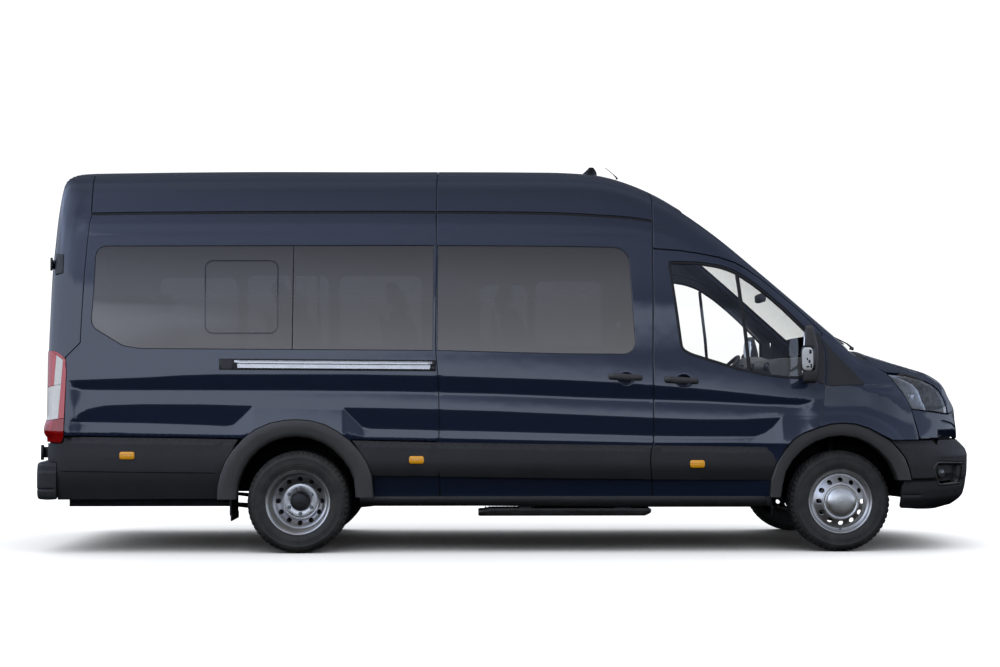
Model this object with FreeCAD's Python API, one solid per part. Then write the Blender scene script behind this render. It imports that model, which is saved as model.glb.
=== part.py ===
import FreeCAD, Part
import math
import os

# Long-wheelbase high-roof minibus, left-hand drive, sliding door on its right.
# Frame: +X forward, +Y the vehicle's left, +Z up, origin on the ground under
# the middle of its bounding box. Millimetres.

V = FreeCAD.Vector

# ---------------------------------------------------------------- dimensions
FRONT_AXLE_X = 2260.0
REAR_AXLE_X = -1490.0
NOSE_X = 3295.0
TAIL_X = -3295.0
WHEEL_Z = 350.0
TYRE_R = 350.0
TYRE_HALF = 98.0
RIM_FLANGE_R = 220.0
BEAD_R = 203.0
FRONT_TYRE_Y = 868.0
REAR_OUTER_Y = 931.0
REAR_INNER_Y = 711.0
KINGPIN_Y = 830.0
WALL = 50.0
GAP = 6.0
DOOR_AXIS = (2170.0, 1040.0)
REAR_DOOR_AXIS = (-3268.0, 915.0)
BONNET_AXIS = (2500.0, 1376.0)
FLOOR_Z = (680.0, 720.0)
CLAD_Y = 1030.0

# ---------------------------------------------------------------- the body's sections
# x | sill w,z | rocker w,z | waist w,z | belt w,z | cantrail w,z | shoulder w,z | roof edge w,z | crown z
SECTIONS = [
    (-3290, 950, 330, 1000, 480, 1014, 1000, 995, 1400, 900, 2372, 852, 2560, 745, 2652, 2746),
    (330, 950, 330, 1000, 480, 1014, 1000, 995, 1400, 900, 2366, 852, 2558, 745, 2650, 2746),
    (640, 950, 330, 1000, 480, 1014, 1000, 995, 1400, 903, 2340, 855, 2500, 745, 2612, 2718),
    (980, 950, 330, 1000, 480, 1014, 1000, 995, 1400, 908, 2302, 862, 2398, 745, 2490, 2602),
    (1240, 950, 330, 1000, 480, 1014, 1000, 995, 1400, 915, 2228, 870, 2270, 760, 2328, 2448),
    (1430, 950, 330, 1000, 480, 1014, 1000, 995, 1400, 926, 2095, 882, 2132, 770, 2190, 2310),
    (1712, 950, 330, 1000, 480, 1014, 1000, 995, 1400, 948, 1872, 905, 1905, 780, 1970, 2078),
    (2118, 950, 330, 1000, 480, 1014, 1000, 995, 1390, 974, 1530, 928, 1560, 795, 1626, 1738),
    (2400, 950, 330, 1000, 480, 1014, 980, 1000, 1230, 975, 1308, 930, 1340, 800, 1400, 1488),
    (2550, 950, 330, 1000, 480, 1014, 960, 1005, 1180, 978, 1240, 935, 1268, 805, 1325, 1424),
    (2870, 930, 330, 985, 480, 1000, 900, 985, 1080, 955, 1146, 910, 1172, 790, 1222, 1320),
    (3080, 900, 330, 960, 480, 975, 800, 950, 950, 915, 1030, 865, 1066, 740, 1118, 1231),
    (3180, 880, 330, 930, 480, 940, 760, 915, 880, 880, 950, 830, 985, 700, 1040, 1130),
    (3260, 860, 330, 900, 480, 910, 700, 885, 800, 850, 850, 790, 880, 660, 925, 1030),
]
# how each section point moves for one millimetre of offset, in w and z
OFFSET = [(-1, 1), (-1, 0), (-1, 0), (-1, 0), (-1, -0.25), (-0.85, -0.6), (-0.4, -0.95)]


def at(plane, u, v, n):
    return {"xz": V(u, n, v), "yz": V(n, u, v), "xy": V(u, v, n)}[plane]


def wire(points, plane, n=0.0):
    """A closed wire. A point with a third entry is the middle of an arc."""
    edges = []
    k = len(points)
    start = next(i for i, p in enumerate(points) if len(p) == 2)
    pts = points[start:] + points[:start]
    i = 0
    while i < k:
        a = pts[i]
        b = pts[(i + 1) % k]
        if len(b) == 3:
            c = pts[(i + 2) % k]
            edges.append(Part.Arc(at(plane, a[0], a[1], n), at(plane, b[0], b[1], n),
                                  at(plane, c[0], c[1], n)).toShape())
            i += 2
        else:
            edges.append(Part.LineSegment(at(plane, a[0], a[1], n), at(plane, b[0], b[1], n)).toShape())
            i += 1
    return Part.Wire(edges)


def prism(points, plane, lo, hi):
    face = Part.Face(wire(points, plane, lo))
    d = hi - lo
    return face.extrude({"xz": V(0, d, 0), "yz": V(d, 0, 0), "xy": V(0, 0, d)}[plane])


def box(x0, x1, y0, y1, z0, z1):
    return Part.makeBox(x1 - x0, y1 - y0, z1 - z0, V(x0, y0, z0))


def cyl_y(x, z, r, y0, y1):
    return Part.makeCylinder(r, y1 - y0, V(x, y0, z), V(0, 1, 0))


def cyl_z(x, y, r, z0, z1):
    return Part.makeCylinder(r, z1 - z0, V(x, y, z0), V(0, 0, 1))


def grow(points, d):
    """A straight-sided outline moved outward by d (negative: inward)."""
    area = sum(points[i - 1][0] * p[1] - p[0] * points[i - 1][1] for i, p in enumerate(points))
    s = 1.0 if area > 0 else -1.0
    out = []
    k = len(points)
    for i in range(k):
        a, b, c = points[i - 1], points[i], points[(i + 1) % k]
        e1 = V(b[0] - a[0], b[1] - a[1], 0).normalize()
        e2 = V(c[0] - b[0], c[1] - b[1], 0).normalize()
        n1 = V(e1.y, -e1.x, 0) * s
        n2 = V(e2.y, -e2.x, 0) * s
        m = n1 + n2
        m.multiply(1.0 / max(0.35, m.dot(n1)))
        out.append((b[0] + m.x * d, b[1] + m.y * d))
    return out


def mirror(shape):
    return shape.mirror(V(0, 0, 0), V(0, 1, 0))


def both(shape):
    return Part.makeCompound([shape, mirror(shape)])


def fuse(shapes):
    r = shapes[0]
    if len(shapes) > 1:
        r = r.fuse(shapes[1:])
    return r.removeSplitter()


def cut(a, *tools):
    return a.cut(list(tools)) if tools else a


def side_solid(points, y0=600.0, y1=1200.0):
    """An outline seen from the side, standing through the right-hand wall."""
    return prism(points, "xz", -y1, -y0)


# ---------------------------------------------------------------- the body's outer form, moved inward by t
def plan_form(t):
    h = 1060.0 - t
    pts = [(-3238 + t, -(880 - 0.4 * t)), (-3190 + 0.8 * t, -(985 - 0.8 * t), "m"), (-3080, -(h - 40)), (-2900, -h),
           (2500, -h), (2720, -(1010 - t)), (2940 - 0.6 * t, -(930 - 0.8 * t), "m"), (3080 - 0.8 * t, -(790 - 0.7 * t)),
           (3196 - t, -(480 - 0.3 * t), "m"), (3236 - t, 0)]
    pts += [(p[0], -p[1]) + tuple(p[2:]) for p in pts[-2::-1]]
    return prism(pts, "xy", 100, 2900)


def tail_form(t):
    return prism([(-3238 + t, 100), (-3235 + t, 1400), (-3195 + t, 2160), (-3166 + t, 2440), (-3128 + t, 2600),
                  (-3040 + t, 2800), (-3040 + t, 2900), (3400, 2900), (3400, 100)], "xz", -1200, 1200)


def body_form(t):
    wires = []
    for row in SECTIONS:
        x = row[0]
        half = []
        for i in range(7):
            half.append((row[1 + 2 * i] + OFFSET[i][0] * t, row[2 + 2 * i] + OFFSET[i][1] * t))
        crown = row[15] - t
        pts = [(-w, z) for w, z in half] + [(0.0, crown, "m")] + [(w, z) for w, z in reversed(half)]
        wires.append(wire(pts, "yz", x))
    loft = Part.makeLoft(wires, True, True)
    return loft.common([plan_form(t)]).common([tail_form(t)])


FORM = {t: body_form(t) for t in (0.0, WALL)}
GLASS_OUT = body_form(8.0)
GLASS_IN = body_form(14.0)
COWL_TOP = body_form(100.0)
SKIN = FORM[0.0].cut(FORM[WALL])


def panel(region):
    return region.common([SKIN])


def pane(region):
    return region.common([GLASS_OUT]).cut(GLASS_IN)


# ---------------------------------------------------------------- outlines seen from the side (x, z)
FRONT_DOOR = [(958, 384), (958, 2100), (1155, 2092), (1295, 2071), (1434, 2043), (1539, 2008), (1608, 1972),
              (1711, 1902), (1849, 1790), (1985, 1671), (2128, 1530), (2145, 1450), (2156, 1385), (2156, 1260),
              (2138, 1053), (2102, 876), (1991, 832), (1914, 783), (1850, 706), (1794, 605), (1759, 502), (1752, 384)]
SLIDING_DOOR = [(-530, 384), (-530, 2326), (319, 2322), (599, 2312), (952, 2278), (952, 384)]
REAR_QUARTER = [(-3300, 384), (-3300, 2336), (-536, 2336), (-536, 384)]
LEFT_SIDE = [(-3300, 384), (-3300, 2336), (319, 2332), (599, 2318), (952, 2284), (952, 384)]
ROOF = [(-3400, 2342), (319, 2338), (599, 2326), (952, 2290), (1193, 2234), (1400, 2165), (1440, 2200), (1600, 2280),
        (1600, 2950), (-3400, 2950)]
FENDER = [(2162, 1335), (2164, 1260), (2144, 1053), (2108, 870), (2260, 700), (2560, 776), (2800, 776), (2790, 845),
          (2740, 983), (2684, 1099), (2578, 1228), (2532, 1258), (2510, 1282), (2472, 1326)]
BONNET = [(2440, 1372), (2480, 1336), (2520, 1294), (2541, 1270), (2669, 1246), (2752, 1226), (2845, 1190), (2914, 1148),
          (2964, 1098), (2992, 1028), (3006, 958), (3400, 958), (3400, 1700), (2440, 1700)]
HEADLAMP = [(2590, 1229), (2703, 1236), (2748, 1220), (2838, 1184), (2906, 1142), (2954, 1092), (2982, 1022),
            (2994, 952), (2888, 966), (2752, 982), (2696, 1101)]
FASCIA = [(2806, 776), (2796, 850), (2760, 975), (2888, 960), (2994, 946), (3400, 946), (3400, 776)]
PILLAR = [(955, 1900), (955, 2284), (1193, 2228), (1400, 2159), (1440, 2194), (1560, 2254), (2440, 1480), (2540, 1341),
          (2164, 1341), (2100, 1480)]
DOOR_WINDOW = [(1084, 1990), (1119, 2019), (1294, 2014), (1433, 1993), (1538, 1958), (1676, 1867), (1779, 1783),
               (1881, 1692), (2004, 1570), (2048, 1500), (2066, 1205), (1869, 1201), (1730, 1218), (1626, 1236),
               (1419, 1298), (1226, 1360), (1145, 1440), (1120, 1642)]
QUARTER_WINDOW = [(-2895, 2050), (-2863, 2110), (-2822, 2118), (-560, 2128), (-560, 1396), (-2547, 1406), (-2684, 1421),
                  (-2838, 1504), (-2908, 1569), (-2920, 1604), (-2910, 1847)]
SLIDING_WINDOW = [(-505, 2128), (317, 2123), (666, 2118), (736, 2105), (778, 2077), (798, 2035), (830, 1503),
                  (834, 1454), (818, 1412), (783, 1381), (727, 1367), (-505, 1394)]
REAR_ARCH = [(-1905, 200), (-1893, 500), (-1498, 800, "m"), (-1105, 500), (-1094, 200)]
FRONT_ARCH = [(1834, 200), (1846, 466), (2256, 804, "m"), (2662, 440), (2672, 200)]
REAR_FLARE = [(-2042, 400), (-2020, 540), (-1499, 916, "m"), (-983, 532), (-970, 378), (-1096, 378), (-1105, 500),
              (-1498, 800, "m"), (-1893, 500), (-1903, 400)]
FRONT_FLARE = [(1758, 384), (1766, 502), (2250, 893, "m"), (2734, 501), (2662, 440), (2256, 804, "m"), (1846, 466),
               (1834, 384)]

arch_tools = [prism(REAR_ARCH, "xz", -1200, 1200), prism(FRONT_ARCH, "xz", -1200, 1200)]

nodes = {}

# ---------------------------------------------------------------- outer shell
roof = panel(prism(ROOF, "xz", -1200, 1200)).cut([box(-3400, -3095, -905, 905, 2200, 2500)])
nodes["roof"] = max(roof.Solids, key=lambda s: s.Volume)

quarter = panel(side_solid(REAR_QUARTER, 600, 1200))
corner_void = box(-3300, -3060, -905, 905, 300, 2500)
lamp_outline = [(-3300, 760), (-3300, 1392), (-3160, 1392), (-3122, 1370), (-3084, 1330), (-3080, 1245), (-3084, 760)]
lamp_void = side_solid(grow(lamp_outline, 2), 600, 1200)
bumper_void = box(-3300, -3134, -1100, 1100, 300, 626)
quarter = cut(quarter, corner_void, lamp_void, bumper_void, arch_tools[0], side_solid(QUARTER_WINDOW))
nodes["right_rear_side_panel"] = quarter

left_side = mirror(panel(side_solid(LEFT_SIDE, 600, 1200)))
left_windows = [mirror(side_solid(p)) for p in (QUARTER_WINDOW, SLIDING_WINDOW)]
left_side = cut(left_side, corner_void, mirror(lamp_void), bumper_void, arch_tools[0], *left_windows)
nodes["left_side_panel"] = left_side

nodes["sliding_door"] = cut(panel(side_solid(SLIDING_DOOR, 600, 1200)), side_solid(SLIDING_WINDOW))

glass = [pane(side_solid(grow(QUARTER_WINDOW, -1))), pane(side_solid(grow(SLIDING_WINDOW, -1)))]
glass += [mirror(g) for g in glass]
nodes["side_glass"] = Part.makeCompound(glass)

screen_plan = [(1340, -742), (2480, -898), (2480, 898), (1340, 742)]
screen_side = [(1452, 2196), (1660, 2300), (2420, 1690), (2420, 1560), (2372, 1350), (1452, 1350)]
screen_void = prism(grow(screen_plan, 2), "xy", 1200, 2500).common(prism(grow(screen_side, 2), "xz", -1000, 1000))
nodes["windscreen"] = pane(prism(screen_plan, "xy", 1200, 2500).common(prism(screen_side, "xz", -1000, 1000)))

door_void = side_solid(grow(FRONT_DOOR, GAP), 600, 1300)
pillar = cut(panel(side_solid(PILLAR, 500, 1200)), door_void, screen_void, box(2398, 2700, -1200, 1200, 1200, 1700))
nodes["a_pillars"] = both(max(pillar.Solids, key=lambda s: s.Volume))

cowl = prism([(2216, 1302), (2370, 1402), (2430, 1402), (2555, 1318), (2555, 1292), (2430, 1376), (2370, 1376), (2216, 1276)],
             "xz", -880, 880).common([COWL_TOP])
nodes["cowl"] = max(cowl.Solids, key=lambda s: s.Volume)

fender = cut(panel(side_solid(FENDER, 640, 1200)), prism(FRONT_FLARE[:5] + [(2600, 200), (1700, 200)], "xz", -1200, 1200),
             door_void)
nodes["front_fenders"] = both(max(fender.Solids, key=lambda s: s.Volume))

bonnet_plan = [(2482, -1010), (2512, -760), (2540, 0, "m"), (2512, 760), (2482, 1010), (3400, 1010), (3400, -1010)]
bonnet = panel(prism(BONNET, "xz", -1010, 1010)).common([prism(bonnet_plan, "xy", 900, 1700)])
nodes["bonnet"] = max(bonnet.Solids, key=lambda s: s.Volume)

headlamp = panel(side_solid(HEADLAMP, 560, 1200))
nodes["headlamps"] = both(max(headlamp.Solids, key=lambda s: s.Volume))

fascia = cut(panel(prism(FASCIA, "xz", -1200, 1200)), side_solid(grow(HEADLAMP, 2), 558, 1200),
             mirror(side_solid(grow(HEADLAMP, 2), 558, 1200)))
nodes["grille"] = fascia

nodes["tail_lamps"] = both(fuse([cut(panel(side_solid(lamp_outline, 600, 1200)), box(-3300, -3060, -907, 907, 300, 2500))]))


# ---------------------------------------------------------------- bumpers
def bumper_plan(t):
    pts = [(2560, -(1031 - t)), (2740, -(1022 - t)), (2975 - 0.6 * t, -(950 - 0.8 * t), "m"),
           (3130 - 0.8 * t, -(800 - 0.7 * t)), (3250 - t, -(510 - 0.3 * t), "m"), (3295 - t, -60), (3295 - t, 0)]
    pts = pts[:-1] + [(3295 - t, 60)] + [(p[0], -p[1]) + tuple(p[2:]) for p in pts[-3::-1]]
    return prism(pts, "xy", 200, 900)


BUMPER_SIDE = [(2596, 768), (3210, 768), (3262, 716), (3295, 668), (3295, 560), (3284, 470), (3262, 411), (3190, 330),
               (3030, 283), (2680, 300), (2672, 440), (2744, 505), (2731, 577), (2704, 652), (2650, 722)]
bumper = bumper_plan(0).common([prism(BUMPER_SIDE, "xz", -1100, 1100)])
core = bumper_plan(60).common([prism([(2500, 800), (3150, 800), (3225, 690), (3235, 560), (3222, 440), (3165, 385),
                                      (3020, 340), (2500, 340)], "xz", -1100, 1100)])
bumper = bumper.cut([core, box(2000, 3100, -700, 700, 250, 800)])
TOW = (3235.0, -420.0, 560.0)
bumper = fuse([bumper, Part.makeCylinder(32, 60, V(TOW[0] - 20, TOW[1], TOW[2]), V(1, 0, 0))])
bumper = bumper.cut([Part.makeCylinder(60, 120, V(TOW[0] + 40, TOW[1], TOW[2]), V(1, 0, 0)),
                     Part.makeCylinder(9, 50, V(TOW[0] - 10, TOW[1], TOW[2]), V(1, 0, 0))])
nodes["front_bumper"] = bumper


def tail_plan(t):
    pts = [(-3140, -(1031 - t)), (-3235 + 0.7 * t, -(1000 - 0.7 * t), "m"), (-3292 + t, -(900 - 0.4 * t)), (-3295 + t, -500)]
    pts += [(p[0], -p[1]) + tuple(p[2:]) for p in pts[::-1]]
    return prism(pts, "xy", 300, 700)


rear_bumper = tail_plan(0).common([prism([(-3140, 372), (-3140, 620), (-3290, 620), (-3295, 600), (-3295, 430), (-3280, 384)],
                                         "xz", -1100, 1100)])
rear_bumper = rear_bumper.cut([tail_plan(62).common([box(-3300, -3000, -1000, 1000, 300, 575)])])
nodes["rear_bumper"] = rear_bumper

# ---------------------------------------------------------------- lower cladding and arch flares
# x0 | x1 | z0 | z1 at x0 | z1 at x1 | depth of its inner face
CLADDING = [
    (-3080, -2010, 368, 806, 784, 1010),
    (-1006, -536, 526, 778, 766, 1010),
]
CLADDING_LEFT = [
    (-3080, -2010, 368, 806, 784, 1010),
    (-1006, 952, 526, 778, 743, 1010),
]
SLIDING_CLADDING = (-530, 952, 506, 764, 743, 1010)


def clad(row):
    x0, x1, z0, z1, z1b, inner = row
    return prism([(x0, z0), (x1, z0), (x1, z1b), (x0, z1)], "xz", -CLAD_Y, -inner)


rear_flare = prism(REAR_FLARE, "xz", -1063, -1015)
front_flare = prism(FRONT_FLARE, "xz", -1044, -1012)
front_flare = fuse([front_flare, prism([(1846, 466), (2256, 804, "m"), (2662, 440), (2690, 460), (2256, 826, "m"), (1822, 480)],
                                       "xz", -1012, -966)])
flare_out_tool = prism([REAR_FLARE[0], REAR_FLARE[1], REAR_FLARE[2], REAR_FLARE[3], REAR_FLARE[4]], "xz", -1100, -900)
right_clad = [cut(clad(r), flare_out_tool) for r in CLADDING] + [clad(SLIDING_CLADDING)]
left_clad = [mirror(cut(clad(r), flare_out_tool)) for r in CLADDING_LEFT]
nodes["side_cladding"] = Part.makeCompound(right_clad + left_clad)
nodes["arch_flares"] = Part.makeCompound([rear_flare, mirror(rear_flare), front_flare, mirror(front_flare)])

# ---------------------------------------------------------------- front doors with their mirrors
door = cut(panel(side_solid(FRONT_DOOR)), side_solid(DOOR_WINDOW))
door_clad = prism([(958, 500), (1754, 494), (1790, 605), (1846, 706), (1872, 730), (958, 743)], "xz", -CLAD_Y, -995)
door = fuse([max(door.Solids, key=lambda s: s.Volume), door_clad])
nodes["front_right_door"] = door
nodes["front_left_door"] = mirror(door)
door_glass = pane(side_solid(grow(DOOR_WINDOW, -1)))
nodes["front_right_door_glass"] = door_glass
nodes["front_left_door_glass"] = mirror(door_glass)

mirror_head = prism([(1975, 1185), (2000, 1560), (2055, 1552), (2088, 1500), (2092, 1200), (2070, 1168)], "xz", -1237, -1062)
mirror_arm = prism([(1995, 1190), (1998, 1330), (2092, 1330), (2092, 1190)], "xz", -1075, -1004)
right_mirror = fuse([mirror_head, mirror_arm]).cut([door])
right_mirror = max(right_mirror.Solids, key=lambda s: s.Volume)
nodes["right_mirror"] = right_mirror
nodes["left_mirror"] = mirror(right_mirror)

# ---------------------------------------------------------------- rear doors
tail_region = box(-3300, -3100, 4, 899, 640, 2494)
rear_left = panel(tail_region).common([box(-3300, -3100, 0, 1000, 600, 2494)])
REAR_GLASS = [(110, 1420), (800, 1420), (770, 2230), (110, 2230)]
glass_void = prism(REAR_GLASS, "yz", -3300, -3050)
rear_left = max(cut(rear_left, glass_void).Solids, key=lambda s: s.Volume)
rear_pane = pane(prism(grow(REAR_GLASS, -1), "yz", -3300, -3050))
PLATE = (640.0, 905.0)
hinges = []
for z in (684, 1500, 1990):
    hinges += [cyl_z(REAR_DOOR_AXIS[0], REAR_DOOR_AXIS[1], 10, z - 32, z + 32),
               box(REAR_DOOR_AXIS[0] - 9, REAR_DOOR_AXIS[0] + 9, 872, REAR_DOOR_AXIS[1], z - 24, z + 24),
               box(REAR_DOOR_AXIS[0] - 9, -3190, 858, 876, z - 24, z + 24)]
rear_left = fuse([rear_left] + hinges)
nodes["rear_left_door"] = rear_left
nodes["rear_right_door"] = mirror(rear_left)
nodes["rear_left_door_glass"] = rear_pane
nodes["rear_right_door_glass"] = mirror(rear_pane)

# ---------------------------------------------------------------- floor, sills, bulkhead
floor = box(-3050, 2190, -935, 935, FLOOR_Z[0], FLOOR_Z[1])
sills = [box(-3080, 1740, s * 860 - 30, s * 860 + 30, 316, 700) for s in (-1, 1)]
bulkhead = box(2172, 2212, -900, 900, 622, 1300)
toe = box(2100, 2190, -560, 560, 622, 720)
floor = fuse([floor, bulkhead, toe] + sills)
floor = floor.cut([cyl_y(REAR_AXLE_X - 8, 345, 470, -1100, -540), cyl_y(REAR_AXLE_X - 8, 345, 470, 540, 1100),
                   cyl_y(FRONT_AXLE_X - 4, 345, 476, -1100, -540), cyl_y(FRONT_AXLE_X - 4, 345, 476, 540, 1100),
                   box(1060, 1730, -1000, -760, 640, 760), box(1060, 1730, 760, 1000, 640, 760)])
nodes["floor"] = max(floor.Solids, key=lambda s: s.Volume)


def wheelhouse(x, r, z_cut):
    skin = cyl_y(x, 345, r, -998, -542).cut(cyl_y(x, 345, r - 14, -1100, -556))
    return skin.cut([box(x - 700, x + 700, -1200, 0, -400, z_cut)])


houses = []
for x, r, y_out in ((REAR_AXLE_X - 8, 468, 952), (FRONT_AXLE_X - 4, 474, 892)):
    house = wheelhouse(x, r, 420).common([box(x - 600, x + 600, -y_out, 0, 0, 1000)])
    house = house.cut([nodes["right_rear_side_panel"], box(x - 60, x + 60, -570, -500, 470, 520)])
    house = max(house.Solids, key=lambda s: s.Volume)
    houses += [house, mirror(house)]
nodes["wheelhouses"] = Part.makeCompound(houses)
nodes["b_pillars"] = both(box(905, 1005, -935, -870, 722, 2270).common([body_form(56.0)]))

# ---------------------------------------------------------------- chassis, engine, driveline
rails = [box(-3070, 2900, s * 420 - 40, s * 420 + 40, 500, 620) for s in (-1, 1)]
crossmembers = [box(x - 40, x + 40, -385, 385, 520, 600) for x in (-3030, -2160, -700, 600)]
eye_plate = box(-3150, -3060, 400, 420, 400, 510)
chassis = fuse(rails + crossmembers + [eye_plate])
TOW_REAR = (-3118.0, 410.0, 440.0)
chassis = chassis.cut([cyl_y(TOW_REAR[0], TOW_REAR[2], 20, 380, 440)])
nodes["chassis_frame"] = chassis

sub = [box(2130, 2420, -470, 470, 250, 330), box(2190, 2330, -520, -430, 250, 500), box(2190, 2330, 430, 520, 250, 500)]
for s in (-1, 1):
    arm = prism([(2180, s * 460), (2340, s * 460), (2296, s * KINGPIN_Y), (2224, s * KINGPIN_Y)], "xy", 205, 240)
    arm = arm.fuse([cyl_z(FRONT_AXLE_X, s * KINGPIN_Y, 36, 205, 240), box(2200, 2320, min(s * 450, s * 500), max(s * 450, s * 500), 205, 260)])
    sub.append(arm)
    strut = cyl_z(FRONT_AXLE_X, s * 650, 32, 480, 790)
    foot = box(2230, 2290, min(s * 470, s * 680), max(s * 470, s * 680), 480, 500)
    sub += [strut, foot]
nodes["front_subframe"] = fuse(sub)

engine = fuse([box(2225, 2850, -290, 290, 480, 1080), box(1500, 2226, -170, 170, 450, 670)])
nodes["engine"] = engine.cut([box(2165, 2222, -400, 400, 556, 1400), box(2090, 2222, -570, 570, 552, 730)])
radiator = box(2900, 2960, -400, 400, 480, 960)
nodes["radiator"] = radiator

axle = fuse([cyl_y(REAR_AXLE_X, WHEEL_Z, 48, -600, 600), Part.makeSphere(150, V(REAR_AXLE_X, 0, WHEEL_Z)),
             Part.makeCylinder(38, 2860, V(REAR_AXLE_X, 0, WHEEL_Z + 10), V(1, 0, 0.045))])
hubs = []
for s in (-1, 1):
    hubs.append(cyl_y(REAR_AXLE_X, WHEEL_Z, 150, min(s * 630, s * 760), max(s * 630, s * 760)))
    hubs.append(cyl_y(REAR_AXLE_X, WHEEL_Z, 60, min(s * 580, s * 640), max(s * 580, s * 640)))
springs = []
for s in (-1, 1):
    leaf = prism([(-2260, 330), (-1490, 262, "m"), (-740, 330), (-740, 342), (-1490, 300, "m"), (-2260, 342)], "xz",
                 s * 510 - 35, s * 510 + 35)
    springs += [leaf, cyl_y(-2260, 340, 26, s * 510 - 38, s * 510 + 38), cyl_y(-740, 340, 26, s * 510 - 38, s * 510 + 38),
                box(-2290, -2230, s * 510 - 38, s * 510 + 38, 340, 500), box(-770, -710, s * 510 - 38, s * 510 + 38, 340, 500),
                box(-2290, -2230, min(s * 460, s * 520), max(s * 460, s * 520), 480, 560),
                box(-770, -710, min(s * 460, s * 520), max(s * 460, s * 520), 480, 560),
                box(-1550, -1430, s * 510 - 45, s * 510 + 45, 255, 400)]
rear_axle = fuse([axle] + hubs + springs)
rear_axle = rear_axle.cut([box(1370, 2300, -200, 200, 300, 700)])
nodes["rear_axle"] = rear_axle

pipe = fuse([box(-780, 480, 190, 330, 380, 480),
             Part.makeCylinder(32, 1800, V(460, 260, 430), V(1, 0, 0)),
             Part.makeCylinder(32, 420, V(-760, 260, 430), V(-1, 0, 0))])
nodes["exhaust"] = pipe
tank = box(-420, 850, -820, -500, 340, 600)
nodes["fuel_tank"] = tank.makeFillet(30, tank.Edges)


# ---------------------------------------------------------------- wheels
def ring(profile, x, y):
    """Profile (radius, offset along the axle) turned about the axle at x, y."""
    pts = [V(0 + x, y + p[1], WHEEL_Z + p[0]) for p in profile]
    edges = []
    for i, p in enumerate(pts):
        q = pts[(i + 1) % len(pts)]
        edges.append(Part.LineSegment(p, q).toShape())
    return Part.Face(Part.Wire(edges)).revolve(V(x, y, WHEEL_Z), V(0, 1, 0), 360)


# radius | offset from the wheel's middle plane
TYRE = [(207, -84), (222, -90), (262, -97), (298, -98), (332, -88), (346, -76), (350, -60), (350, 60), (346, 76), (332, 88),
        (298, 98), (262, 97), (222, 90), (207, 84), (207, 70), (235, 76), (300, 78), (330, 60), (330, -60), (300, -78),
        (235, -76), (207, -70)]
# the rim with its dished disc; offset is positive towards the disc's face
RIM = [(220, -83), (206, -82), (206, -66), (206, 66), (206, 82), (220, 83), (220, 89), (200, 90), (196, 74), (180, 70),
       (150, 92), (128, 106), (40, 106), (40, 96), (125, 96), (146, 83), (176, 60), (186, 40), (194, -66), (200, -89),
       (220, -89)]


def tyre(x, y):
    return ring(TYRE, x, y)


def rim(x, y, face):
    """face is +1 when the disc's face looks to +Y."""
    body = ring([(r, face * o) for r, o in RIM], x, y)
    holes = []
    for k in range(12):
        a = math.radians(30 * k)
        holes.append(cyl_y(x + 152 * math.sin(a), WHEEL_Z + 152 * math.cos(a), 17, y - 130, y + 130))
    return body.cut(holes)


fr_y = -FRONT_TYRE_Y
cap = ring([(0, 90), (60, 90), (103, 108), (103, 112), (96, 130), (60, 141), (0, 143)], FRONT_AXLE_X, 0)
cap = cap.mirror(V(0, 0, 0), V(0, 1, 0))
cap.translate(V(0, fr_y, 0))
hub_ring = cyl_y(FRONT_AXLE_X, WHEEL_Z, 41, fr_y - 106, fr_y - 94)
front_rim = fuse([rim(FRONT_AXLE_X, fr_y, -1), cap, hub_ring])
nodes["front_right_rim"] = front_rim
nodes["front_left_rim"] = mirror(front_rim)
nodes["front_right_tyre"] = tyre(FRONT_AXLE_X, fr_y).cut([front_rim])
nodes["front_left_tyre"] = mirror(nodes["front_right_tyre"])

outer_rim = rim(REAR_AXLE_X, -REAR_OUTER_Y, 1)
inner_rim = rim(REAR_AXLE_X, -REAR_INNER_Y, -1)
rear_hub = fuse([cyl_y(REAR_AXLE_X, WHEEL_Z, 67, -905, -800), cyl_y(REAR_AXLE_X, WHEEL_Z, 119, -838, -812)])
rear_rims = fuse([outer_rim, inner_rim, rear_hub])
nodes["rear_right_rims"] = rear_rims
nodes["rear_left_rims"] = mirror(rear_rims)
nodes["rear_right_tyres"] = Part.makeCompound([tyre(REAR_AXLE_X, y).cut([rear_rims]) for y in (-REAR_OUTER_Y, -REAR_INNER_Y)])
nodes["rear_left_tyres"] = mirror(nodes["rear_right_tyres"])

# ---------------------------------------------------------------- steering knuckles with discs and calipers
knuckle = fuse([cyl_y(FRONT_AXLE_X, WHEEL_Z, 46, -952, -735), cyl_y(FRONT_AXLE_X, WHEEL_Z, 140, -905, -880),
                box(2225, 2295, -752, -702, 250, 470), box(2228, 2292, -880, -735, 250, 300),
                box(2365, 2405, -925, -860, 290, 410), box(2290, 2370, -878, -855, 320, 380)])
nodes["front_right_knuckle"] = knuckle
nodes["front_left_knuckle"] = mirror(knuckle)

# ---------------------------------------------------------------- inside the cab
nodes["dashboard"] = prism([(2150, 960), (2150, 1330), (2010, 1352), (1850, 1345), (1772, 1290), (1778, 1130), (1860, 1000),
                            (1980, 960)], "xz", -905, 905)
STEER_C = V(1660, 470, 1240)
STEER_AXIS = V(-math.cos(math.radians(42)), 0, math.sin(math.radians(42)))
wheel = Part.makeTorus(190, 16, STEER_C, STEER_AXIS)
hub = Part.makeCylinder(62, 46, STEER_C - STEER_AXIS * 40, STEER_AXIS)
spokes = []
for a in (0, 120, 240):
    bar = Part.makeBox(32, 175, 14, V(-16, 20, -22))
    bar.rotate(V(0, 0, 0), V(0, 0, 1), a + 90)
    bar.Placement = FreeCAD.Placement(STEER_C, FreeCAD.Rotation(V(0, 0, 1), STEER_AXIS)).multiply(bar.Placement)
    spokes.append(bar)
nodes["steering_wheel"] = fuse([wheel, hub] + spokes)
column = Part.makeCylinder(42, 150, STEER_C - STEER_AXIS * 196, STEER_AXIS)
nodes["dashboard"] = fuse([nodes["dashboard"], column])

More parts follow.
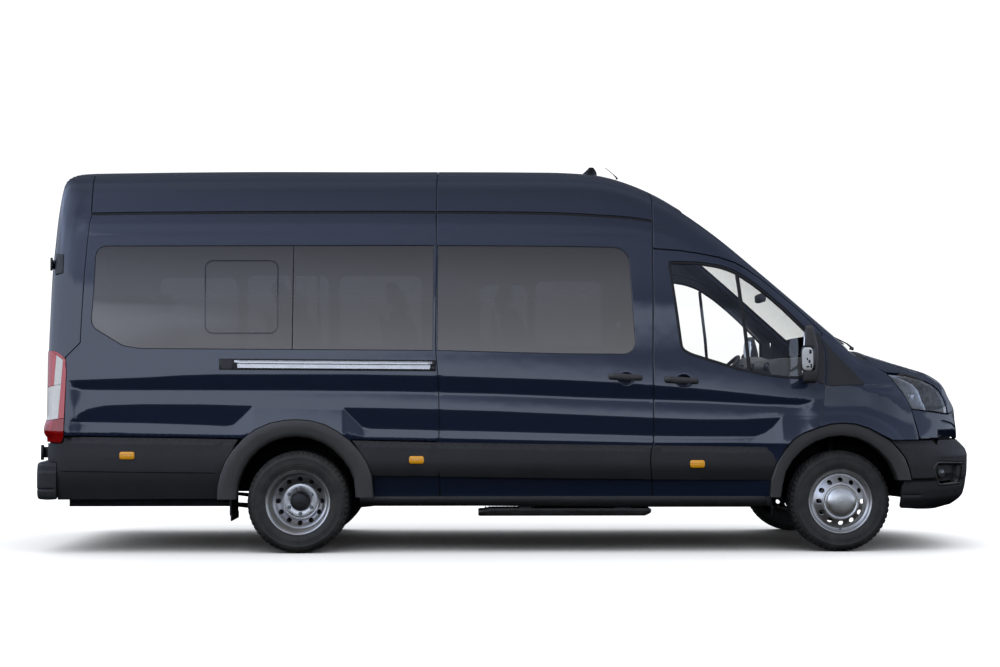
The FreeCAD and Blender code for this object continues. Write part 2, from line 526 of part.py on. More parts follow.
# seats: x of the backrest's foot | y low | y high
CAB_SEATS = [(900, 250, 720), (900, -740, 90)]
CAB_SEAT_Z = 940.0
ROWS = [(60, 30, 900), (60, -900, -470), (-740, 30, 900), (-740, -900, -470), (-1540, 30, 900), (-1540, -900, -470),
        (-2600, -900, 900)]


def seat(row, seat_z):
    x, y0, y1 = row
    cushion = prism([(x + 130, seat_z), (x + 600, seat_z + 20), (x + 620, seat_z + 110), (x + 590, seat_z + 135),
                     (x + 130, seat_z + 110)], "xz", y0, y1)
    back = prism([(x - 5, seat_z), (x + 120, seat_z), (x - 40, seat_z + 670), (x - 150, seat_z + 670)], "xz", y0, y1)
    return [cushion, back]


def headrests(row, seat_z, n):
    x, y0, y1 = row
    w = (y1 - y0) / n
    out = []
    for k in range(n):
        c = y0 + w * (k + 0.5)
        out.append(prism([(x - 158, seat_z + 675), (x - 62, seat_z + 675), (x - 84, seat_z + 850), (x - 170, seat_z + 850)], "xz",
                         c - 130, c + 130))
    return out


cab = []
for row, n in zip(CAB_SEATS, (1, 2)):
    cab += seat(row, CAB_SEAT_Z) + headrests(row, CAB_SEAT_Z, n)
nodes["cab_seats"] = Part.makeCompound(cab)
rows = []
for row in ROWS:
    n = 1 if row[2] - row[1] < 500 else (2 if row[2] - row[1] < 1000 else 4)
    rows += seat(row, 1040) + headrests(row, 1040, n)
nodes["passenger_seats"] = Part.makeCompound(rows)
bases = []
for row in CAB_SEATS:
    bases.append(box(row[0] + 40, row[0] + 560, row[1] + 40, row[2] - 40, 721, 935))
for row in ROWS:
    bases.append(box(row[0] + 30, row[0] + 560, row[1] + 60, row[2] - 60, 980, 1035)
                 .fuse([box(row[0] + 60, row[0] + 110, row[1] + 80, row[2] - 80, 721, 1000),
                        box(row[0] + 460, row[0] + 510, row[1] + 80, row[2] - 80, 721, 1000)]))
bases = [max(b.cut([nodes["wheelhouses"]]).Solids, key=lambda s: s.Volume) for b in bases]
nodes["seat_frames"] = Part.makeCompound(bases)

# ---------------------------------------------------------------- spare wheel, step, aerial
spare = ring([(207, -84), (262, -97), (332, -88), (350, -60), (350, 60), (332, 88), (262, 97), (207, 84)], 0, 0)
spare_rim = ring([(0, -20), (206, -20), (206, 20), (0, 20)], 0, 0)
spare = fuse([spare, spare_rim])
spare.translate(V(0, 0, -WHEEL_Z))
spare.rotate(V(0, 0, 0), V(1, 0, 0), 90)
spare.rotate(V(0, 0, 0), V(0, 1, 0), -3)
spare.translate(V(-2535, 0, 412))
spare = spare.cut([box(-3300, 3300, -1000, 1000, 496, 700)])
nodes["spare_wheel"] = max(spare.Solids, key=lambda s: s.Volume)

step = prism([(-254, 296), (-215, 304), (940, 304), (945, 290), (945, 262), (905, 250), (-215, 252), (-250, 270)], "xz",
             -985, -745)
brackets = [box(x - 30, x + 30, -900, -760, 290, 316) for x in (60, 760)]
nodes["side_step"] = fuse([step] + brackets)

fin = prism([(322, 2745), (352, 2762), (398, 2825), (412, 2835), (424, 2826), (438, 2745)], "xz", -22, 22)
fin = fin.cut([nodes["roof"]])
nodes["roof_aerial"] = max(fin.Solids, key=lambda s: s.Volume)

if __name__ == "__main__":
    os.makedirs("parts", exist_ok=True)
    for name, shape in nodes.items():
        solids = shape.Solids
        bad = [s for s in solids if not s.isValid() or s.Volume < 100]
        b = shape.BoundBox
        print("%-26s solids %2d faces %4d vol %8.4f dm3  X %6.0f %6.0f Y %6.0f %6.0f Z %6.0f %6.0f %s" % (
            name, len(solids), len(shape.Faces), shape.Volume / 1e6, b.XMin, b.XMax, b.YMin, b.YMax, b.ZMin, b.ZMax,
            "BAD" if bad else ""))
        if len(solids) == 1:
            shape = solids[0]
        else:
            shape = Part.makeCompound([s for s in solids if s.Volume >= 100])
        shape.exportStep("parts/%s.step" % name)
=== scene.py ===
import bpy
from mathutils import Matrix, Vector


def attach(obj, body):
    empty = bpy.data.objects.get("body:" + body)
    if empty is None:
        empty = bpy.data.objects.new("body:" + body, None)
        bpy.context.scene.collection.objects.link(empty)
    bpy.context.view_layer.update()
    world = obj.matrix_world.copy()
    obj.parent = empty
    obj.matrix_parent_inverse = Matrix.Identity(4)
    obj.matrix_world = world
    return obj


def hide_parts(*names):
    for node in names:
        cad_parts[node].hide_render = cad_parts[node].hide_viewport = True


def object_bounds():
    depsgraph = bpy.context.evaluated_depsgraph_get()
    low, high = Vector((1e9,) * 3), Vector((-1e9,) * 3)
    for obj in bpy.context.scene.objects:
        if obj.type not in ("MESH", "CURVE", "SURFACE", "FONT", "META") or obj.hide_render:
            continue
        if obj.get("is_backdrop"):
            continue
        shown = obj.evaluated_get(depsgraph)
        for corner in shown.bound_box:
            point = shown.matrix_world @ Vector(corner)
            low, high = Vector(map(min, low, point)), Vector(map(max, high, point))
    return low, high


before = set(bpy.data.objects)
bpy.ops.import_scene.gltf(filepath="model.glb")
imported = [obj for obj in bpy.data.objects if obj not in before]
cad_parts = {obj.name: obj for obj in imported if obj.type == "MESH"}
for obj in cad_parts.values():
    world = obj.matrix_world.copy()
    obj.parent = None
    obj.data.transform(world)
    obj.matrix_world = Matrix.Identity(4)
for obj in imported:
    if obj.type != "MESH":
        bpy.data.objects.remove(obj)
CAD_BOX = [list(map(float, v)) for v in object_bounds()]

import math

import bpy
import numpy as np
from mathutils import Matrix, Vector
from mathutils.geometry import delaunay_2d_cdt

scene = bpy.context.scene


# =====================================================================================
# 1. small numeric tools
# =====================================================================================
def curve(xs, ys):
    """A smooth curve through a table, straight outside it."""
    xs = np.asarray(xs, float)
    ys = np.asarray(ys, float)
    d = np.diff(ys) / np.diff(xs)
    h = np.diff(xs)
    m = np.empty(len(xs))
    m[0], m[-1] = d[0], d[-1]
    for i in range(1, len(xs) - 1):
        m[i] = (d[i - 1] * h[i] + d[i] * h[i - 1]) / (h[i] + h[i - 1])

    def f(x):
        x = np.asarray(x, float)
        k = np.clip(np.searchsorted(xs, x) - 1, 0, len(xs) - 2)
        t = (x - xs[k]) / h[k]
        tc = np.clip(t, 0, 1)
        a = (1 + 2 * tc) * (1 - tc) ** 2 * ys[k] + tc * (1 - tc) ** 2 * h[k] * m[k]
        b = tc * tc * (3 - 2 * tc) * ys[k + 1] + tc * tc * (tc - 1) * h[k] * m[k + 1]
        r = a + b
        r = np.where(t < 0, ys[0] + m[0] * (x - xs[0]), r)
        return np.where(t > 1, ys[-1] + m[-1] * (x - xs[-1]), r)

    return f


def lines(pts, soft=0.0):
    """Straight runs through (x, z) points, with their corners softened over a distance."""
    xs = np.array([p[0] for p in pts], float)
    ys = np.array([p[1] for p in pts], float)
    if soft <= 0:
        return lambda x: np.interp(x, xs, ys)
    g = np.arange(xs[0] - 0.2, xs[-1] + 0.2, 0.004)
    v = np.interp(g, xs, ys)
    r = int(max(1, round(soft / 0.004)))
    k = np.hanning(2 * r + 3)
    k /= k.sum()
    v = np.convolve(np.pad(v, r + 1, mode="edge"), k, mode="valid")
    return lambda x: np.interp(x, g, v)


def soft_step(t, w):
    """0 below 0, t above it, with its corner rounded over w."""
    t = t / w
    return w * np.where(t > 25, t, np.log1p(np.exp(np.clip(t, -40, 25))))


def smax(a, b, k):
    return 0.5 * (a + b + np.sqrt((a - b) ** 2 + k * k))


# =====================================================================================
# 2. the body's outer surface, as one field: negative inside, positive outside
# =====================================================================================
crown = curve(
    [-3.4, -3.0, -2.0, -1.0, -0.3, 0.1, 0.4, 0.65, 0.87, 1.06, 1.24, 1.42, 1.70, 1.97, 2.24, 2.43, 2.50, 2.58, 2.72, 2.87,
     3.00, 3.10, 3.18, 3.26],
    [2.7200, 2.7290, 2.7441, 2.7462, 2.7476, 2.7459, 2.7402, 2.7166, 2.6494, 2.5600, 2.4478, 2.3162, 2.0877, 1.8623, 1.6296,
     1.4633, 1.4421, 1.4121, 1.3682, 1.3204, 1.2785, 1.2183, 1.1246, 1.0382])
camber = curve([-3.4, 0.3, 0.7, 1.0, 1.4, 2.3, 2.5, 2.9, 3.1, 3.3], [0.20, 0.20, 0.19, 0.175, 0.165, 0.165, 0.15, 0.15, 0.16,
                                                                    0.17])
side_base = curve([0.2, 0.9, 1.3, 1.4, 1.55, 1.8, 2.0, 2.15, 2.30, 2.363, 2.45, 2.55, 2.65, 2.8],
                  [1.1185, 1.0468, 1.0058, 0.9955, 0.9818, 0.9612, 0.9408, 0.9238, 0.9050, 0.8960, 0.8800, 0.856, 0.820,
                   0.760])
gutter = curve([-3.3, -3.036, -3.009, -2.885, -2.191, -1.496, -0.562, -0.101, 0.319, 0.599, 0.879, 0.984, 1.089, 1.193, 1.256,
                1.43],
               [2.336, 2.338, 2.345, 2.349, 2.358, 2.363, 2.365, 2.363, 2.356, 2.342, 2.318, 2.300, 2.276, 2.240, 2.214,
                2.110])


def smooth_step(t, a, b):
    t = np.clip((t - a) / (b - a), 0, 1)
    return t * t * (3 - 2 * t)


# the feature lines of the side, seen from the side: x, z
line_a = lines([(-3.08, 1.186), (-2.85, 1.194), (-2.51, 1.207), (-2.30, 1.221), (-2.03, 1.228), (-1.14, 1.228),
                (-0.53, 1.218), (-0.10, 1.204), (0.31, 1.191), (0.73, 1.170), (1.28, 1.129), (1.69, 1.087), (2.062, 1.049),
                (2.6, 1.02)], 0.06)
line_b = lines([(-3.08, 1.182), (-3.052, 1.180), (-3.036, 1.150), (-3.012, 1.131), (-2.965, 1.123), (-2.85, 1.121), (-1.48, 1.118), (-0.79, 1.111),
                (-0.10, 1.094), (0.59, 1.066), (1.28, 1.046), (1.69, 1.025), (1.97, 1.018), (2.027, 1.032), (2.062, 1.049),
                (2.6, 1.02)], 0.012)
line_c = lines([(-3.10, 0.87), (-3.03, 0.916), (-2.983, 0.964), (-2.915, 0.995), (-2.81, 1.015), (-2.57, 1.023),
                (-2.16, 1.022), (-1.80, 1.012), (-1.50, 1.005), (-1.183, 1.001), (-0.79, 0.994), (-0.53, 0.987),
                (-0.10, 0.974), (0.31, 0.956), (0.95, 0.929), (1.28, 0.918), (1.56, 0.918), (1.839, 0.932), (2.6, 0.93)],
               0.02)
line_d = lines([(-3.10, 0.868), (-3.03, 0.902), (-2.85, 0.899), (-2.50, 0.892), (-2.16, 0.881), (-1.99, 0.872),
                (-1.937, 0.881), (-1.868, 0.943), (-1.80, 1.012), (-1.50, 1.005), (-1.183, 0.998), (-1.121, 0.936),
                (-1.052, 0.867), (-0.997, 0.854), (-0.53, 0.843), (-0.10, 0.833), (0.31, 0.822), (0.95, 0.805), (1.28, 0.801),
                (1.66, 0.801), (1.728, 0.825), (1.783, 0.866), (1.839, 0.932), (2.6, 0.93)], 0.012)
line_e = lines([(-3.1, 0.832), (-2.85, 0.830), (-2.16, 0.816), (-1.96, 0.813), (-1.3, 0.82), (-1.114, 0.809),
                (-1.031, 0.795), (-0.53, 0.788), (-0.10, 0.778), (0.95, 0.756), (1.55, 0.756), (1.73, 0.752), (2.6, 0.75)],
               0.02)
line_f = lines([(-3.1, 0.806), (-2.71, 0.799), (-2.30, 0.794), (-1.89, 0.785), (-1.114, 0.778), (-0.53, 0.764),
                (-0.10, 0.757), (0.31, 0.751), (0.95, 0.743), (1.28, 0.739), (1.72, 0.732), (2.6, 0.73)], 0.02)
# how much the slope of the width changes below each line: line, change, softness
line_m = lambda x: 0.5 * (line_b(x) + line_c(x)) - 0.005
FEATURES = [(line_a, -0.2525, 0.0035), (line_b, 0.275, 0.004), (line_m, -0.016, 0.035), (line_c, -0.225, 0.0035), (line_d, 0.2405, 0.004),
            (line_e, -0.3085, 0.003), (line_f, 0.10, 0.004)]


def half_width(x, z):
    w = side_base(z)
    zz = z - gutter(x) + 2.363
    here = smooth_step(x, -3.06, -2.98) * (1 - smooth_step(x, 0.98, 1.27))
    w = w + here * (0.0045 * smooth_step(zz, 2.16, 2.30) * (1 - smooth_step(zz, 2.322, 2.343)) - 0.003 *
                    smooth_step(zz, 2.30, 2.35) * (1 - smooth_step(zz, 2.40, 2.46)))
    for f, change, soft in FEATURES:
        w = w + change * soft_step(f(x) - z, soft)
    w = w - 0.10 * soft_step(0.50 - z, 0.01)
    return w


rear_x = curve([0.2, 0.9, 1.15, 1.4, 1.74, 1.95, 2.16, 2.30, 2.44, 2.58, 2.75],
               [-3.240, -3.243, -3.250, -3.255, -3.250, -3.244, -3.229, -3.219, -3.205, -3.188, -3.150])
nose_x = curve([0.2, 0.6, 0.80, 0.92, 1.00, 1.08, 1.3], [3.20, 3.225, 3.2521, 3.2450, 3.2424, 3.2103, 3.2242])
NOSE_X0, NOSE_N = 2.42, 2.75
REAR_X0, REAR_N = -2.90, 8.0


def field(p, wide=0.0):
    x, y, z = p[..., 0], np.abs(p[..., 1]), p[..., 2]
    w = half_width(x, z)
    a = nose_x(z) - NOSE_X0
    n = NOSE_N
    nose = (y / w) ** n + (np.maximum(x - NOSE_X0, 0) / a) ** n
    nose = (nose ** (1 / n) - 1) * w
    b = REAR_X0 - rear_x(z)
    n = REAR_N
    rear = (y / w) ** n + (np.maximum(REAR_X0 - x, 0) / b) ** n
    rear = (rear ** (1 / n) - 1) * w
    plan = np.where(x > 0, nose, rear)
    h = crown(x) - camber(x) * y * y
    slope = (crown(x + 0.01) - crown(x - 0.01)) / 0.02
    top = (z - h) / np.sqrt(1 + np.minimum(slope ** 2, 2.0))
    k = np.interp(x, [-3.25, -3.0, 0.4, 1.0, 1.6, 2.3, 2.6, 3.0, 3.2], [0.045, 0.07, 0.07, 0.06, 0.045, 0.045, 0.06, 0.07, 0.06])
    return smax(plan, top, k) - wide


def normals(p, f=None):
    f = f or field
    e = 0.0006
    g = np.empty(p.shape)
    for i in range(3):
        d = np.zeros(3)
        d[i] = e
        g[:, i] = f(p + d) - f(p - d)
    return g / np.maximum(np.linalg.norm(g, axis=1, keepdims=True), 1e-12)


def hit(origin, way, t0, t1, steps=13, f=None):
    """Where rays from inside leave the body (Illinois steps on the field)."""
    f = f or field
    a = np.full(len(origin), float(t0))
    b = np.full(len(origin), float(t1))
    fa = f(origin + way * a[:, None])
    fb = f(origin + way * b[:, None])
    side = np.zeros(len(origin))
    for _ in range(steps):
        c = (a * fb - b * fa) / np.where(np.abs(fb - fa) < 1e-12, 1e-12, fb - fa)
        c = np.clip(c, np.minimum(a, b), np.maximum(a, b))
        fc = f(origin + way * c[:, None])
        pos = fc > 0
        fa = np.where(pos & (side > 0), fa * 0.5, fa)
        fb = np.where(~pos & (side < 0), fb * 0.5, fb)
        b = np.where(pos, c, b)
        fb = np.where(pos, fc, fb)
        a = np.where(pos, a, c)
        fa = np.where(pos, fa, fc)
        side = np.where(pos, 1, -1)
    t = np.where(np.abs(fa) < np.abs(fb), a, b)
    return origin + way * t[:, None]


# ways of unrolling the surface: (u, v) to a ray
class Side:
    """u = x, v = z; rays go to the right (-Y)."""

    @staticmethod
    def at(uv):
        o = np.stack([uv[:, 0], np.zeros(len(uv)), uv[:, 1]], 1)
        w = np.tile([0.0, -1.0, 0.0], (len(uv), 1))
        return hit(o, w, 0.3, 1.2)

    @staticmethod
    def back(p):
        return p[:, [0, 2]]


class Star:
    """u, v = azimuth and elevation (metres at one metre) seen from a point inside the nose."""
    c = np.array([2.30, 0.0, 0.66])

    @classmethod
    def at(cls, uv):
        az, el = uv[:, 0], uv[:, 1]
        w = np.stack([np.cos(az) * np.cos(el), np.sin(az) * np.cos(el), np.sin(el)], 1)
        return hit(np.tile(cls.c, (len(uv), 1)), w, 0.2, 1.6)

    @classmethod
    def back(cls, p):
        d = p - cls.c
        return np.stack([np.arctan2(d[:, 1], d[:, 0]), np.arctan2(d[:, 2], np.hypot(d[:, 0], d[:, 1]))], 1)


class Girth:
    """u = x, v = angle round a lengthwise line inside the roof (0 at -Y, pi/2 straight up)."""

    @staticmethod
    def centre(x):
        return np.maximum(np.minimum(1.60, crown(x) - 0.80), 0.9)

    @classmethod
    def at(cls, uv):
        o = np.stack([uv[:, 0], np.zeros(len(uv)), cls.centre(uv[:, 0])], 1)
        w = np.stack([np.zeros(len(uv)), -np.cos(uv[:, 1]), np.sin(uv[:, 1])], 1)
        return hit(o, w, 0.2, 1.5)

    @classmethod
    def back(cls, p):
        return np.stack([p[:, 0], np.arctan2(p[:, 2] - cls.centre(p[:, 0]), -p[:, 1])], 1)


class Top:
    """u = x, v = y; rays go up."""

    @staticmethod
    def at(uv):
        o = np.stack([uv[:, 0], uv[:, 1], np.full(len(uv), 1.0)], 1)
        w = np.tile([0.0, 0.0, 1.0], (len(uv), 1))
        return hit(o, w, 0.0, 2.0)

    @staticmethod
    def back(p):
        return p[:, [0, 1]]


class Corner:
    """u = angle round an upright line inside the rear right corner (0 at -Y, pi/2 at -X), v = z."""
    x, y = -3.02, -0.80

    @classmethod
    def at(cls, uv):
        o = np.stack([np.full(len(uv), cls.x), np.full(len(uv), cls.y), uv[:, 1]], 1)
        w = np.stack([-np.sin(uv[:, 0]), -np.cos(uv[:, 0]), np.zeros(len(uv))], 1)
        return hit(o, w, 0.02, 0.5)

    @classmethod
    def back(cls, p):
        return np.stack([np.arctan2(-(p[:, 0] - cls.x), -(p[:, 1] - cls.y)), p[:, 2]], 1)


class Tail:
    """u, v = azimuth from straight back (towards +Y) and elevation, seen from a point inside the rear."""
    c = np.array([-2.20, 0.0, 1.50])

    @classmethod
    def at(cls, uv):
        az, el = uv[:, 0], uv[:, 1]
        w = np.stack([-np.cos(az) * np.cos(el), np.sin(az) * np.cos(el), np.sin(el)], 1)
        return hit(np.tile(cls.c, (len(uv), 1)), w, 0.3, 2.4)

    @classmethod
    def back(cls, p):
        d = p - cls.c
        return np.stack([np.arctan2(d[:, 1], -d[:, 0]), np.arctan2(d[:, 2], np.hypot(d[:, 0], d[:, 1]))], 1)


class Rear:
    """u = y, v = z; rays go backwards (-X)."""

    @staticmethod
    def at(uv):
        o = np.stack([np.full(len(uv), -2.8), uv[:, 0], uv[:, 1]], 1)
        w = np.tile([-1.0, 0.0, 0.0], (len(uv), 1))
        return hit(o, w, 0.05, 0.7)

    @staticmethod
    def back(p):
        return p[:, [1, 2]]


# =====================================================================================
# 3. outlines
# =====================================================================================
def rounded(pts, radius=0.0, step=0.03):
    """A closed outline with rounded corners (a third entry is that corner's radius), in short steps."""
    out = []
    k = len(pts)
    for i in range(k):
        a, b, c = (np.array(pts[j % k][:2], float) for j in (i - 1, i, i + 1))
        r = pts[i][2] if len(pts[i]) > 2 else radius
        u, v = a - b, c - b
        lu, lv = np.linalg.norm(u), np.linalg.norm(v)
        u, v = u / lu, v / lv
        ang = math.acos(max(-1, min(1, float(u @ v))))
        if r <= 0 or ang > math.radians(176):
            out.append(b)
            continue
        d = min(r / math.tan(ang / 2), 0.48 * lu, 0.48 * lv)
        rr = d * math.tan(ang / 2)
        mid = (u + v) / np.linalg.norm(u + v)
        cen = b + mid * (rr / math.sin(ang / 2))
        p0, p1 = b + u * d, b + v * d
        n = max(2, int(math.ceil((math.pi - ang) / math.radians(12))))
        a0 = math.atan2(*(p0 - cen)[::-1])
        a1 = math.atan2(*(p1 - cen)[::-1])
        da = (a1 - a0 + math.pi) % (2 * math.pi) - math.pi
        for q in range(n + 1):
            t = a0 + da * q / n
            out.append(cen + rr * np.array([math.cos(t), math.sin(t)]))
    out = np.array(out)
    return dense(out, step)


def dense(pts, step, closed=True):
    res = []
    k = len(pts)
    for i in range(k if closed else k - 1):
        a, b = pts[i], pts[(i + 1) % k]
        n = max(1, int(math.ceil(np.linalg.norm(b - a) / step)))
        for q in range(n):
            res.append(a + (b - a) * q / n)
    if not closed:
        res.append(pts[-1])
    res = np.array(res)
    keep = [0]
    for i in range(1, len(res)):
        if np.linalg.norm(res[i] - res[keep[-1]]) > 2e-4:
            keep.append(i)
    return res[keep]


def area(p):
    return 0.5 * float(np.sum(p[:, 0] * np.roll(p[:, 1], -1) - np.roll(p[:, 0], -1) * p[:, 1]))


def inset(p, d):
    """The outline moved inward by d."""
    s = 1.0 if area(p) > 0 else -1.0
    e = np.roll(p, -1, 0) - p
    e /= np.maximum(np.linalg.norm(e, axis=1, keepdims=True), 1e-9)
    n = np.stack([-e[:, 1], e[:, 0]], 1) * s
    m = n + np.roll(n, 1, 0)
    q = np.maximum(np.sum(m * n, 1), 0.5)
    return p + m * (d / q)[:, None]


def inside(p, poly):
    x, y = p[:, 0], p[:, 1]
    r = np.zeros(len(p), bool)
    a, b = poly, np.roll(poly, -1, 0)
    for (x0, y0), (x1, y1) in zip(a, b):
        if y0 == y1:
            continue
        c = (y0 > y) != (y1 > y)
        r ^= c & (x < (x1 - x0) * (y - y0) / (y1 - y0) + x0)
    return r


def near(p, poly, d):
    """True for points closer than d to the outline."""
    a, b = poly, np.roll(poly, -1, 0)
    r = np.zeros(len(p), bool)
    for q0, q1 in zip(a, b):
        e = q1 - q0
        t = np.clip(((p - q0) @ e) / max(1e-12, e @ e), 0, 1)
        r |= np.sum((p - q0 - t[:, None] * e) ** 2, 1) < d * d
    return r


# =====================================================================================
# 4. meshes
# =====================================================================================
def new_object(name, verts, faces, loop_normals=None, mats=(), mat_index=None, smooth=True):
    good = [len(set(map(int, f))) == len(f) for f in faces]
    if not all(good):
        if loop_normals is not None:
            keep = np.repeat(good, [len(f) for f in faces])
            loop_normals = [n for n, k in zip(loop_normals, keep) if k]
        if mat_index is not None:
            mat_index = [m for m, k in zip(mat_index, good) if k]
        faces = [f for f, k in zip(faces, good) if k]
    me = bpy.data.meshes.new(name)
    me.from_pydata([tuple(map(float, v)) for v in verts], [], [tuple(map(int, f)) for f in faces])
    for m in mats:
        me.materials.append(m)
    if mat_index is not None:
        me.polygons.foreach_set("material_index", np.asarray(mat_index, np.int32))
    me.polygons.foreach_set("use_smooth", np.full(len(me.polygons), smooth))
    me.update()
    if loop_normals is not None and len(loop_normals) == len(me.loops) and np.isfinite(np.array(loop_normals, float)).all():
        me.normals_split_custom_set([tuple(map(float, n)) for n in loop_normals])
    ob = bpy.data.objects.new(name, me)
    scene.collection.objects.link(ob)
    return ob


def triangulate(rings, extra, lips=()):
    """Fills between rings[0] (outer) and the others (holes), using the extra points too."""
    pts = [r for r in rings]
    edges = []
    base = 0
    allp = []
    for r in pts:
        k = len(r)
        edges += [(base + i, base + (i + 1) % k) for i in range(k)]
        allp.append(r)
        base += k
    if len(extra):
        allp.append(extra)
    for r in lips:
        k = len(r)
        edges += [(base + i, base + (i + 1) % k) for i in range(k)]
        base += k
    allp = np.concatenate(allp)
    out = delaunay_2d_cdt([Vector((float(a), float(b))) for a, b in allp], edges, [], 0, 1e-7)
    vs = np.array([tuple(v) for v in out[0]])
    fs = np.array([f for f in out[2] if len(f) == 3], int).reshape(-1, 3)
    orig = out[3]
    c = vs[fs].mean(1)
    keep = inside(c, rings[0])
    for h in rings[1:]:
        keep &= ~inside(c, h)
    fs = fs[keep]
    t = vs[fs]
    ar = (t[:, 1, 0] - t[:, 0, 0]) * (t[:, 2, 1] - t[:, 0, 1]) - (t[:, 2, 0] - t[:, 0, 0]) * (t[:, 1, 1] - t[:, 0, 1])
    fs = fs[np.abs(ar) > 1e-10]
    ar = ar[np.abs(ar) > 1e-10]
    fs[ar < 0] = fs[ar < 0][:, ::-1]
    back = {}
    for i, o in enumerate(orig):
        for q in o:
            back[q] = i
    return vs, fs, back


def panel(name, dom, outer, holes=(), grid=None, thick=0.04, depth=0.0, edge=0.0016, lip=0.003, gap=0.0025, mats=(), hole_gap=0.0,
          inner=True, tilt=None):
    """A thick panel of the body's surface. outer and holes are outlines in the domain's own coordinates."""
    rings = [inset(outer, gap)] + [inset(h, -hole_gap) for h in holes]
    if area(rings[0]) < 0:
        rings[0] = rings[0][::-1]
    for i in range(1, len(rings)):
        if area(rings[i]) > 0:
            rings[i] = rings[i][::-1]
    lips = []
    if lip > 0:
        lips = [inset(rings[0], lip)] + [inset(r, -lip) for r in rings[1:]]
    pts = grid if grid is not None else np.zeros((0, 2))
    if len(pts):
        ok = inside(pts, rings[0])
        for h in rings[1:]:
            ok &= ~inside(pts, h)
        pts = pts[ok]
        for r in list(rings) + list(lips):
            pts = pts[~near(pts, r, max(lip * 1.2, 0.004))]
    ex = [q for q in lips] + ([pts] if len(pts) else [])
    ex = np.concatenate(ex) if ex else np.zeros((0, 2))
    uv, tri, back = triangulate(rings, ex, lips)
    p = dom.at(uv)
    n = dom.normal(uv, p) if hasattr(dom, "normal") else normals(p)
    if callable(depth):
        depth = depth(p)[:, None]
        shifted = p - n * depth
        bent = bend(shifted, tri, n)
        step_ = depth[tri][..., 0]
        hot = step_.max(1) - step_.min(1) > 1e-6
        touched = np.zeros(len(p), bool)
        touched[tri[hot].ravel()] = True
        n = np.where(touched[:, None], bent, n)
    flip = np.sum(np.cross(p[tri[:, 1]] - p[tri[:, 0]], p[tri[:, 2]] - p[tri[:, 0]]) * n[tri[:, 0]]) < 0
    if flip:
        tri = tri[:, ::-1]
    is_edge = np.zeros(len(uv), bool)
    ring_ids = []
    base = 0
    for r in rings:
        ids = [back[base + i] for i in range(len(r))]
        is_edge[ids] = True
        ring_ids.append(ids)
        base += len(r)
    # in-surface direction pointing out of the panel at its edges
    outw = np.zeros(p.shape)
    for ids in ring_ids:
        q = p[ids]
        tang = np.roll(q, -1, 0) - np.roll(q, 1, 0)
        tang /= np.maximum(np.linalg.norm(tang, axis=1, keepdims=True), 1e-9)
        o = np.cross(tang, n[ids])
        o *= (-1.0 if flip else 1.0)
        outw[ids] = o / np.maximum(np.linalg.norm(o, axis=1, keepdims=True), 1e-9)
    top = p - n * depth
    sh = n.copy()
    if tilt is not None:
        sh = sh + np.array(tilt, float)
        sh /= np.linalg.norm(sh, axis=1, keepdims=True)
    top[is_edge] -= n[is_edge] * edge
    sh[is_edge] = n[is_edge] + 0.9 * outw[is_edge]
    sh /= np.linalg.norm(sh, axis=1, keepdims=True)
    verts = [top]
    faces = [tuple(f) for f in tri]
    lno = [sh[v] for f in tri for v in f]
    mi = [0] * len(tri)
    nv = len(top)
    low = p - n * (depth + thick)
    used = np.zeros(len(uv), bool)
    used[tri.ravel()] = True
    verts.append(low)
    for ids in ring_ids:
        k = len(ids)
        for i in range(k):
            a, b = ids[i], ids[(i + 1) % k]
            f = (b, a, nv + a, nv + b) if not flip else (a, b, nv + b, nv + a)
            faces.append(f)
            mi.append(0)
            for v in f:
                w = v if v < nv else v - nv
                lno.append(outw[w])
    if inner:
        for f in tri:
            faces.append((nv + f[2], nv + f[1], nv + f[0]))
            lno += [-n[f[2]], -n[f[1]], -n[f[0]]]
            mi.append(1 if len(mats) > 1 else 0)
    verts = np.concatenate(verts)
    keep = np.concatenate([used, used])
    idx = np.cumsum(keep) - 1
    verts = verts[keep]
    faces = [tuple(idx[v] for v in f) for f in faces]
    return new_object(name, verts, faces, lno, mats, mi)


def bend(p, tri, n0):
    """Vertex normals of a triangle mesh, kept on the side of n0."""
    f = np.cross(p[tri[:, 1]] - p[tri[:, 0]], p[tri[:, 2]] - p[tri[:, 0]])
    n = np.zeros(p.shape)
    for i in range(3):
        np.add.at(n, tri[:, i], f)
    n /= np.maximum(np.linalg.norm(n, axis=1, keepdims=True), 1e-12)
    n *= np.where(np.sum(n * n0, 1) < 0, -1.0, 1.0)[:, None]
    return np.where(np.linalg.norm(n, axis=1, keepdims=True) < 0.5, n0, n)


def mirrored(ob, name):
    """The same piece on the other side."""
    me = ob.data
    n = len(me.vertices)
    co = np.empty(n * 3)
    me.vertices.foreach_get("co", co)
    co = co.reshape(-1, 3) * [1, -1, 1]
    cn = np.empty(len(me.loops) * 3)
    me.corner_normals.foreach_get("vector", cn)
    cn = cn.reshape(-1, 3) * [1, -1, 1]
    faces, lno, mi, sm = [], [], [], []
    for p in me.polygons:
        idx = list(p.vertices)[::-1]
        ls = list(p.loop_indices)[::-1]
        faces.append(idx)
        lno += [cn[i] for i in ls]
        mi.append(p.material_index)
        sm.append(p.use_smooth)
    r = new_object(name, co, faces, lno, list(me.materials), mi)
    r.data.polygons.foreach_set("use_smooth", sm)
    return r


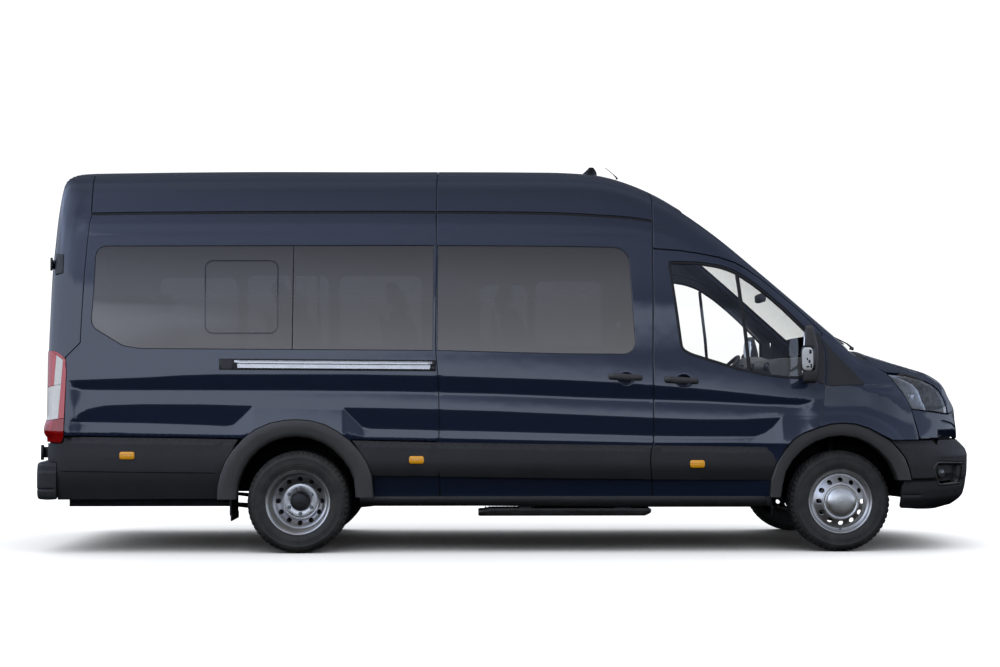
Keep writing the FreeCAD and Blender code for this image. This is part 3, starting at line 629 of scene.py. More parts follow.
# =====================================================================================
# 5. materials
# =====================================================================================
class Mat:
    """A node material under construction."""

    def __init__(self, name):
        self.m = bpy.data.materials.new(name)
        self.m.use_nodes = True
        self.t = self.m.node_tree
        self.t.nodes.clear()
        self.out = self.t.nodes.new("ShaderNodeOutputMaterial")
        self.co = None

    def add(self, kind, _out=None, _props=None, **ins):
        n = self.t.nodes.new(kind)
        for k, v in (_props or {}).items():
            setattr(n, k, v)
        for k, v in ins.items():
            k = k.replace("_", " ")
            s = n.inputs[int(k[1:])] if k[0] == "i" and k[1:].isdigit() else n.inputs[k]
            self.put(s, v)
        return n.outputs[_out] if _out is not None else n

    def put(self, s, v):
        if isinstance(v, bpy.types.NodeSocket):
            self.t.links.new(v, s)
        elif isinstance(v, (tuple, list)) and len(v) == 3 and s.type == "RGBA":
            s.default_value = (*v, 1.0)
        else:
            s.default_value = v

    def place(self, scale=(1, 1, 1)):
        if self.co is None:
            self.co = self.add("ShaderNodeTexCoord", "Object")
        if scale == (1, 1, 1):
            return self.co
        return self.add("ShaderNodeMapping", "Vector", Vector=self.co, Scale=scale)

    def noise(self, scale, detail=3.0, rough=0.55, at=None, out=0, dist=0.0):
        return self.add("ShaderNodeTexNoise", out, Vector=at if at is not None else self.place(), Scale=scale, Detail=detail,
                        Roughness=rough, Distortion=dist)

    def cells(self, scale, at=None, feature="F1", out="Distance", rand=1.0):
        return self.add("ShaderNodeTexVoronoi", out, {"feature": feature}, Vector=at if at is not None else self.place(),
                        Scale=scale, Randomness=rand)

    def ramp(self, f, a, b, lo=0.0, hi=1.0, smooth=True):
        return self.add("ShaderNodeMapRange", 0, {"interpolation_type": "SMOOTHSTEP" if smooth else "LINEAR"}, Value=f,
                        From_Min=a, From_Max=b, To_Min=lo, To_Max=hi)

    def math(self, op, a, b=0.0):
        return self.add("ShaderNodeMath", 0, {"operation": op}, i0=a, i1=b)

    def mix(self, f, a, b):
        n = self.t.nodes.new("ShaderNodeMix")
        n.data_type = "RGBA"
        self.put(n.inputs[0], f)
        self.put(n.inputs[6], a if isinstance(a, bpy.types.NodeSocket) else (*a, 1.0))
        self.put(n.inputs[7], b if isinstance(b, bpy.types.NodeSocket) else (*b, 1.0))
        return n.outputs[2]

    def bump(self, h, strength, distance, normal=None):
        ins = dict(Height=h, Strength=strength, Distance=distance)
        n = self.add("ShaderNodeBump", **ins)
        if normal is not None:
            self.put(n.inputs["Normal"], normal)
        return n.outputs[0]

    def axis(self, i):
        return self.add("ShaderNodeSeparateXYZ", i, Vector=self.place())

    def principled(self, **ins):
        n = self.add("ShaderNodeBsdfPrincipled")
        for k, v in ins.items():
            self.put(n.inputs[k.replace("_", " ")], v)
        return n.outputs[0]

    def done(self, shader):
        self.t.links.new(shader, self.out.inputs["Surface"])
        return self.m


def up(m):
    """How far the surface faces up, -1 to 1."""
    g = m.add("ShaderNodeNewGeometry", "Normal")
    return m.add("ShaderNodeSeparateXYZ", 2, Vector=g)


def paint(name="navy_paint"):
    m = Mat(name)
    flake = m.cells(2600.0, out="Color")
    fl = m.add("ShaderNodeSeparateColor", 0, Color=flake)
    spark = m.ramp(fl, 0.80, 1.0)
    base = m.mix(spark, (0.0048, 0.0104, 0.0310), (0.015, 0.029, 0.072))
    dust = m.math("MULTIPLY", m.noise(3.1, 6, 0.62), m.ramp(m.axis(2), 0.35, 1.25, 1.0, 0.25))
    dust = m.ramp(dust, 0.28, 0.62, 0.0, 0.12)
    base = m.mix(dust, base, (0.020, 0.020, 0.024))
    peel = m.noise(420.0, 2, 0.5)
    wave = m.noise(9.0, 1, 0.4)
    b = m.bump(peel, 0.012, 0.0006)
    b = m.bump(wave, 0.10, 0.0016, b)
    return m.done(m.principled(Base_Color=base, Roughness=0.42, IOR=1.5, Specular_IOR_Level=0.28, Metallic=0.0, Coat_Weight=1.0,
                               Coat_Roughness=0.03, Coat_IOR=1.5, Normal=b, Coat_Normal=b))


def inner_paint(name="navy_paint_inside"):
    m = Mat(name)
    b = m.bump(m.noise(300.0, 3), 0.05, 0.0005)
    c = m.mix(m.ramp(m.noise(7.0, 4), 0.35, 0.7), (0.060, 0.061, 0.064), (0.090, 0.091, 0.095))
    return m.done(m.principled(Base_Color=c, Roughness=0.5, Coat_Weight=0.3, Coat_Roughness=0.3, Normal=b))


def plastic(name, dark=(0.016, 0.0165, 0.018), light=(0.030, 0.031, 0.034), rough=0.5, grain=900.0, depth=0.00035, fade_and_top_light=0.35,
            spec=0.5):
    m = Mat(name)
    g = m.cells(grain)
    n = m.noise(grain * 0.6, 3, 0.6)
    h = m.math("ADD", m.math("MULTIPLY", g, 0.7), m.math("MULTIPLY", n, 0.5))
    b = m.bump(h, 0.35, depth)
    # colour from dark to light: random fading from noise (fade) plus painted top light, with faces that look up painted
    # lighter (face)
    fade = m.ramp(m.noise(4.0, 5, 0.6), 0.3, 0.75)
    face = m.ramp(up(m), -0.1, 0.8)
    c = m.mix(m.math("MULTIPLY", m.math("ADD", m.math("MULTIPLY", fade, 0.6), m.math("MULTIPLY", face, 0.5)), fade_and_top_light * 2), dark,
              light)
    r = m.ramp(m.noise(60.0, 4, 0.6), 0.3, 0.7, rough - 0.06, rough + 0.08)
    return m.done(m.principled(Base_Color=c, Roughness=r, Specular_IOR_Level=spec, Normal=b))


def rubber(name="tyre_rubber"):
    m = Mat(name)
    d = m.ramp(m.noise(11.0, 6, 0.65), 0.35, 0.72)
    c = m.mix(d, (0.022, 0.0222, 0.0225), (0.048, 0.0475, 0.046))
    b = m.bump(m.noise(900.0, 4, 0.6), 0.30, 0.0003)
    return m.done(m.principled(Base_Color=c, Roughness=m.ramp(d, 0, 1, 0.55, 0.72), Specular_IOR_Level=0.4, Normal=b))


def metal(name, c0, c1, rough, scale=30.0, grain=700.0, depth=0.0002, metallic=1.0, dirt=0.0, coat=0.0):
    m = Mat(name)
    n = m.ramp(m.noise(scale, 5, 0.62), 0.3, 0.72)
    c = m.mix(n, c0, c1)
    if dirt:
        k = m.ramp(m.noise(scale * 0.4, 6, 0.7), 0.5, 0.75, 0.0, dirt)
        c = m.mix(k, c, (0.035, 0.028, 0.022))
        met = m.ramp(k, 0, 1, metallic, metallic * 0.3)
    else:
        met = metallic
    b = m.bump(m.noise(grain, 3, 0.6), 0.3, depth)
    return m.done(m.principled(Base_Color=c, Metallic=met, Roughness=m.ramp(n, 0, 1, rough * 0.85, rough * 1.2), Normal=b,
                               Coat_Weight=coat, Coat_Roughness=0.1))


def glass(name, tint, body=0.0, through=1.0, rough=0.0, dirt=0.04, painted_reflection_grade=None):
    """Thin pane: a clear coat of reflection over a tinted see-through film. Given a height grade, a light grey haze is
    mixed in, strongest low on the pane: a painted reflection.
    """
    m = Mat(name)
    n = m.ramp(m.noise(5.0, 6, 0.65), 0.45, 0.85, 0.0, dirt)
    film = m.add("ShaderNodeBsdfTransparent", 0, Color=tint)
    # the haze is dark grey dirt on plain glass; with a height grade it is light grey and stands for a painted
    # reflection
    haze = m.add("ShaderNodeBsdfDiffuse", 0, Color=(0.10, 0.105, 0.11) if painted_reflection_grade is None else (0.63, 0.615, 0.615))
    amount = m.math("ADD", n, body)
    # painted reflection: the light haze is strongest at the pane's lower edge and thins upwards, with a little dirt
    # from noise on top
    if painted_reflection_grade is not None:
        amount = m.math("ADD", m.ramp(m.axis(2), painted_reflection_grade[0], painted_reflection_grade[1], painted_reflection_grade[2], painted_reflection_grade[3], False), m.math(
            "MULTIPLY", n, 0.2))
    body_ = m.add("ShaderNodeMixShader", 0, i0=amount, i1=film, i2=haze)
    wav = m.bump(m.noise(2.3, 1, 0.4), 0.10, 0.004)
    gl = m.add("ShaderNodeBsdfGlossy", 0, Color=(1, 1, 1), Roughness=0.004, Normal=wav)
    fr = m.add("ShaderNodeFresnel", 0, IOR=1.52, Normal=wav)
    geo = m.add("ShaderNodeNewGeometry", "Backfacing")
    fr = m.math("MULTIPLY", fr, m.ramp(geo, 0, 1, 1.0, 0.25, False))
    return m.done(m.add("ShaderNodeMixShader", 0, i0=fr, i1=body_, i2=gl))


def lens(name, tint, deep=0.85, rough=0.05, ribs=0.0, transmit=True):
    """Moulded lamp lens."""
    m = Mat(name)
    n = m.noise(40.0, 3, 0.5)
    b = m.bump(n, 0.05, 0.0006)
    if ribs:
        w = m.add("ShaderNodeTexWave", 0, {"bands_direction": "Z"}, Vector=m.place(), Scale=ribs, Distortion=0.0)
        b = m.bump(w, 0.25, 0.0008, b)
    film = m.add("ShaderNodeBsdfTransparent", 0, Color=tint)
    haze = m.principled(Base_Color=tint, Roughness=0.25, Normal=b, Subsurface_Weight=0.0)
    mixb = m.add("ShaderNodeMixShader", 0, i0=m.ramp(n, 0.3, 0.8, 1 - deep, 1 - deep + 0.06), i1=film, i2=haze)
    gl = m.add("ShaderNodeBsdfGlossy", 0, Color=(1, 1, 1), Roughness=rough, Normal=b)
    fr = m.add("ShaderNodeFresnel", 0, IOR=1.49, Normal=b)
    return m.done(m.add("ShaderNodeMixShader", 0, i0=fr, i1=mixb, i2=gl))


def fabric(name="seat_cloth", a=(0.030, 0.032, 0.040), b_=(0.060, 0.064, 0.076), scale=520.0):
    m = Mat(name)
    w1 = m.add("ShaderNodeTexWave", 0, {"bands_direction": "X"}, Vector=m.place(), Scale=scale * 0.5, Distortion=0.6)
    w2 = m.add("ShaderNodeTexWave", 0, {"bands_direction": "Z"}, Vector=m.place(), Scale=scale * 0.5, Distortion=0.6)
    h = m.math("MULTIPLY", w1, w2)
    slub = m.ramp(m.noise(120.0, 4, 0.6), 0.3, 0.7)
    c = m.mix(m.math("MULTIPLY", m.math("ADD", h, slub), 0.5), a, b_)
    bb = m.bump(h, 0.5, 0.0006)
    bb = m.bump(m.noise(900.0, 2), 0.3, 0.0004, bb)
    return m.done(m.principled(Base_Color=c, Roughness=0.92, Sheen_Weight=0.5, Sheen_Roughness=0.4, Specular_IOR_Level=0.2,
                               Normal=bb))


M = {}
M["paint"] = paint()
M["paint_in"] = inner_paint()
M["clad"] = plastic("textured_grey_plastic", (0.0135, 0.0138, 0.0155), (0.0245, 0.025, 0.028), 0.47, 750.0, 0.0004, spec=0.43)
M["black"] = plastic("fine_black_plastic", (0.0085, 0.0086, 0.0092), (0.017, 0.0172, 0.019), 0.42, 1300.0, 0.0002)
M["gloss"] = plastic("gloss_black", (0.004, 0.004, 0.0045), (0.0065, 0.0066, 0.007), 0.12, 2500.0, 0.00003)
M["seal"] = plastic("window_seal_rubber", (0.006, 0.006, 0.0065), (0.010, 0.010, 0.011), 0.45, 1500.0, 0.0001, spec=0.35)
M["flare"] = plastic("arch_plastic", (0.036, 0.0362, 0.0375), (0.060, 0.0605, 0.063), 0.50, 700.0, 0.0004)
M["mirror_back"] = plastic("mirror_plastic", (0.032, 0.032, 0.034), (0.050, 0.0505, 0.054), 0.45, 900.0, 0.0003)
M["tyre"] = rubber()
M["rim"] = metal("silver_wheel_steel", (0.43, 0.42, 0.405), (0.53, 0.52, 0.50), 0.33, 9.0, 900.0, 0.00002, 0.85, 0.18)
M["cap"] = metal("silver_cap", (0.61, 0.60, 0.58), (0.69, 0.68, 0.66), 0.30, 9.0, 900.0, 0.00001, 0.8, 0.03)
M["nut"] = metal("nut_steel", (0.20, 0.20, 0.205), (0.30, 0.30, 0.30), 0.38, 90.0, 900.0, 0.0003, 0.9, 0.3)
M["dark_metal"] = metal("chassis_coat", (0.012, 0.012, 0.013), (0.022, 0.021, 0.020), 0.55, 12.0, 500.0, 0.0006, 0.1, 0.35)
M["cast"] = metal("cast_iron", (0.05, 0.046, 0.042), (0.09, 0.082, 0.075), 0.6, 25.0, 300.0, 0.001, 0.5, 0.5)
M["exhaust"] = metal("exhaust_steel", (0.22, 0.20, 0.18), (0.34, 0.31, 0.28), 0.42, 20.0, 400.0, 0.0004, 0.9, 0.6)
M["chrome"] = metal("bright_trim", (0.66, 0.67, 0.69), (0.74, 0.75, 0.77), 0.10, 25.0, 1500.0, 0.00004, 1.0)
M["disc"] = metal("brake_disc", (0.30, 0.29, 0.28), (0.40, 0.39, 0.38), 0.33, 40.0, 500.0, 0.0002, 0.95, 0.4)
M["reflector"] = metal("lamp_reflector", (0.80, 0.81, 0.82), (0.88, 0.88, 0.89), 0.09, 12.0, 900.0, 0.00002, 1.0)
M["mirror"] = metal("mirror_glass", (0.80, 0.81, 0.82), (0.84, 0.85, 0.86), 0.02, 3.0, 200.0, 0.00001, 1.0)
# privacy glass with a painted reflection: a light grey haze graded by height, strongest at the lower edge of each pane
M["privacy"] = glass("privacy_glass", (0.36, 0.37, 0.395), 0.006, painted_reflection_grade=(1.36, 2.15, 0.29, 0.085))
M["clear"] = glass("clear_glass", (0.985, 0.992, 0.988), 0.0, dirt=0.02)
M["screen"] = glass("windscreen_glass", (0.975, 0.985, 0.978), 0.0, dirt=0.02)
M["frit"] = plastic("glass_frit", (0.0035, 0.0035, 0.004), (0.006, 0.006, 0.0065), 0.08, 3000.0, 0.00002)
M["red"] = lens("red_lens", (0.62, 0.006, 0.008), 0.55, 0.06, 14.0)
M["pink"] = lens("red_lens_rim", (0.74, 0.055, 0.065), 0.30, 0.08)
M["clear_lens"] = lens("clear_lens", (0.94, 0.95, 0.95), 0.975, 0.03)
M["white_lens"] = lens("white_lens", (0.97, 0.98, 0.98), 0.22, 0.06, 16.0)
M["housing"] = plastic("lamp_housing", (0.075, 0.078, 0.08), (0.12, 0.124, 0.128), 0.35, 1500.0, 0.0002)
M["amber"] = lens("amber_lens", (1.0, 0.46, 0.015), 0.03, 0.12, 20.0)
M["lamp_dark"] = plastic("lamp_bezel", (0.030, 0.031, 0.034), (0.052, 0.053, 0.057), 0.35, 1500.0, 0.0002)
M["lamp_white"] = plastic("lamp_light_guide", (0.60, 0.63, 0.68), (0.74, 0.77, 0.81), 0.18, 600.0, 0.0003)
M["rail"] = metal("rail_steel", (0.52, 0.505, 0.480), (0.57, 0.555, 0.530), 0.30, 20.0, 1200.0, 0.00001, 0.9)
M["seat"] = fabric()
M["seat_side"] = fabric("seat_cloth_plain", (0.022, 0.023, 0.028), (0.036, 0.038, 0.045), 700.0)
M["headliner"] = fabric("headliner", (0.20, 0.20, 0.195), (0.27, 0.27, 0.265), 300.0)
M["trim"] = plastic("cabin_plastic", (0.11, 0.112, 0.118), (0.16, 0.162, 0.17), 0.55, 900.0, 0.0003)
M["trim_dark"] = plastic("cabin_plastic_dark", (0.022, 0.022, 0.025), (0.036, 0.037, 0.041), 0.5, 900.0, 0.0003)
M["floor"] = plastic("floor_vinyl", (0.05, 0.051, 0.055), (0.085, 0.086, 0.092), 0.55, 260.0, 0.0006)
M["plate"] = plastic("blank_plate", (0.62, 0.62, 0.60), (0.72, 0.72, 0.70), 0.35, 2000.0, 0.00005, fade_and_top_light=0.5)
M["step_dark"] = metal("step_black_coat", (0.020, 0.020, 0.021), (0.034, 0.034, 0.035), 0.42, 25.0, 500.0, 0.0003, 0.1, 0.2)
M["step"] = metal("step_aluminium", (0.10, 0.10, 0.105), (0.16, 0.16, 0.165), 0.45, 25.0, 500.0, 0.0003, 0.7, 0.2)


# =====================================================================================
# 6. the shape of every painted panel (x, z seen from the side unless it says otherwise)
# =====================================================================================
P = [M["paint"], M["paint_in"]]


def put(ob, body="body", replaced=(), slot=None):
    """Says which moving body a piece belongs to and which CAD nodes it stands for."""
    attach(ob, body)
    if replaced:
        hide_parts(*replaced)
    return ob


def line_pts(pts, step=0.02):
    return dense(np.array(pts, float), step, False)


def from_side(pts, dom, step=0.02):
    return dom.back(Side.at(line_pts(pts, step)))


def from_top(pts, dom, step=0.02):
    return dom.back(Top.at(line_pts(pts, step)))


def from_rear(pts, dom, step=0.02):
    return dom.back(Rear.at(line_pts(pts, step)))


def flip_y(uv, dom):
    """The same outline points on the left side, in order from the last to the first."""
    if dom is Girth:
        r = np.stack([uv[:, 0], math.pi - uv[:, 1]], 1)
    elif dom in (Star, Tail):
        r = np.stack([-uv[:, 0], uv[:, 1]], 1)
    elif dom is Top:
        r = np.stack([uv[:, 0], -uv[:, 1]], 1)
    else:
        r = np.stack([-uv[:, 0], uv[:, 1]], 1)
    return r[::-1]


def clean(p, d=0.002):
    keep = [0]
    for i in range(1, len(p)):
        if np.linalg.norm(p[i] - p[keep[-1]]) > d:
            keep.append(i)
    if np.linalg.norm(p[keep[-1]] - p[0]) < d:
        keep.pop()
    return p[keep]


def mesh_grid(us, vs):
    a, b = np.meshgrid(us, vs)
    return np.stack([a.ravel(), b.ravel()], 1)


CUPS = ((0.770, 1.1975), (1.169, 1.1835))


def cup_depth(p):
    """The dished cups behind the two handles."""
    d = np.zeros(len(p))
    for cx, cz in CUPS:
        r = np.hypot((p[:, 0] - cx) / 0.056, (p[:, 2] - cz) / 0.047)
        d = d + 0.024 * (1 - smooth_step(r, 0.42, 1.0))
    return d


def side_grid(x0, x1):
    """Points for the side: rows follow the feature lines, so that each edge stays crisp."""
    xs = np.arange(x0, x1, 0.05)
    rows = []
    for f, offs in ((line_a, (-0.016, -0.006, 0.0, 0.006, 0.018)), (line_b, (-0.018, -0.007, 0.0, 0.007, 0.016)),
                    (line_c, (-0.016, -0.006, 0.0, 0.006, 0.018)), (line_d, (-0.018, -0.007, 0.0, 0.007, 0.016)),
                    (line_e, (-0.012, -0.004, 0.004, 0.012)), (line_f, (0.0,))):
        for o in offs:
            rows.append(np.stack([xs, f(xs) + o], 1))
    for o in (-0.10, -0.068, -0.048, -0.040, -0.033, -0.027, -0.020, -0.012):
        rows.append(np.stack([xs, gutter(xs) + o], 1))
    for z in [0.40, 0.44, 0.48, 0.50, 0.52, 0.58, 0.66, 0.90, 1.3, 1.35, 1.42, 1.5, 1.58, 1.66, 1.74, 1.82, 1.9, 1.98, 2.06, 2.14,
              2.20]:
        rows.append(np.stack([xs, np.full(len(xs), z)], 1))
    for f, g in ((line_b, line_c),):
        for t in (0.3, 0.6):
            rows.append(np.stack([xs, f(xs) * (1 - t) + g(xs) * t], 1))
    pts = np.concatenate(rows)
    for xa, xb, za, zb in ((-2.06, -1.76, 0.850, 1.026), (-1.25, -0.98, 0.840, 1.010), (1.58, 1.86, 0.785, 0.940), (1.90, 2.08, 1.012,
                                                                                                      1.056)):
        fine_pts = mesh_grid(np.arange(xa, xb, 0.0085), np.arange(za, zb, 0.0065))
        box = (pts[:, 0] > xa - 0.004) & (pts[:, 0] < xb + 0.004) & (pts[:, 1] > za - 0.003) & (pts[:, 1] < zb + 0.003)
        pts = np.concatenate([pts[~box], fine_pts[(fine_pts[:, 0] > x0) & (fine_pts[:, 0] < x1)]])
    for cx, cz in CUPS:
        if x0 < cx < x1:
            cup_pts = mesh_grid(np.arange(cx - 0.072, cx + 0.072, 0.006), np.arange(cz - 0.060, cz + 0.060, 0.005))
            pts = pts[np.hypot((pts[:, 0] - cx) / 0.072, (pts[:, 1] - cz) / 0.060) > 1.0]
            pts = np.concatenate([pts, cup_pts[np.hypot((cup_pts[:, 0] - cx) / 0.072, (cup_pts[:, 1] - cz) / 0.060) < 0.97]])
    order = np.lexsort((pts[:, 1], pts[:, 0]))
    pts = pts[order]
    keep = [0]
    for i in range(1, len(pts)):
        q = pts[keep[-1]]
        if abs(pts[i, 0] - q[0]) > 1e-6 or pts[i, 1] - q[1] > 0.0045:
            keep.append(i)
    return pts[keep]


def gut(x0, x1, d=0.0, n=None):
    xs = np.linspace(x0, x1, n or max(3, int(abs(x1 - x0) / 0.08)))
    return [(float(x), float(gutter(x)) + d) for x in xs]


GUT_UP, GUT_DOWN = 0.006, 0.010
SHUT_REAR = [(-0.540, 2.131), (-0.548, 1.467), (-0.545, 1.384), (-0.537, 1.287), (-0.530, 1.190), (-0.523, 1.053),
             (-0.523, 0.778), (-0.530, 0.757), (-0.540, 0.730), (-0.539, 0.662), (-0.529, 0.573), (-0.522, 0.525),
             (-0.512, 0.385)]
SHUT_FRONT = [(0.963, 2.098), (0.962, 1.747), (0.955, 1.329), (0.957, 1.053), (0.956, 0.756), (0.940, 0.709), (0.933, 0.640),
              (0.936, 0.571), (0.943, 0.516), (0.951, 0.384)]
CORNER = [(-2.943, 2.3385), (-2.952, 2.303), (-2.967, 2.127), (-2.978, 1.917), (-2.987, 1.673), (-2.992, 1.514),
          (-2.992, 1.447), (-3.053, 1.383), (-3.088, 1.348)]
FLARE_R_OUT = [(-2.039, 0.456), (-2.021, 0.540), (-1.988, 0.628), (-1.940, 0.704), (-1.868, 0.785), (-1.786, 0.847),
               (-1.683, 0.892), (-1.580, 0.912), (-1.498, 0.916), (-1.409, 0.909), (-1.306, 0.881), (-1.217, 0.833),
               (-1.134, 0.771), (-1.064, 0.696), (-1.016, 0.621), (-0.982, 0.532), (-0.970, 0.385)]
FLARE_R_IN = [(-1.906, 0.400), (-1.902, 0.456), (-1.891, 0.505), (-1.864, 0.574), (-1.817, 0.649), (-1.749, 0.717),
              (-1.669, 0.765), (-1.580, 0.792), (-1.498, 0.799), (-1.409, 0.789), (-1.326, 0.758), (-1.249, 0.710),
              (-1.181, 0.642), (-1.132, 0.573), (-1.105, 0.505), (-1.094, 0.400)]
FLARE_F_OUT = [(1.758, 0.384), (1.765, 0.502), (1.800, 0.605), (1.856, 0.704), (1.914, 0.776), (1.991, 0.825), (2.095, 0.863),
               (2.179, 0.887), (2.262, 0.894), (2.352, 0.887), (2.442, 0.859), (2.525, 0.814), (2.588, 0.776),
               (2.639, 0.721), (2.694, 0.652), (2.721, 0.577), (2.737, 0.501)]
FLARE_F_IN = [(1.834, 0.382), (1.846, 0.466), (1.869, 0.557), (1.918, 0.639), (1.987, 0.708), (2.074, 0.763), (2.164, 0.794),
              (2.261, 0.804), (2.359, 0.790), (2.449, 0.749), (2.521, 0.694), (2.589, 0.618), (2.630, 0.535), (2.655, 0.450)]
DOOR_TOP = [(0.963, 2.105), (1.155, 2.092), (1.295, 2.071), (1.434, 2.043), (1.539, 2.008), (1.608, 1.972), (1.711, 1.902),
            (1.849, 1.790), (1.985, 1.671), (2.087, 1.573), (2.137, 1.520)]
DOOR_FRONT = [(2.133, 1.469), (2.159, 1.385), (2.158, 1.260), (2.146, 1.156), (2.138, 1.053), (2.120, 0.949),
              (2.106, 0.869)]
LAMP = [(2.590, 1.232), (2.727, 1.222), (2.829, 1.198), (2.923, 1.163), (2.991, 1.121), (3.030, 1.065), (3.047, 1.001),
        (3.053, 0.954), (2.985, 0.961), (2.911, 0.971), (2.830, 0.979), (2.752, 0.986), (2.722, 1.046), (2.690, 1.101),
        (2.643, 1.163)]

QUARTER_WIN = rounded([(-2.905, 2.120, 0.075), (-0.560, 2.129, 0.004), (-0.566, 1.394, 0.004), (-2.585, 1.406, 0.25),
                       (-2.700, 1.425, 0.10), (-2.925, 1.560, 0.09), (-2.910, 1.847, 0.0)], 0.0, 0.03)
SLIDE_WIN = rounded([(-0.535, 2.128, 0.004), (0.317, 2.124, 0.0), (0.795, 2.116, 0.115), (0.842, 1.368, 0.085),
                     (0.312, 1.372, 0.0), (-0.538, 1.394, 0.004)], 0.0, 0.03)
DOOR_WIN = rounded([(1.068, 2.018, 0.03), (1.119, 2.020, 0.0), (1.294, 2.015, 0.3), (1.433, 1.993, 0.3), (1.538, 1.958, 0.3),
                    (1.676, 1.867, 0.4), (1.779, 1.783, 0.0), (1.881, 1.692, 0.0), (2.004, 1.570, 0.0), (2.062, 1.508, 0.02),
                    (2.070, 1.198, 0.02), (1.973, 1.198, 0.0), (1.869, 1.201, 0.3), (1.730, 1.218, 0.4), (1.523, 1.263, 0.4),
                    (1.419, 1.298, 0.4), (1.226, 1.358, 0.2), (1.150, 1.396, 0.09), (1.120, 1.642, 0.0)], 0.0, 0.03)


def flare_part(line, x0, x1):
    return [p for p in line if x0 <= p[0] <= x1]


def side_panels(right):
    """The painted side, built on the right and mirrored for the left."""
    out = {}
    q = (gut(-2.943, -0.548, -GUT_DOWN) + SHUT_REAR[:7] + [(-0.523, 0.764), (-1.114, 0.778)]
         + flare_part(FLARE_R_OUT, -1.87, -1.13)[::-1] + [(-1.888, 0.785), (-2.299, 0.794), (-2.709, 0.799), (-3.084, 0.806),
                                                          (-3.082, 1.245), (-3.090, 1.334)] + CORNER[::-1])
    out["quarter"] = (clean(dense(np.array(q), 0.025)), [QUARTER_WIN])
    d = gut(-0.544, 0.966, -GUT_DOWN) + SHUT_FRONT + SHUT_REAR[::-1]
    out["slide"] = (clean(dense(np.array(d), 0.025)), [SLIDE_WIN])
    return out


def body_side():
    made = {}
    for name, (outer, holes) in side_panels(True).items():
        x0, x1 = outer[:, 0].min(), outer[:, 0].max()
        made[name] = panel("right_" + name, Side, outer, holes, side_grid(x0 + 0.02, x1), thick=0.040, mats=P, hole_gap=0.0,
                           depth=cup_depth if name == "slide" else 0.0)
    return made


SP = body_side()
SP["quarter"].name = "right_rear_side_skin"
SP["slide"].name = "sliding_door_skin"
put(SP["quarter"], "body", ["right_rear_side_panel"], "body_paint")
put(SP["slide"], "body", ["sliding_door"], "body_paint")

# the long blind side: one skin from the tail to the front door
left_outer = (gut(-2.943, 0.966, -GUT_DOWN) + SHUT_FRONT[:5] + [(0.956, 0.743), (-1.114, 0.778)]
              + flare_part(FLARE_R_OUT, -1.87, -1.13)[::-1] + [(-1.888, 0.785), (-2.299, 0.794), (-2.709, 0.799),
                                                               (-3.084, 0.806), (-3.082, 1.245), (-3.090, 1.334)] + CORNER[::-1])
LEFT_WIN = rounded([(-0.500, 2.128, 0.03), (0.317, 2.124, 0.0), (0.795, 2.116, 0.115), (0.842, 1.368, 0.085),
                    (0.312, 1.372, 0.0), (-0.503, 1.392, 0.03)], 0.0, 0.03)
tmp = panel("tmp_left", Side, clean(dense(np.array(left_outer), 0.025)), [QUARTER_WIN, LEFT_WIN], side_grid(-3.08, 0.96),
            thick=0.040, mats=P)
left_skin = mirrored(tmp, "left_side_skin")
bpy.data.objects.remove(tmp)
put(left_skin, "body", ["left_side_panel"], "body_paint")

# front door
door_outer = DOOR_TOP + DOOR_FRONT + flare_part(FLARE_F_OUT, 1.75, 2.096)[::-1] + SHUT_FRONT[::-1]
door_outer = np.array(door_outer)
door_outer[door_outer[:, 0] < 0.97, 0] += 0.003
front_door_skin = panel("front_right_door_skin", Side, clean(dense(door_outer, 0.025)), [DOOR_WIN], side_grid(0.97, 2.17),
                        thick=0.040, mats=P, depth=cup_depth)
front_left_door_skin = mirrored(front_door_skin, "front_left_door_skin")
put(front_door_skin, "front_right_door", ["front_right_door"], "body_paint")
put(front_left_door_skin, "front_left_door", ["front_left_door"], "body_paint")


# roof: rear part, middle part and the front cap with the pillars
def lean(x, ph):
    """Seams across the roof lean back a little as they climb."""
    return x - 0.070 * smooth_step(ph, 0.78, 1.25) * smooth_step(-x, 1.5, 2.9)


def girth_edge(x, z_low, n=26):
    """From the side's lower edge up to the middle of the roof at one x."""
    p0 = Girth.back(Side.at(np.array([[x, z_low]])))[0]
    ph = np.linspace(p0[1], math.pi / 2, n)
    return np.stack([lean(x, ph), ph], 1)


def roof_piece(name, x0, x1, mats=P):
    low = Girth.back(Side.at(np.array(gut(x0, x1, GUT_UP, int((x1 - x0) / 0.025)))))
    right = np.concatenate([girth_edge(x0, gutter(x0) + GUT_UP)[::-1], low[1:-1], girth_edge(x1, gutter(x1) + GUT_UP)])
    outer = clean(np.concatenate([right, flip_y(right, Girth)[1:-1]]))
    us = np.arange(x0 - 0.07, x1, 0.055)
    vs = np.concatenate([np.linspace(0.70, 1.25, 22), np.linspace(1.27, math.pi - 1.27, 22), np.linspace(math.pi - 1.25,
                                                                                                        math.pi - 0.70, 22)])
    return panel(name, Girth, outer, (), mesh_grid(us, vs), thick=0.036, mats=mats, lip=0.0025, gap=0.0010)


roof_rear = roof_piece("roof_skin_rear", -2.943, -0.546)
roof_mid = roof_piece("roof_skin_middle", -0.542, 0.965)
put(roof_rear, "body", ["roof"], "body_paint")
put(roof_mid, "body", ["roof"], "body_paint")


def header(y):
    return 1.29 - 0.30 * y * y


def screen_side(x):
    return np.interp(x, [1.10, 1.7, 2.38], [0.735, 0.775, 0.835])


def screen_foot(y):
    return 2.44 - 0.15 * y * y


def bonnet_rear(y):
    return 2.545 - 0.075 * y * y


ys = np.linspace(0, 0.735, 16)
head_line = np.stack([header(ys), -ys], 1)
xs = np.linspace(header(0.735), 2.345, 26)[1:]
edge_line = np.stack([xs, -screen_side(xs)], 1)
PILLAR_FOOT = [(2.141, 1.520), (2.20, 1.476), (2.30, 1.41), (2.345, 1.385)]


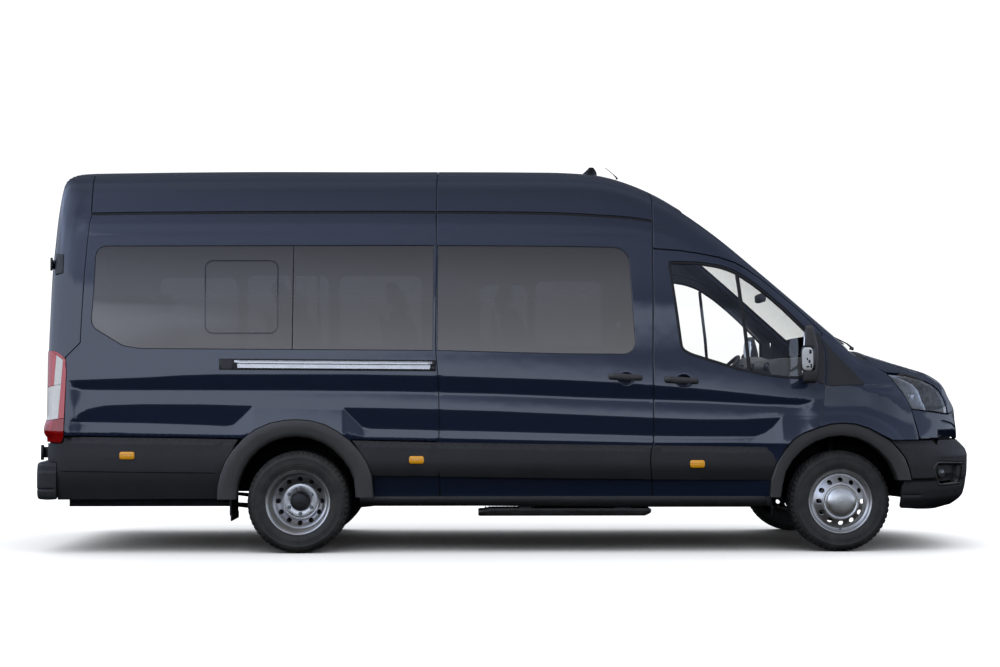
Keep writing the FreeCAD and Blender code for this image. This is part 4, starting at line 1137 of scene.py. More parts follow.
def front_cap():
    e0 = girth_edge(0.969, 2.111)
    e0[:, 0] = 0.969
    low = Girth.back(Side.at(line_pts([(p[0], p[1] + 0.004) for p in DOOR_TOP[:]], 0.03)))
    low[:, 0] = np.maximum(low[:, 0], 0.969)
    foot = Girth.back(Side.at(line_pts(PILLAR_FOOT, 0.02)))
    scr = Girth.back(Top.at(edge_line[::-1]))
    hd = Girth.back(Top.at(head_line[::-1]))
    right = np.concatenate([e0[::-1], low[1:], foot, scr, hd[1:]])
    outer = clean(np.concatenate([right, flip_y(right, Girth)[1:-1]]), 0.004)
    us = np.concatenate([np.arange(0.97, 1.30, 0.03), np.arange(1.31, 2.4, 0.04)])
    vs = np.concatenate([np.linspace(0.10, 1.25, 40), np.linspace(1.27, math.pi - 1.27, 20), np.linspace(math.pi - 1.25,
                                                                                                        math.pi - 0.10, 40)])
    return panel("cab_roof_skin", Girth, outer, (), mesh_grid(us, vs), thick=0.036, mats=P, lip=0.004, gap=0.0012)


cab_cap = front_cap()
put(cab_cap, "body", ["roof", "a_pillars"], "body_paint")

# rear corners and the strip over the doors, in one piece
REAR_EDGE = [(-0.905, 0.60), (-0.905, 1.60), (-0.893, 1.90), (-0.868, 2.15), (-0.842, 2.33), (-0.815, 2.43), (-0.780, 2.478),
             (-0.730, 2.500), (0.0, 2.506)]
seam_side = from_side([(-3.090, 1.337)] + CORNER[::-1], Tail, 0.025)
p0 = Girth.back(Side.at(np.array([[-2.943, 2.3385]])))[0, 1]
ph = np.linspace(p0, math.pi / 2, 40)[1:]
over = Tail.back(Girth.at(np.stack([lean(-2.9475, ph), ph], 1)))
right = np.concatenate([seam_side, over])
edge_up = from_rear([(-0.907, 1.392)] + REAR_EDGE[1:], Tail, 0.025)
portal_outer = clean(np.concatenate([right, flip_y(right, Tail)[1:], flip_y(edge_up, Tail)[::-1], edge_up[::-1][1:]]), 0.003)
portal = panel("rear_corner_skin", Tail, portal_outer, (),
               mesh_grid(np.linspace(-1.9, 1.9, 120), np.linspace(-0.2, 1.2, 50)), thick=0.036, mats=P, lip=0.0025,
               gap=0.0012)
put(portal, "body", ["roof"], "body_paint")


# =====================================================================================
# 7. nose: fenders, bonnet, fascia, grille, headlamps
# =====================================================================================
class Front:
    """u = y, v = z; rays go forwards (+X)."""

    @staticmethod
    def at(uv):
        o = np.stack([np.full(len(uv), 2.5), uv[:, 0], uv[:, 1]], 1)
        w = np.tile([1.0, 0.0, 0.0], (len(uv), 1))
        return hit(o, w, 0.05, 1.2)

    @staticmethod
    def back(p):
        return p[:, [1, 2]]


def from_front(pts, dom, step=0.02):
    return dom.back(Front.at(line_pts(pts, step)))


star_grid = mesh_grid(np.linspace(-2.2, 2.2, 130), np.linspace(-0.4, 1.4, 60))

pillar_foot = from_side(PILLAR_FOOT, Star)
ty = np.linspace(0.835, 0.0, 24)
# the fender reaches in to the cowl line beside the windscreen's foot
cowl_corner = Top.at(np.array([[2.345, -0.8325]]))
foot_to_bonnet = [(-0.8325, 2.345), (-0.850, 2.400), (-0.858, 2.478)]
fb = Star.back(Top.at(line_pts([(x, y) for y, x in foot_to_bonnet], 0.02)))
bon_side = [(2.476, 1.330), (2.516, 1.288), (2.537, 1.264), (2.585, 1.237)]
fen = np.concatenate([
    pillar_foot, fb[1:-1], from_side(bon_side, Star)[1:],
    from_side([(2.590, 1.226), (2.640, 1.163), (2.688, 1.101), (2.722, 1.046), (2.749, 0.987), (2.769, 0.914), (2.790, 0.845),
               (2.803, 0.778)], Star),
    from_side([(2.795, 0.776), (2.600, 0.776)], Star),
    from_side([p for p in FLARE_F_OUT if 2.10 < p[0] < 2.55][::-1] + [(2.106, 0.866)], Star),
    from_side(DOOR_FRONT[::-1], Star)])
fen = clean(fen, 0.004)


def fender_depth(p):
    """A soft bulge over the wheel arch and a crease towards the lamp."""
    x, z = p[:, 0], p[:, 2]
    r = np.hypot((x - 2.255) / 1.02, z - 0.36)
    d = 0.007 * smooth_step(r, 0.545, 0.60) * (1 - smooth_step(r, 0.66, 0.80))
    zc = 1.150 - 0.05 * (x - 2.40)
    d = d + 0.004 * np.exp(-((z - zc + 0.004) / 0.012) ** 2) * smooth_step(x, 2.40, 2.46) * (1 - smooth_step(x, 2.58, 2.66))
    return d


def ring_grid(c, rs, n, squash=1.0):
    a = np.linspace(0, math.pi, n)
    return np.concatenate([np.stack([c[0] + squash * r * np.cos(a), c[1] + r * np.sin(a)], 1) for r in rs])


fen_grid = Star.back(Side.at(np.concatenate([
    ring_grid((2.255, 0.36), (0.555, 0.575, 0.60, 0.63, 0.66, 0.70, 0.74, 0.78, 0.82), 60, 1.02),
    mesh_grid(np.arange(2.12, 2.80, 0.035), np.array([1.02, 1.06, 1.10, 1.13, 1.14, 1.15, 1.16, 1.18, 1.22, 1.26, 1.30, 1.34,
                                                      1.38, 1.42]))])))
right_fender = panel("front_right_fender_skin", Star, fen, (), fen_grid, thick=0.030, depth=fender_depth, mats=P, lip=0.003,
                     gap=0.0014, edge=0.0010)
left_fender = mirrored(right_fender, "front_left_fender_skin")
put(right_fender, "body", ["front_fenders"], "body_paint")
put(left_fender, "body", ["front_fenders"], "body_paint")

# bonnet
BON_SIDE = [(2.476, 1.330), (2.516, 1.288), (2.537, 1.264), (2.585, 1.2445), (2.680, 1.240), (2.780, 1.220), (2.876, 1.190),
            (2.952, 1.157), (3.004, 1.121), (3.037, 1.066), (3.0545, 1.001), (3.060, 0.953)]
LEADING = [(-0.792, 0.951), (-0.710, 0.964), (-0.620, 0.992), (-0.520, 1.046), (-0.430, 1.066), (0.0, 1.078)]
yy = np.linspace(-0.856, 0.0, 30)
bon_rear = Star.back(Top.at(np.stack([2.548 - 0.095 * yy ** 2, yy], 1)))
half = np.concatenate([bon_rear[::-1], from_side(BON_SIDE, Star)[1:-1], from_front(LEADING, Star)])
bon = clean(np.concatenate([half[::-1][:-1], half[:1], flip_y(half, Star)[::-1][1:-1]]), 0.004)


def bonnet_depth(p):
    """Two soft raised flanks and a lower middle."""
    x, y = p[:, 0], np.abs(p[:, 1])
    edge = 0.56 + 0.16 * smooth_step(2.95 - x, 0.0, 0.5)
    d = 0.010 * (1 - smooth_step(y, edge - 0.050, edge)) * (1 - smooth_step(x, 2.93, 3.12))
    return d - 0.004 * np.exp(-((y - edge - 0.02) / 0.035) ** 2) * (1 - smooth_step(x, 2.93, 3.12))


xg = np.concatenate([np.arange(2.46, 3.0, 0.045), np.arange(3.0, 3.25, 0.02)])
bon_grid = Star.back(Top.at(mesh_grid(xg, np.concatenate([np.arange(-0.86, -0.44, 0.016), np.arange(-0.44, 0.45, 0.06),
                                                          np.arange(0.45, 0.87, 0.016)]))))
bon_grid = np.concatenate([bon_grid, mesh_grid(np.linspace(-1.2, 1.2, 90), np.linspace(0.20, 0.62, 16))])
bonnet_skin = panel("bonnet_skin", Star, bon, (), bon_grid, thick=0.022, depth=bonnet_depth, mats=P, lip=0.003, gap=0.0022)
put(bonnet_skin, "bonnet", ["bonnet"], "body_paint")

# fascia: the painted strip under the lamps, with the grille opening
GRILLE = [(-0.425, 1.052, 0.02), (0.425, 1.052, 0.02), (0.560, 0.985, 0.03), (0.500, 0.836, 0.03), (0.440, 0.806, 0.02),
          (-0.440, 0.806, 0.02), (-0.500, 0.836, 0.03), (-0.560, 0.985, 0.03)]
grille_hole = rounded(GRILLE, 0.0, 0.03)
grille_star = Star.back(Front.at(grille_hole))
bottom = from_front([(-0.90, 0.776), (-0.60, 0.776), (0.0, 0.776)], Star)
side_up = from_side([(2.805, 0.776), (2.792, 0.845), (2.771, 0.914), (2.751, 0.985)], Star)
under_lamp = from_side([(2.804, 0.978), (2.888, 0.970), (2.985, 0.957), (3.050, 0.9495)], Star)
halff = np.concatenate([bottom[::-1], side_up, under_lamp, from_front(LEADING, Star)])
fas = clean(np.concatenate([halff, flip_y(halff, Star)[1:-1]]), 0.004)


def fascia_depth(p):
    """The shadowed pocket above the bumper, under a thin line that runs down beside the grille."""
    x, y, z = p[:, 0], np.abs(p[:, 1]), p[:, 2]
    top = 0.842 - 0.02 * smooth_step(x, 3.10, 3.20)
    d = 0.50 * soft_step(top - z, 0.0022) * smooth_step(x, 2.950, 2.958) * (1 - smooth_step(x, 3.165, 3.185))
    line = np.interp(x, [2.95, 3.0, 3.045, 3.09, 3.13, 3.155, 3.175, 3.19, 3.20, 3.21], [0.905, 0.902, 0.893, 0.883, 0.868, 0.853, 0.835,
                                                                                        0.817, 0.79, 0.76])
    d = d + 0.007 * np.exp(-((z - line) / 0.0048) ** 2) * smooth_step(x, 2.985, 3.01)
    return d


fas_rows = []
for x in np.concatenate([np.arange(2.76, 2.94, 0.03), [2.948, 2.951, 2.954, 2.957, 2.960], np.arange(2.97, 3.22, 0.012)]):
    for z in list(np.arange(0.782, 0.935, 0.0045)) + [0.95, 0.97, 0.99, 1.01, 1.03]:
        fas_rows.append((x, z))
fas_rows = Star.back(Side.at(np.array(fas_rows)))
fas_grid = np.concatenate([fas_rows, fas_rows * [-1, 1], Star.back(Front.at(mesh_grid(np.linspace(-0.55, 0.55, 24),
                                                                                      np.linspace(0.79, 1.06, 10))))])
fascia_skin = panel("fascia_skin", Star, fas, [grille_star], fas_grid, thick=0.028, depth=fascia_depth, mats=P, lip=0.003,
                    gap=0.0014, edge=0.0010)
put(fascia_skin, "body", ["grille"], "body_paint")
for i, (xa, xb) in enumerate(((2.94, 3.215),)):
    strip_ = clean(from_side([(xa, 0.764), (xb, 0.764), (xb, 0.835), (xa, 0.835), (xa, 0.764)], Star, 0.02)[:-1], 0.003)
    wall = panel("fascia_pocket_wall_right", Star, strip_, (), None, thick=0.006, depth=0.042, mats=[M["black"]], lip=0.0, gap=0.0)
    put(wall, "body", (), "textured_plastic")
    put(mirrored(wall, "fascia_pocket_wall_left"), "body", (), "textured_plastic")


def ring_panel(name, dom, outer, hole, thick, depth, mats, lip=0.002, **kw):
    return panel(name, dom, outer, [hole], None, thick=thick, depth=depth, mats=mats, lip=lip, gap=0.0006, hole_gap=0.0, **kw)


# grille: a gloss surround, slats and the mesh behind them
inner = inset(grille_hole, 0.030)
surround = ring_panel("grille_surround", Front, inset(grille_hole, 0.001), inner, 0.030, 0.002, [M["gloss"]], 0.004)
put(surround, "body", ["grille"], "black_plastic")


def band(name, dom_rows, thick, mats, depth=0.0, edge=0.002, nu=None):
    """A rounded bar that follows the nose: rows give (z at y=0, height, y limit, drop at the ends, depth)."""
    obs = []
    for z0, h, ymax, drop, dd in dom_rows:
        n = 40
        ys_ = np.linspace(-ymax, ymax, n)
        prof = [(-0.5, 0.0), (-0.42, 0.6), (-0.2, 0.95), (0.0, 1.0), (0.2, 0.95), (0.42, 0.6), (0.5, 0.0), (0.45, -2.5), (-0.45, -2.5)]
        base = Front.at(np.stack([ys_, z0 - drop * (ys_ / ymax) ** 2], 1))
        nn = normals(base)
        verts, faces = [], []
        for i in range(n):
            for a, b in prof:
                q = base[i] + np.array([0, 0, a * h]) + nn[i] * (b * 0.008 - dd)
                verts.append(q)
        k = len(prof)
        for i in range(n - 1):
            for j in range(k):
                a = i * k + j
                b = i * k + (j + 1) % k
                faces.append((a, b, b + k, a + k))
        faces.append(tuple(range(k))[::-1])
        faces.append(tuple((n - 1) * k + j for j in range(k)))
        obs.append((verts, faces))
    V_, F_ = [], []
    for v, f in obs:
        o = len(V_)
        V_ += v
        F_ += [tuple(i + o for i in g) for g in f]
    ob = new_object(name, V_, F_, None, mats)
    return outward(ob)


def outward(ob, angle=38.0):
    """Faces turned outwards, sharp edges kept and the rest smooth."""
    import bmesh

    bm = bmesh.new()
    bm.from_mesh(ob.data)
    bmesh.ops.recalc_face_normals(bm, faces=bm.faces)
    th = math.radians(angle)
    for e in bm.edges:
        e.smooth = not (len(e.link_faces) == 2 and e.calc_face_angle(0) > th)
    for f in bm.faces:
        f.smooth = True
    bm.to_mesh(ob.data)
    bm.free()
    return ob


slats = band("grille_slats", [(1.004, 0.020, 0.500, 0.006, 0.010), (0.958, 0.020, 0.535, 0.004, 0.010),
                              (0.912, 0.020, 0.515, 0.002, 0.010), (0.866, 0.020, 0.490, 0.0, 0.010)], 0.02, [M["gloss"]])
put(slats, "body", ["grille"], "black_plastic")

# mesh behind the slats
mesh_pts = inset(grille_hole, 0.004)
backing = panel("grille_backing", Front, mesh_pts, (), mesh_grid(np.linspace(-0.55, 0.55, 30), np.linspace(0.81, 1.05, 8)),
                thick=0.006, depth=0.055, mats=[M["black"]], lip=0.0, gap=0.0)
put(backing, "body", ["grille"], "black_plastic")


def honeycomb(name, y0, y1, z0, z1, cell, depth, keep, dom, mats, wall=0.0032, tall=0.012):
    """A net of hexagonal cells, each a small wall ring following the surface."""
    V_, F_ = [], []
    dx, dz = cell * 0.866, cell * 0.75
    rows = int((z1 - z0) / dz) + 1
    cols = int((y1 - y0) / dx) + 1
    cs = []
    for r in range(rows):
        for c in range(cols):
            cs.append((y0 + c * dx + (dx / 2 if r % 2 else 0), z0 + r * dz))
    cs = np.array(cs)
    cs = cs[inside(cs, keep)]
    if not len(cs):
        return None
    base = dom.at(cs)
    for (cy, cz), b in zip(cs, base):
        o = len(V_)
        for rr, xx in ((cell / 2, 0.0), (cell / 2 - wall, 0.0), (cell / 2 - wall, -tall), (cell / 2, -tall)):
            for q in range(6):
                a = math.pi / 6 + q * math.pi / 3
                V_.append((b[0] - depth + xx, cy + rr * math.cos(a), cz + rr * math.sin(a)))
        for q in range(6):
            n = (q + 1) % 6
            F_.append((o + q, o + n, o + 6 + n, o + 6 + q))
            F_.append((o + 6 + q, o + 6 + n, o + 12 + n, o + 12 + q))
            F_.append((o + 12 + q, o + 12 + n, o + 18 + n, o + 18 + q))
            F_.append((o + 18 + q, o + 18 + n, o + n, o + q))
    ob = new_object(name, V_, F_, None, mats, smooth=False)
    return outward(ob, 30)


net = honeycomb("grille_mesh", -0.55, 0.55, 0.81, 1.05, 0.030, 0.030, inset(grille_hole, 0.018), Front, [M["black"]])
put(net, "body", ["grille"], "black_plastic")

# headlamps
LAMP_STAR = clean(from_side(LAMP + [LAMP[0]], Star, 0.015)[:-1], 0.003)


def lamp_bulge(p):
    x, z = p[:, 0], p[:, 2]
    return -0.0015 + 0.0 * x


lamp_grid = Star.back(Side.at(mesh_grid(np.arange(2.60, 3.05, 0.022), np.arange(0.96, 1.23, 0.02))))
lens_r = panel("headlamp_lens_right", Star, LAMP_STAR, (), lamp_grid, thick=0.0035, depth=0.001, mats=[M["clear_lens"]],
               lip=0.003, gap=0.0028, edge=0.002)
rim_hole = inset(LAMP_STAR, 0.0095)
rim_r = panel("headlamp_rim_right", Star, inset(LAMP_STAR, 0.0012), [rim_hole], None, thick=0.030, depth=0.0052, mats=[M["gloss"]],
              lip=0.0, gap=0.0)


def bowl_depth(p):
    """The housing falls away from the lens and rises to it at the edge."""
    uv = Star.back(p)
    d = np.full(len(p), 9.0)
    a, b = LAMP_STAR, np.roll(LAMP_STAR, -1, 0)
    for q0, q1 in zip(a, b):
        e = q1 - q0
        t = np.clip(((uv - q0) @ e) / max(1e-12, e @ e), 0, 1)
        d = np.minimum(d, np.sqrt(np.sum((uv - q0 - t[:, None] * e) ** 2, 1)))
    return 0.012 + 0.075 * smooth_step(d, 0.008, 0.06)


bowl_grid = Star.back(Side.at(mesh_grid(np.arange(2.60, 3.05, 0.014), np.arange(0.955, 1.23, 0.012))))
bowl_r = panel("headlamp_housing_right", Star, LAMP_STAR, (), bowl_grid, thick=0.004, depth=bowl_depth, mats=[M["lamp_dark"]],
               lip=0.0, gap=0.006)


def reflector_bowl(name, centre, axis_way, radius, deep, mats, seg=40, rings=12, trim=None):
    """A small parabolic reflector with a bulb boss."""
    ax = Vector(axis_way).normalized()
    a = ax.orthogonal().normalized()
    b = ax.cross(a)
    V_, F_, mi = [], [], []
    prof = []
    for i in range(rings + 1):
        t = i / rings
        prof.append((radius * t, -deep * (1 - t * t)))
    prof += [(radius + 0.003, 0.001), (radius + 0.004, -0.004), (radius * 0.55, -deep * 0.80 - 0.004), (0.0, -deep - 0.005)]
    for r, h in prof:
        for q in range(seg):
            an = 2 * math.pi * q / seg
            V_.append(Vector(centre) + a * (r * math.cos(an)) + b * (r * math.sin(an)) + ax * h)
    for i in range(len(prof) - 1):
        for q in range(seg):
            n = (q + 1) % seg
            F_.append((i * seg + q, i * seg + n, (i + 1) * seg + n, (i + 1) * seg + q))
    ob = new_object(name, V_, F_, None, mats)
    import bmesh

    bm = bmesh.new()
    bm.from_mesh(ob.data)
    bmesh.ops.remove_doubles(bm, verts=bm.verts, dist=1e-5)
    bm.to_mesh(ob.data)
    bm.free()
    return outward(ob, 50)


def spot(x, z, deep, d=0.0):
    p = Side.at(np.array([[x, z]]))
    n = normals(p)
    return p[0] - n[0] * deep, n[0]


parts = []
for i, (x, z, r, deep, way) in enumerate(((2.915, 1.085, 0.040, 0.050, (0.75, -0.66, 0.02)), (2.925, 1.005, 0.026, 0.040, (0.75, -0.66, 0.02)),
                                          (2.800, 1.095, 0.036, 0.062, (0.80, -0.60, 0.02)))):
    c, n = spot(x, z, deep)
    parts.append(reflector_bowl(f"headlamp_reflector_{i + 1}_right", tuple(c), way, r, 0.028, [M["reflector"]]))
for i, pts_ in enumerate(([(2.868, 1.146), (2.916, 1.128), (2.938, 1.062), (2.872, 1.070)],
                          [(2.862, 1.026), (2.944, 1.016), (2.940, 0.990), (2.858, 0.998)],
                          [(2.962, 1.124), (2.988, 1.108), (3.022, 1.052), (3.036, 1.000), (3.040, 0.972), (2.968, 0.982), (2.958, 1.05)])):
    guide = panel(f"headlamp_light_guide_{i + 1}_right", Star, clean(from_side(pts_ + [pts_[0]], Star, 0.012)[:-1], 0.002), (), None,
                  thick=0.010, depth=0.013, mats=[M["lamp_white"]], lip=0.003, gap=0.001)
    parts.append(guide)
lamps_r = [lens_r, rim_r, bowl_r] + parts
for ob in lamps_r:
    put(ob, "body", ["headlamps"], "lamp_glass")
    o2 = mirrored(ob, ob.name.replace("right", "left"))
    put(o2, "body", ["headlamps"], "lamp_glass")


# =====================================================================================
# 8. bumpers
# =====================================================================================
def shape_field(xc, sign, x_of_z, w_of_z, n, x0):
    """A bumper's outer face: straight sides that turn into a bowed end."""

    def f(p):
        x, y, z = p[..., 0] * sign, np.abs(p[..., 1]), p[..., 2]
        w = w_of_z(z)
        a = x_of_z(z) - x0
        v = (y / w) ** n + (np.maximum(x - x0, 0) / a) ** n
        return (v ** (1 / n) - 1) * w

    return f


def shape_domain(f, xc, sign, reach=1.6):
    """u = azimuth from the bumper's middle line (towards +Y), v = z; and the same from the side."""

    class Dom:
        @staticmethod
        def at(uv):
            o = np.stack([np.full(len(uv), xc), np.zeros(len(uv)), uv[:, 1]], 1)
            w = np.stack([sign * np.cos(uv[:, 0]), np.sin(uv[:, 0]), np.zeros(len(uv))], 1)
            return hit(o, w, 0.1, reach, f=f)

        @staticmethod
        def back(p):
            return np.stack([np.arctan2(p[:, 1], sign * (p[:, 0] - xc)), p[:, 2]], 1)

        @staticmethod
        def normal(uv, p):
            return normals(p, f)

        @staticmethod
        def side(pts, step=0.02):
            q = line_pts(pts, step)
            o = np.stack([q[:, 0], np.zeros(len(q)), q[:, 1]], 1)
            return Dom.back(hit(o, np.tile([0.0, -1.0, 0.0], (len(q), 1)), 0.02, 1.3, f=f))

        @staticmethod
        def side_at(pts):
            o = np.stack([pts[:, 0], np.zeros(len(pts)), pts[:, 1]], 1)
            return hit(o, np.tile([0.0, -1.0, 0.0], (len(pts), 1)), 0.02, 1.3, f=f)

        @staticmethod
        def end(pts, step=0.02):
            q = line_pts(pts, step)
            o = np.stack([np.full(len(q), xc), q[:, 0], q[:, 1]], 1)
            return Dom.back(hit(o, np.tile([float(sign), 0.0, 0.0], (len(q), 1)), 0.05, reach, f=f))

        @staticmethod
        def end_at(pts):
            o = np.stack([np.full(len(pts), xc), pts[:, 0], pts[:, 1]], 1)
            return hit(o, np.tile([float(sign), 0.0, 0.0], (len(pts), 1)), 0.05, reach, f=f)

    return Dom


bump_x = curve([0.24, 0.281, 0.300, 0.324, 0.368, 0.411, 0.497, 0.584, 0.671, 0.714, 0.745, 0.762, 0.80],
               [2.90, 3.075, 3.180, 3.232, 3.286, 3.304, 3.320, 3.327, 3.323, 3.302, 3.272, 3.254, 3.248])
bump_w0 = lines([(0.24, 0.955), (0.30, 0.990), (0.36, 1.010), (0.44, 1.0165), (0.500, 1.0175), (0.5055, 1.0300), (0.60, 1.0320),
                 (0.74, 1.0270), (0.768, 1.0190), (0.80, 1.0180)], 0.004)
bump_field = shape_field(2.45, 1, bump_x, bump_w0, 2.75, 2.48)
FB = shape_domain(bump_field, 2.45, 1)

arch_side = [(2.600, 0.770), (2.652, 0.718), (2.704, 0.650), (2.731, 0.577), (2.745, 0.503), (2.700, 0.500), (2.676, 0.440),
             (2.672, 0.302)]
fb_half = np.concatenate([
    FB.end([(0.0, 0.765), (-0.55, 0.768), (-0.80, 0.771)])[:-1],
    FB.side([(3.02, 0.7725), (2.90, 0.7735), (2.600, 0.7735)])[0:],
    FB.side(arch_side)[1:],
    FB.side([(2.80, 0.292), (2.94, 0.284), (3.00, 0.283)])])
th = fb_half[-1][0]
az = np.linspace(th, 0, 26)[1:]
fb_half = np.concatenate([fb_half, np.stack([az, np.full(25, 0.283)], 1)])
fb_outer = clean(np.concatenate([fb_half, flip_y(fb_half, FB)[1:-1]]), 0.004)
FOG_OUT = [(2.897, 0.575, 0.04), (2.938, 0.629, 0.02), (3.190, 0.618, 0.012), (3.196, 0.600, 0.0), (3.176, 0.452, 0.02),
           (2.958, 0.447, 0.03), (2.930, 0.482, 0.02)]
FOG_IN = [(2.934, 0.562, 0.03), (2.960, 0.600, 0.015), (3.146, 0.595, 0.012), (3.135, 0.487, 0.015), (2.968, 0.480, 0.025)]
fog_out = FB.side(rounded(FOG_OUT, 0.0, 0.015), 1.0)
fog_in = FB.side(rounded(FOG_IN, 0.0, 0.015), 1.0)
INTAKE = rounded([(-0.50, 0.515, 0.03), (0.50, 0.515, 0.03), (0.60, 0.395, 0.03), (-0.60, 0.395, 0.03)], 0.0, 0.025)
intake = FB.end(INTAKE, 1.0)


def bumper_depth(p):
    """A raised rib along the lower edge, a sunk number-plate place and a groove along the valance."""
    x, y, z = p[:, 0], np.abs(p[:, 1]), p[:, 2]
    d = 0.0035 * np.exp(-((z - 0.3925) / 0.006) ** 2) * (1 - smooth_step(x, 2.80, 2.84))
    d = d + 0.006 * (1 - smooth_step(y, 0.272, 0.276)) * smooth_step(z, 0.552, 0.556) * (1 - smooth_step(z, 0.674, 0.678)) * (x > 3)
    soft = smooth_step(x, 2.88, 3.0)
    return d - 0.003 * soft * smooth_step(z, 0.645, 0.655) * (1 - smooth_step(z, 0.70, 0.73))


rows = [0.29, 0.31, 0.33, 0.35, 0.37, 0.384, 0.39, 0.3925, 0.395, 0.402, 0.42, 0.45, 0.48, 0.498, 0.503, 0.508, 0.515, 0.54,
        0.551, 0.557, 0.58, 0.61, 0.64, 0.650, 0.66, 0.673, 0.679, 0.69, 0.705, 0.72, 0.74, 0.755]
fb_grid = mesh_grid(np.concatenate([np.linspace(-1.45, -0.30, 64), np.linspace(-0.28, 0.28, 32), np.linspace(0.30, 1.45, 64)]),
                    np.array(rows))
front_bumper = panel("front_bumper_cover", FB, fb_outer, [fog_out, flip_y(fog_out, FB), intake], fb_grid, thick=0.030,
                     depth=bumper_depth, mats=[M["clad"], M["black"]], lip=0.003, gap=0.0015)
put(front_bumper, "body", ["front_bumper"], "textured_plastic")



def ring_dist(uv, ring):
    """How far each point is from an outline."""
    d = np.full(len(uv), 9.0)
    a, b = ring, np.roll(ring, -1, 0)
    for q0, q1 in zip(a, b):
        e = q1 - q0
        t = np.clip(((uv - q0) @ e) / max(1e-12, e @ e), 0, 1)
        d = np.minimum(d, np.sqrt(np.sum((uv - q0 - t[:, None] * e) ** 2, 1)))
    return d


def bezel_depth(p):
    """Shallow steps, each a little deeper towards the lamp."""
    d = ring_dist(FB.back(p), fog_out)
    return 0.004 - 0.004 * smooth_step(d, 0.004, 0.009) + 0.010 * smooth_step(d, 0.018, 0.022) + 0.008 * smooth_step(d, 0.029, 0.033)


bez_rings = np.concatenate([inset(fog_out, d) for d in (0.0065, 0.010, 0.014, 0.018, 0.020, 0.022, 0.026, 0.029, 0.031, 0.033)])
bez_rings = bez_rings[inside(bez_rings, fog_out)]
bezel = panel("fog_lamp_bezel_right", FB, fog_out, [fog_in], bez_rings, thick=0.050, depth=bezel_depth, mats=[M["mirror_back"]], lip=0.004,
              gap=0.0012)
bez_grid = mesh_grid(np.linspace(fog_in[:, 0].min(), fog_in[:, 0].max(), 14), np.linspace(0.47, 0.62, 10))
fog_back = panel("fog_lamp_recess_right", FB, inset(fog_in, -0.004), (), bez_grid, thick=0.004, depth=0.046, mats=[M["lamp_dark"]],
                 lip=0.0, gap=0.0)


def lamp_disc(name, centre, way, radius, mats, seg=36, dome=0.35, rim=0.006):
    """A small round lamp: a domed lens in a raised ring."""
    ax = Vector(way).normalized()
    a = ax.orthogonal().normalized()
    b = ax.cross(a)
    prof = [(0.0, dome * radius)]
    for i in range(1, 9):
        t = i / 8 * math.pi / 2
        prof.append((radius * math.sin(t), dome * radius * math.cos(t)))
    prof += [(radius + rim * 0.3, 0.004), (radius + rim, 0.001), (radius + rim, -0.018), (0.0, -0.018)]
    V_, F_, mi = [], [], []
    for r, h in prof:
        for q in range(seg):
            an = 2 * math.pi * q / seg
            V_.append(Vector(centre) + a * (r * math.cos(an)) + b * (r * math.sin(an)) + ax * h)
    for i in range(len(prof) - 1):
        for q in range(seg):
            n = (q + 1) % seg
            F_.append((i * seg + q, i * seg + n, (i + 1) * seg + n, (i + 1) * seg + q))
            mi.append(0 if i < 8 else 1)
    ob = new_object(name, V_, F_, None, mats, mi)
    import bmesh

    bm = bmesh.new()
    bm.from_mesh(ob.data)
    bmesh.ops.remove_doubles(bm, verts=bm.verts, dist=1e-5)
    bm.to_mesh(ob.data)
    bm.free()
    return outward(ob, 45)


q = FB.side_at(np.array([[3.004, 0.545]]))
qn = normals(q, bump_field)[0]
fog = lamp_disc("fog_lamp_right", tuple(q[0] - qn * 0.034), (0.60, -0.80, 0.0), 0.030, [M["clear_lens"], M["housing"]])
fog_shine = reflector_bowl("fog_lamp_reflector_right", tuple(q[0] - qn * 0.034 + np.array([-0.003, 0.004, 0])), (0.60, -0.80, 0.0), 0.027,
                           0.016, [M["reflector"]])
for ob in (bezel, fog_back, fog, fog_shine):
    put(ob, "body", ["front_bumper"], "black_plastic")
    put(mirrored(ob, ob.name.replace("right", "left")), "body", ["front_bumper"], "black_plastic")


def net_on(name, dom_end, y0, y1, z0, z1, cell, depth, keep, sign, mats, wall=0.003, tall=0.012):
    class D:
        @staticmethod
        def at(uv):
            return dom_end(uv)

    ob = honeycomb(name, y0, y1, z0, z1, cell, depth, keep, D, mats, wall, tall * sign)
    return ob


net2 = net_on("intake_mesh", FB.end_at, -0.62, 0.62, 0.38, 0.53, 0.034, 0.030, inset(INTAKE, -0.008), 1, [M["black"]])
put(net2, "body", ["front_bumper"], "black_plastic")
bar_pts = []
intake_back = panel("intake_backing", FB, inset(intake, -0.004), (), mesh_grid(np.linspace(-0.8, 0.8, 30), np.array([0.42, 0.45, 0.48])),
                    thick=0.004, depth=0.062, mats=[M["black"]], lip=0.0, gap=0.0)
put(intake_back, "body", ["front_bumper"], "black_plastic")


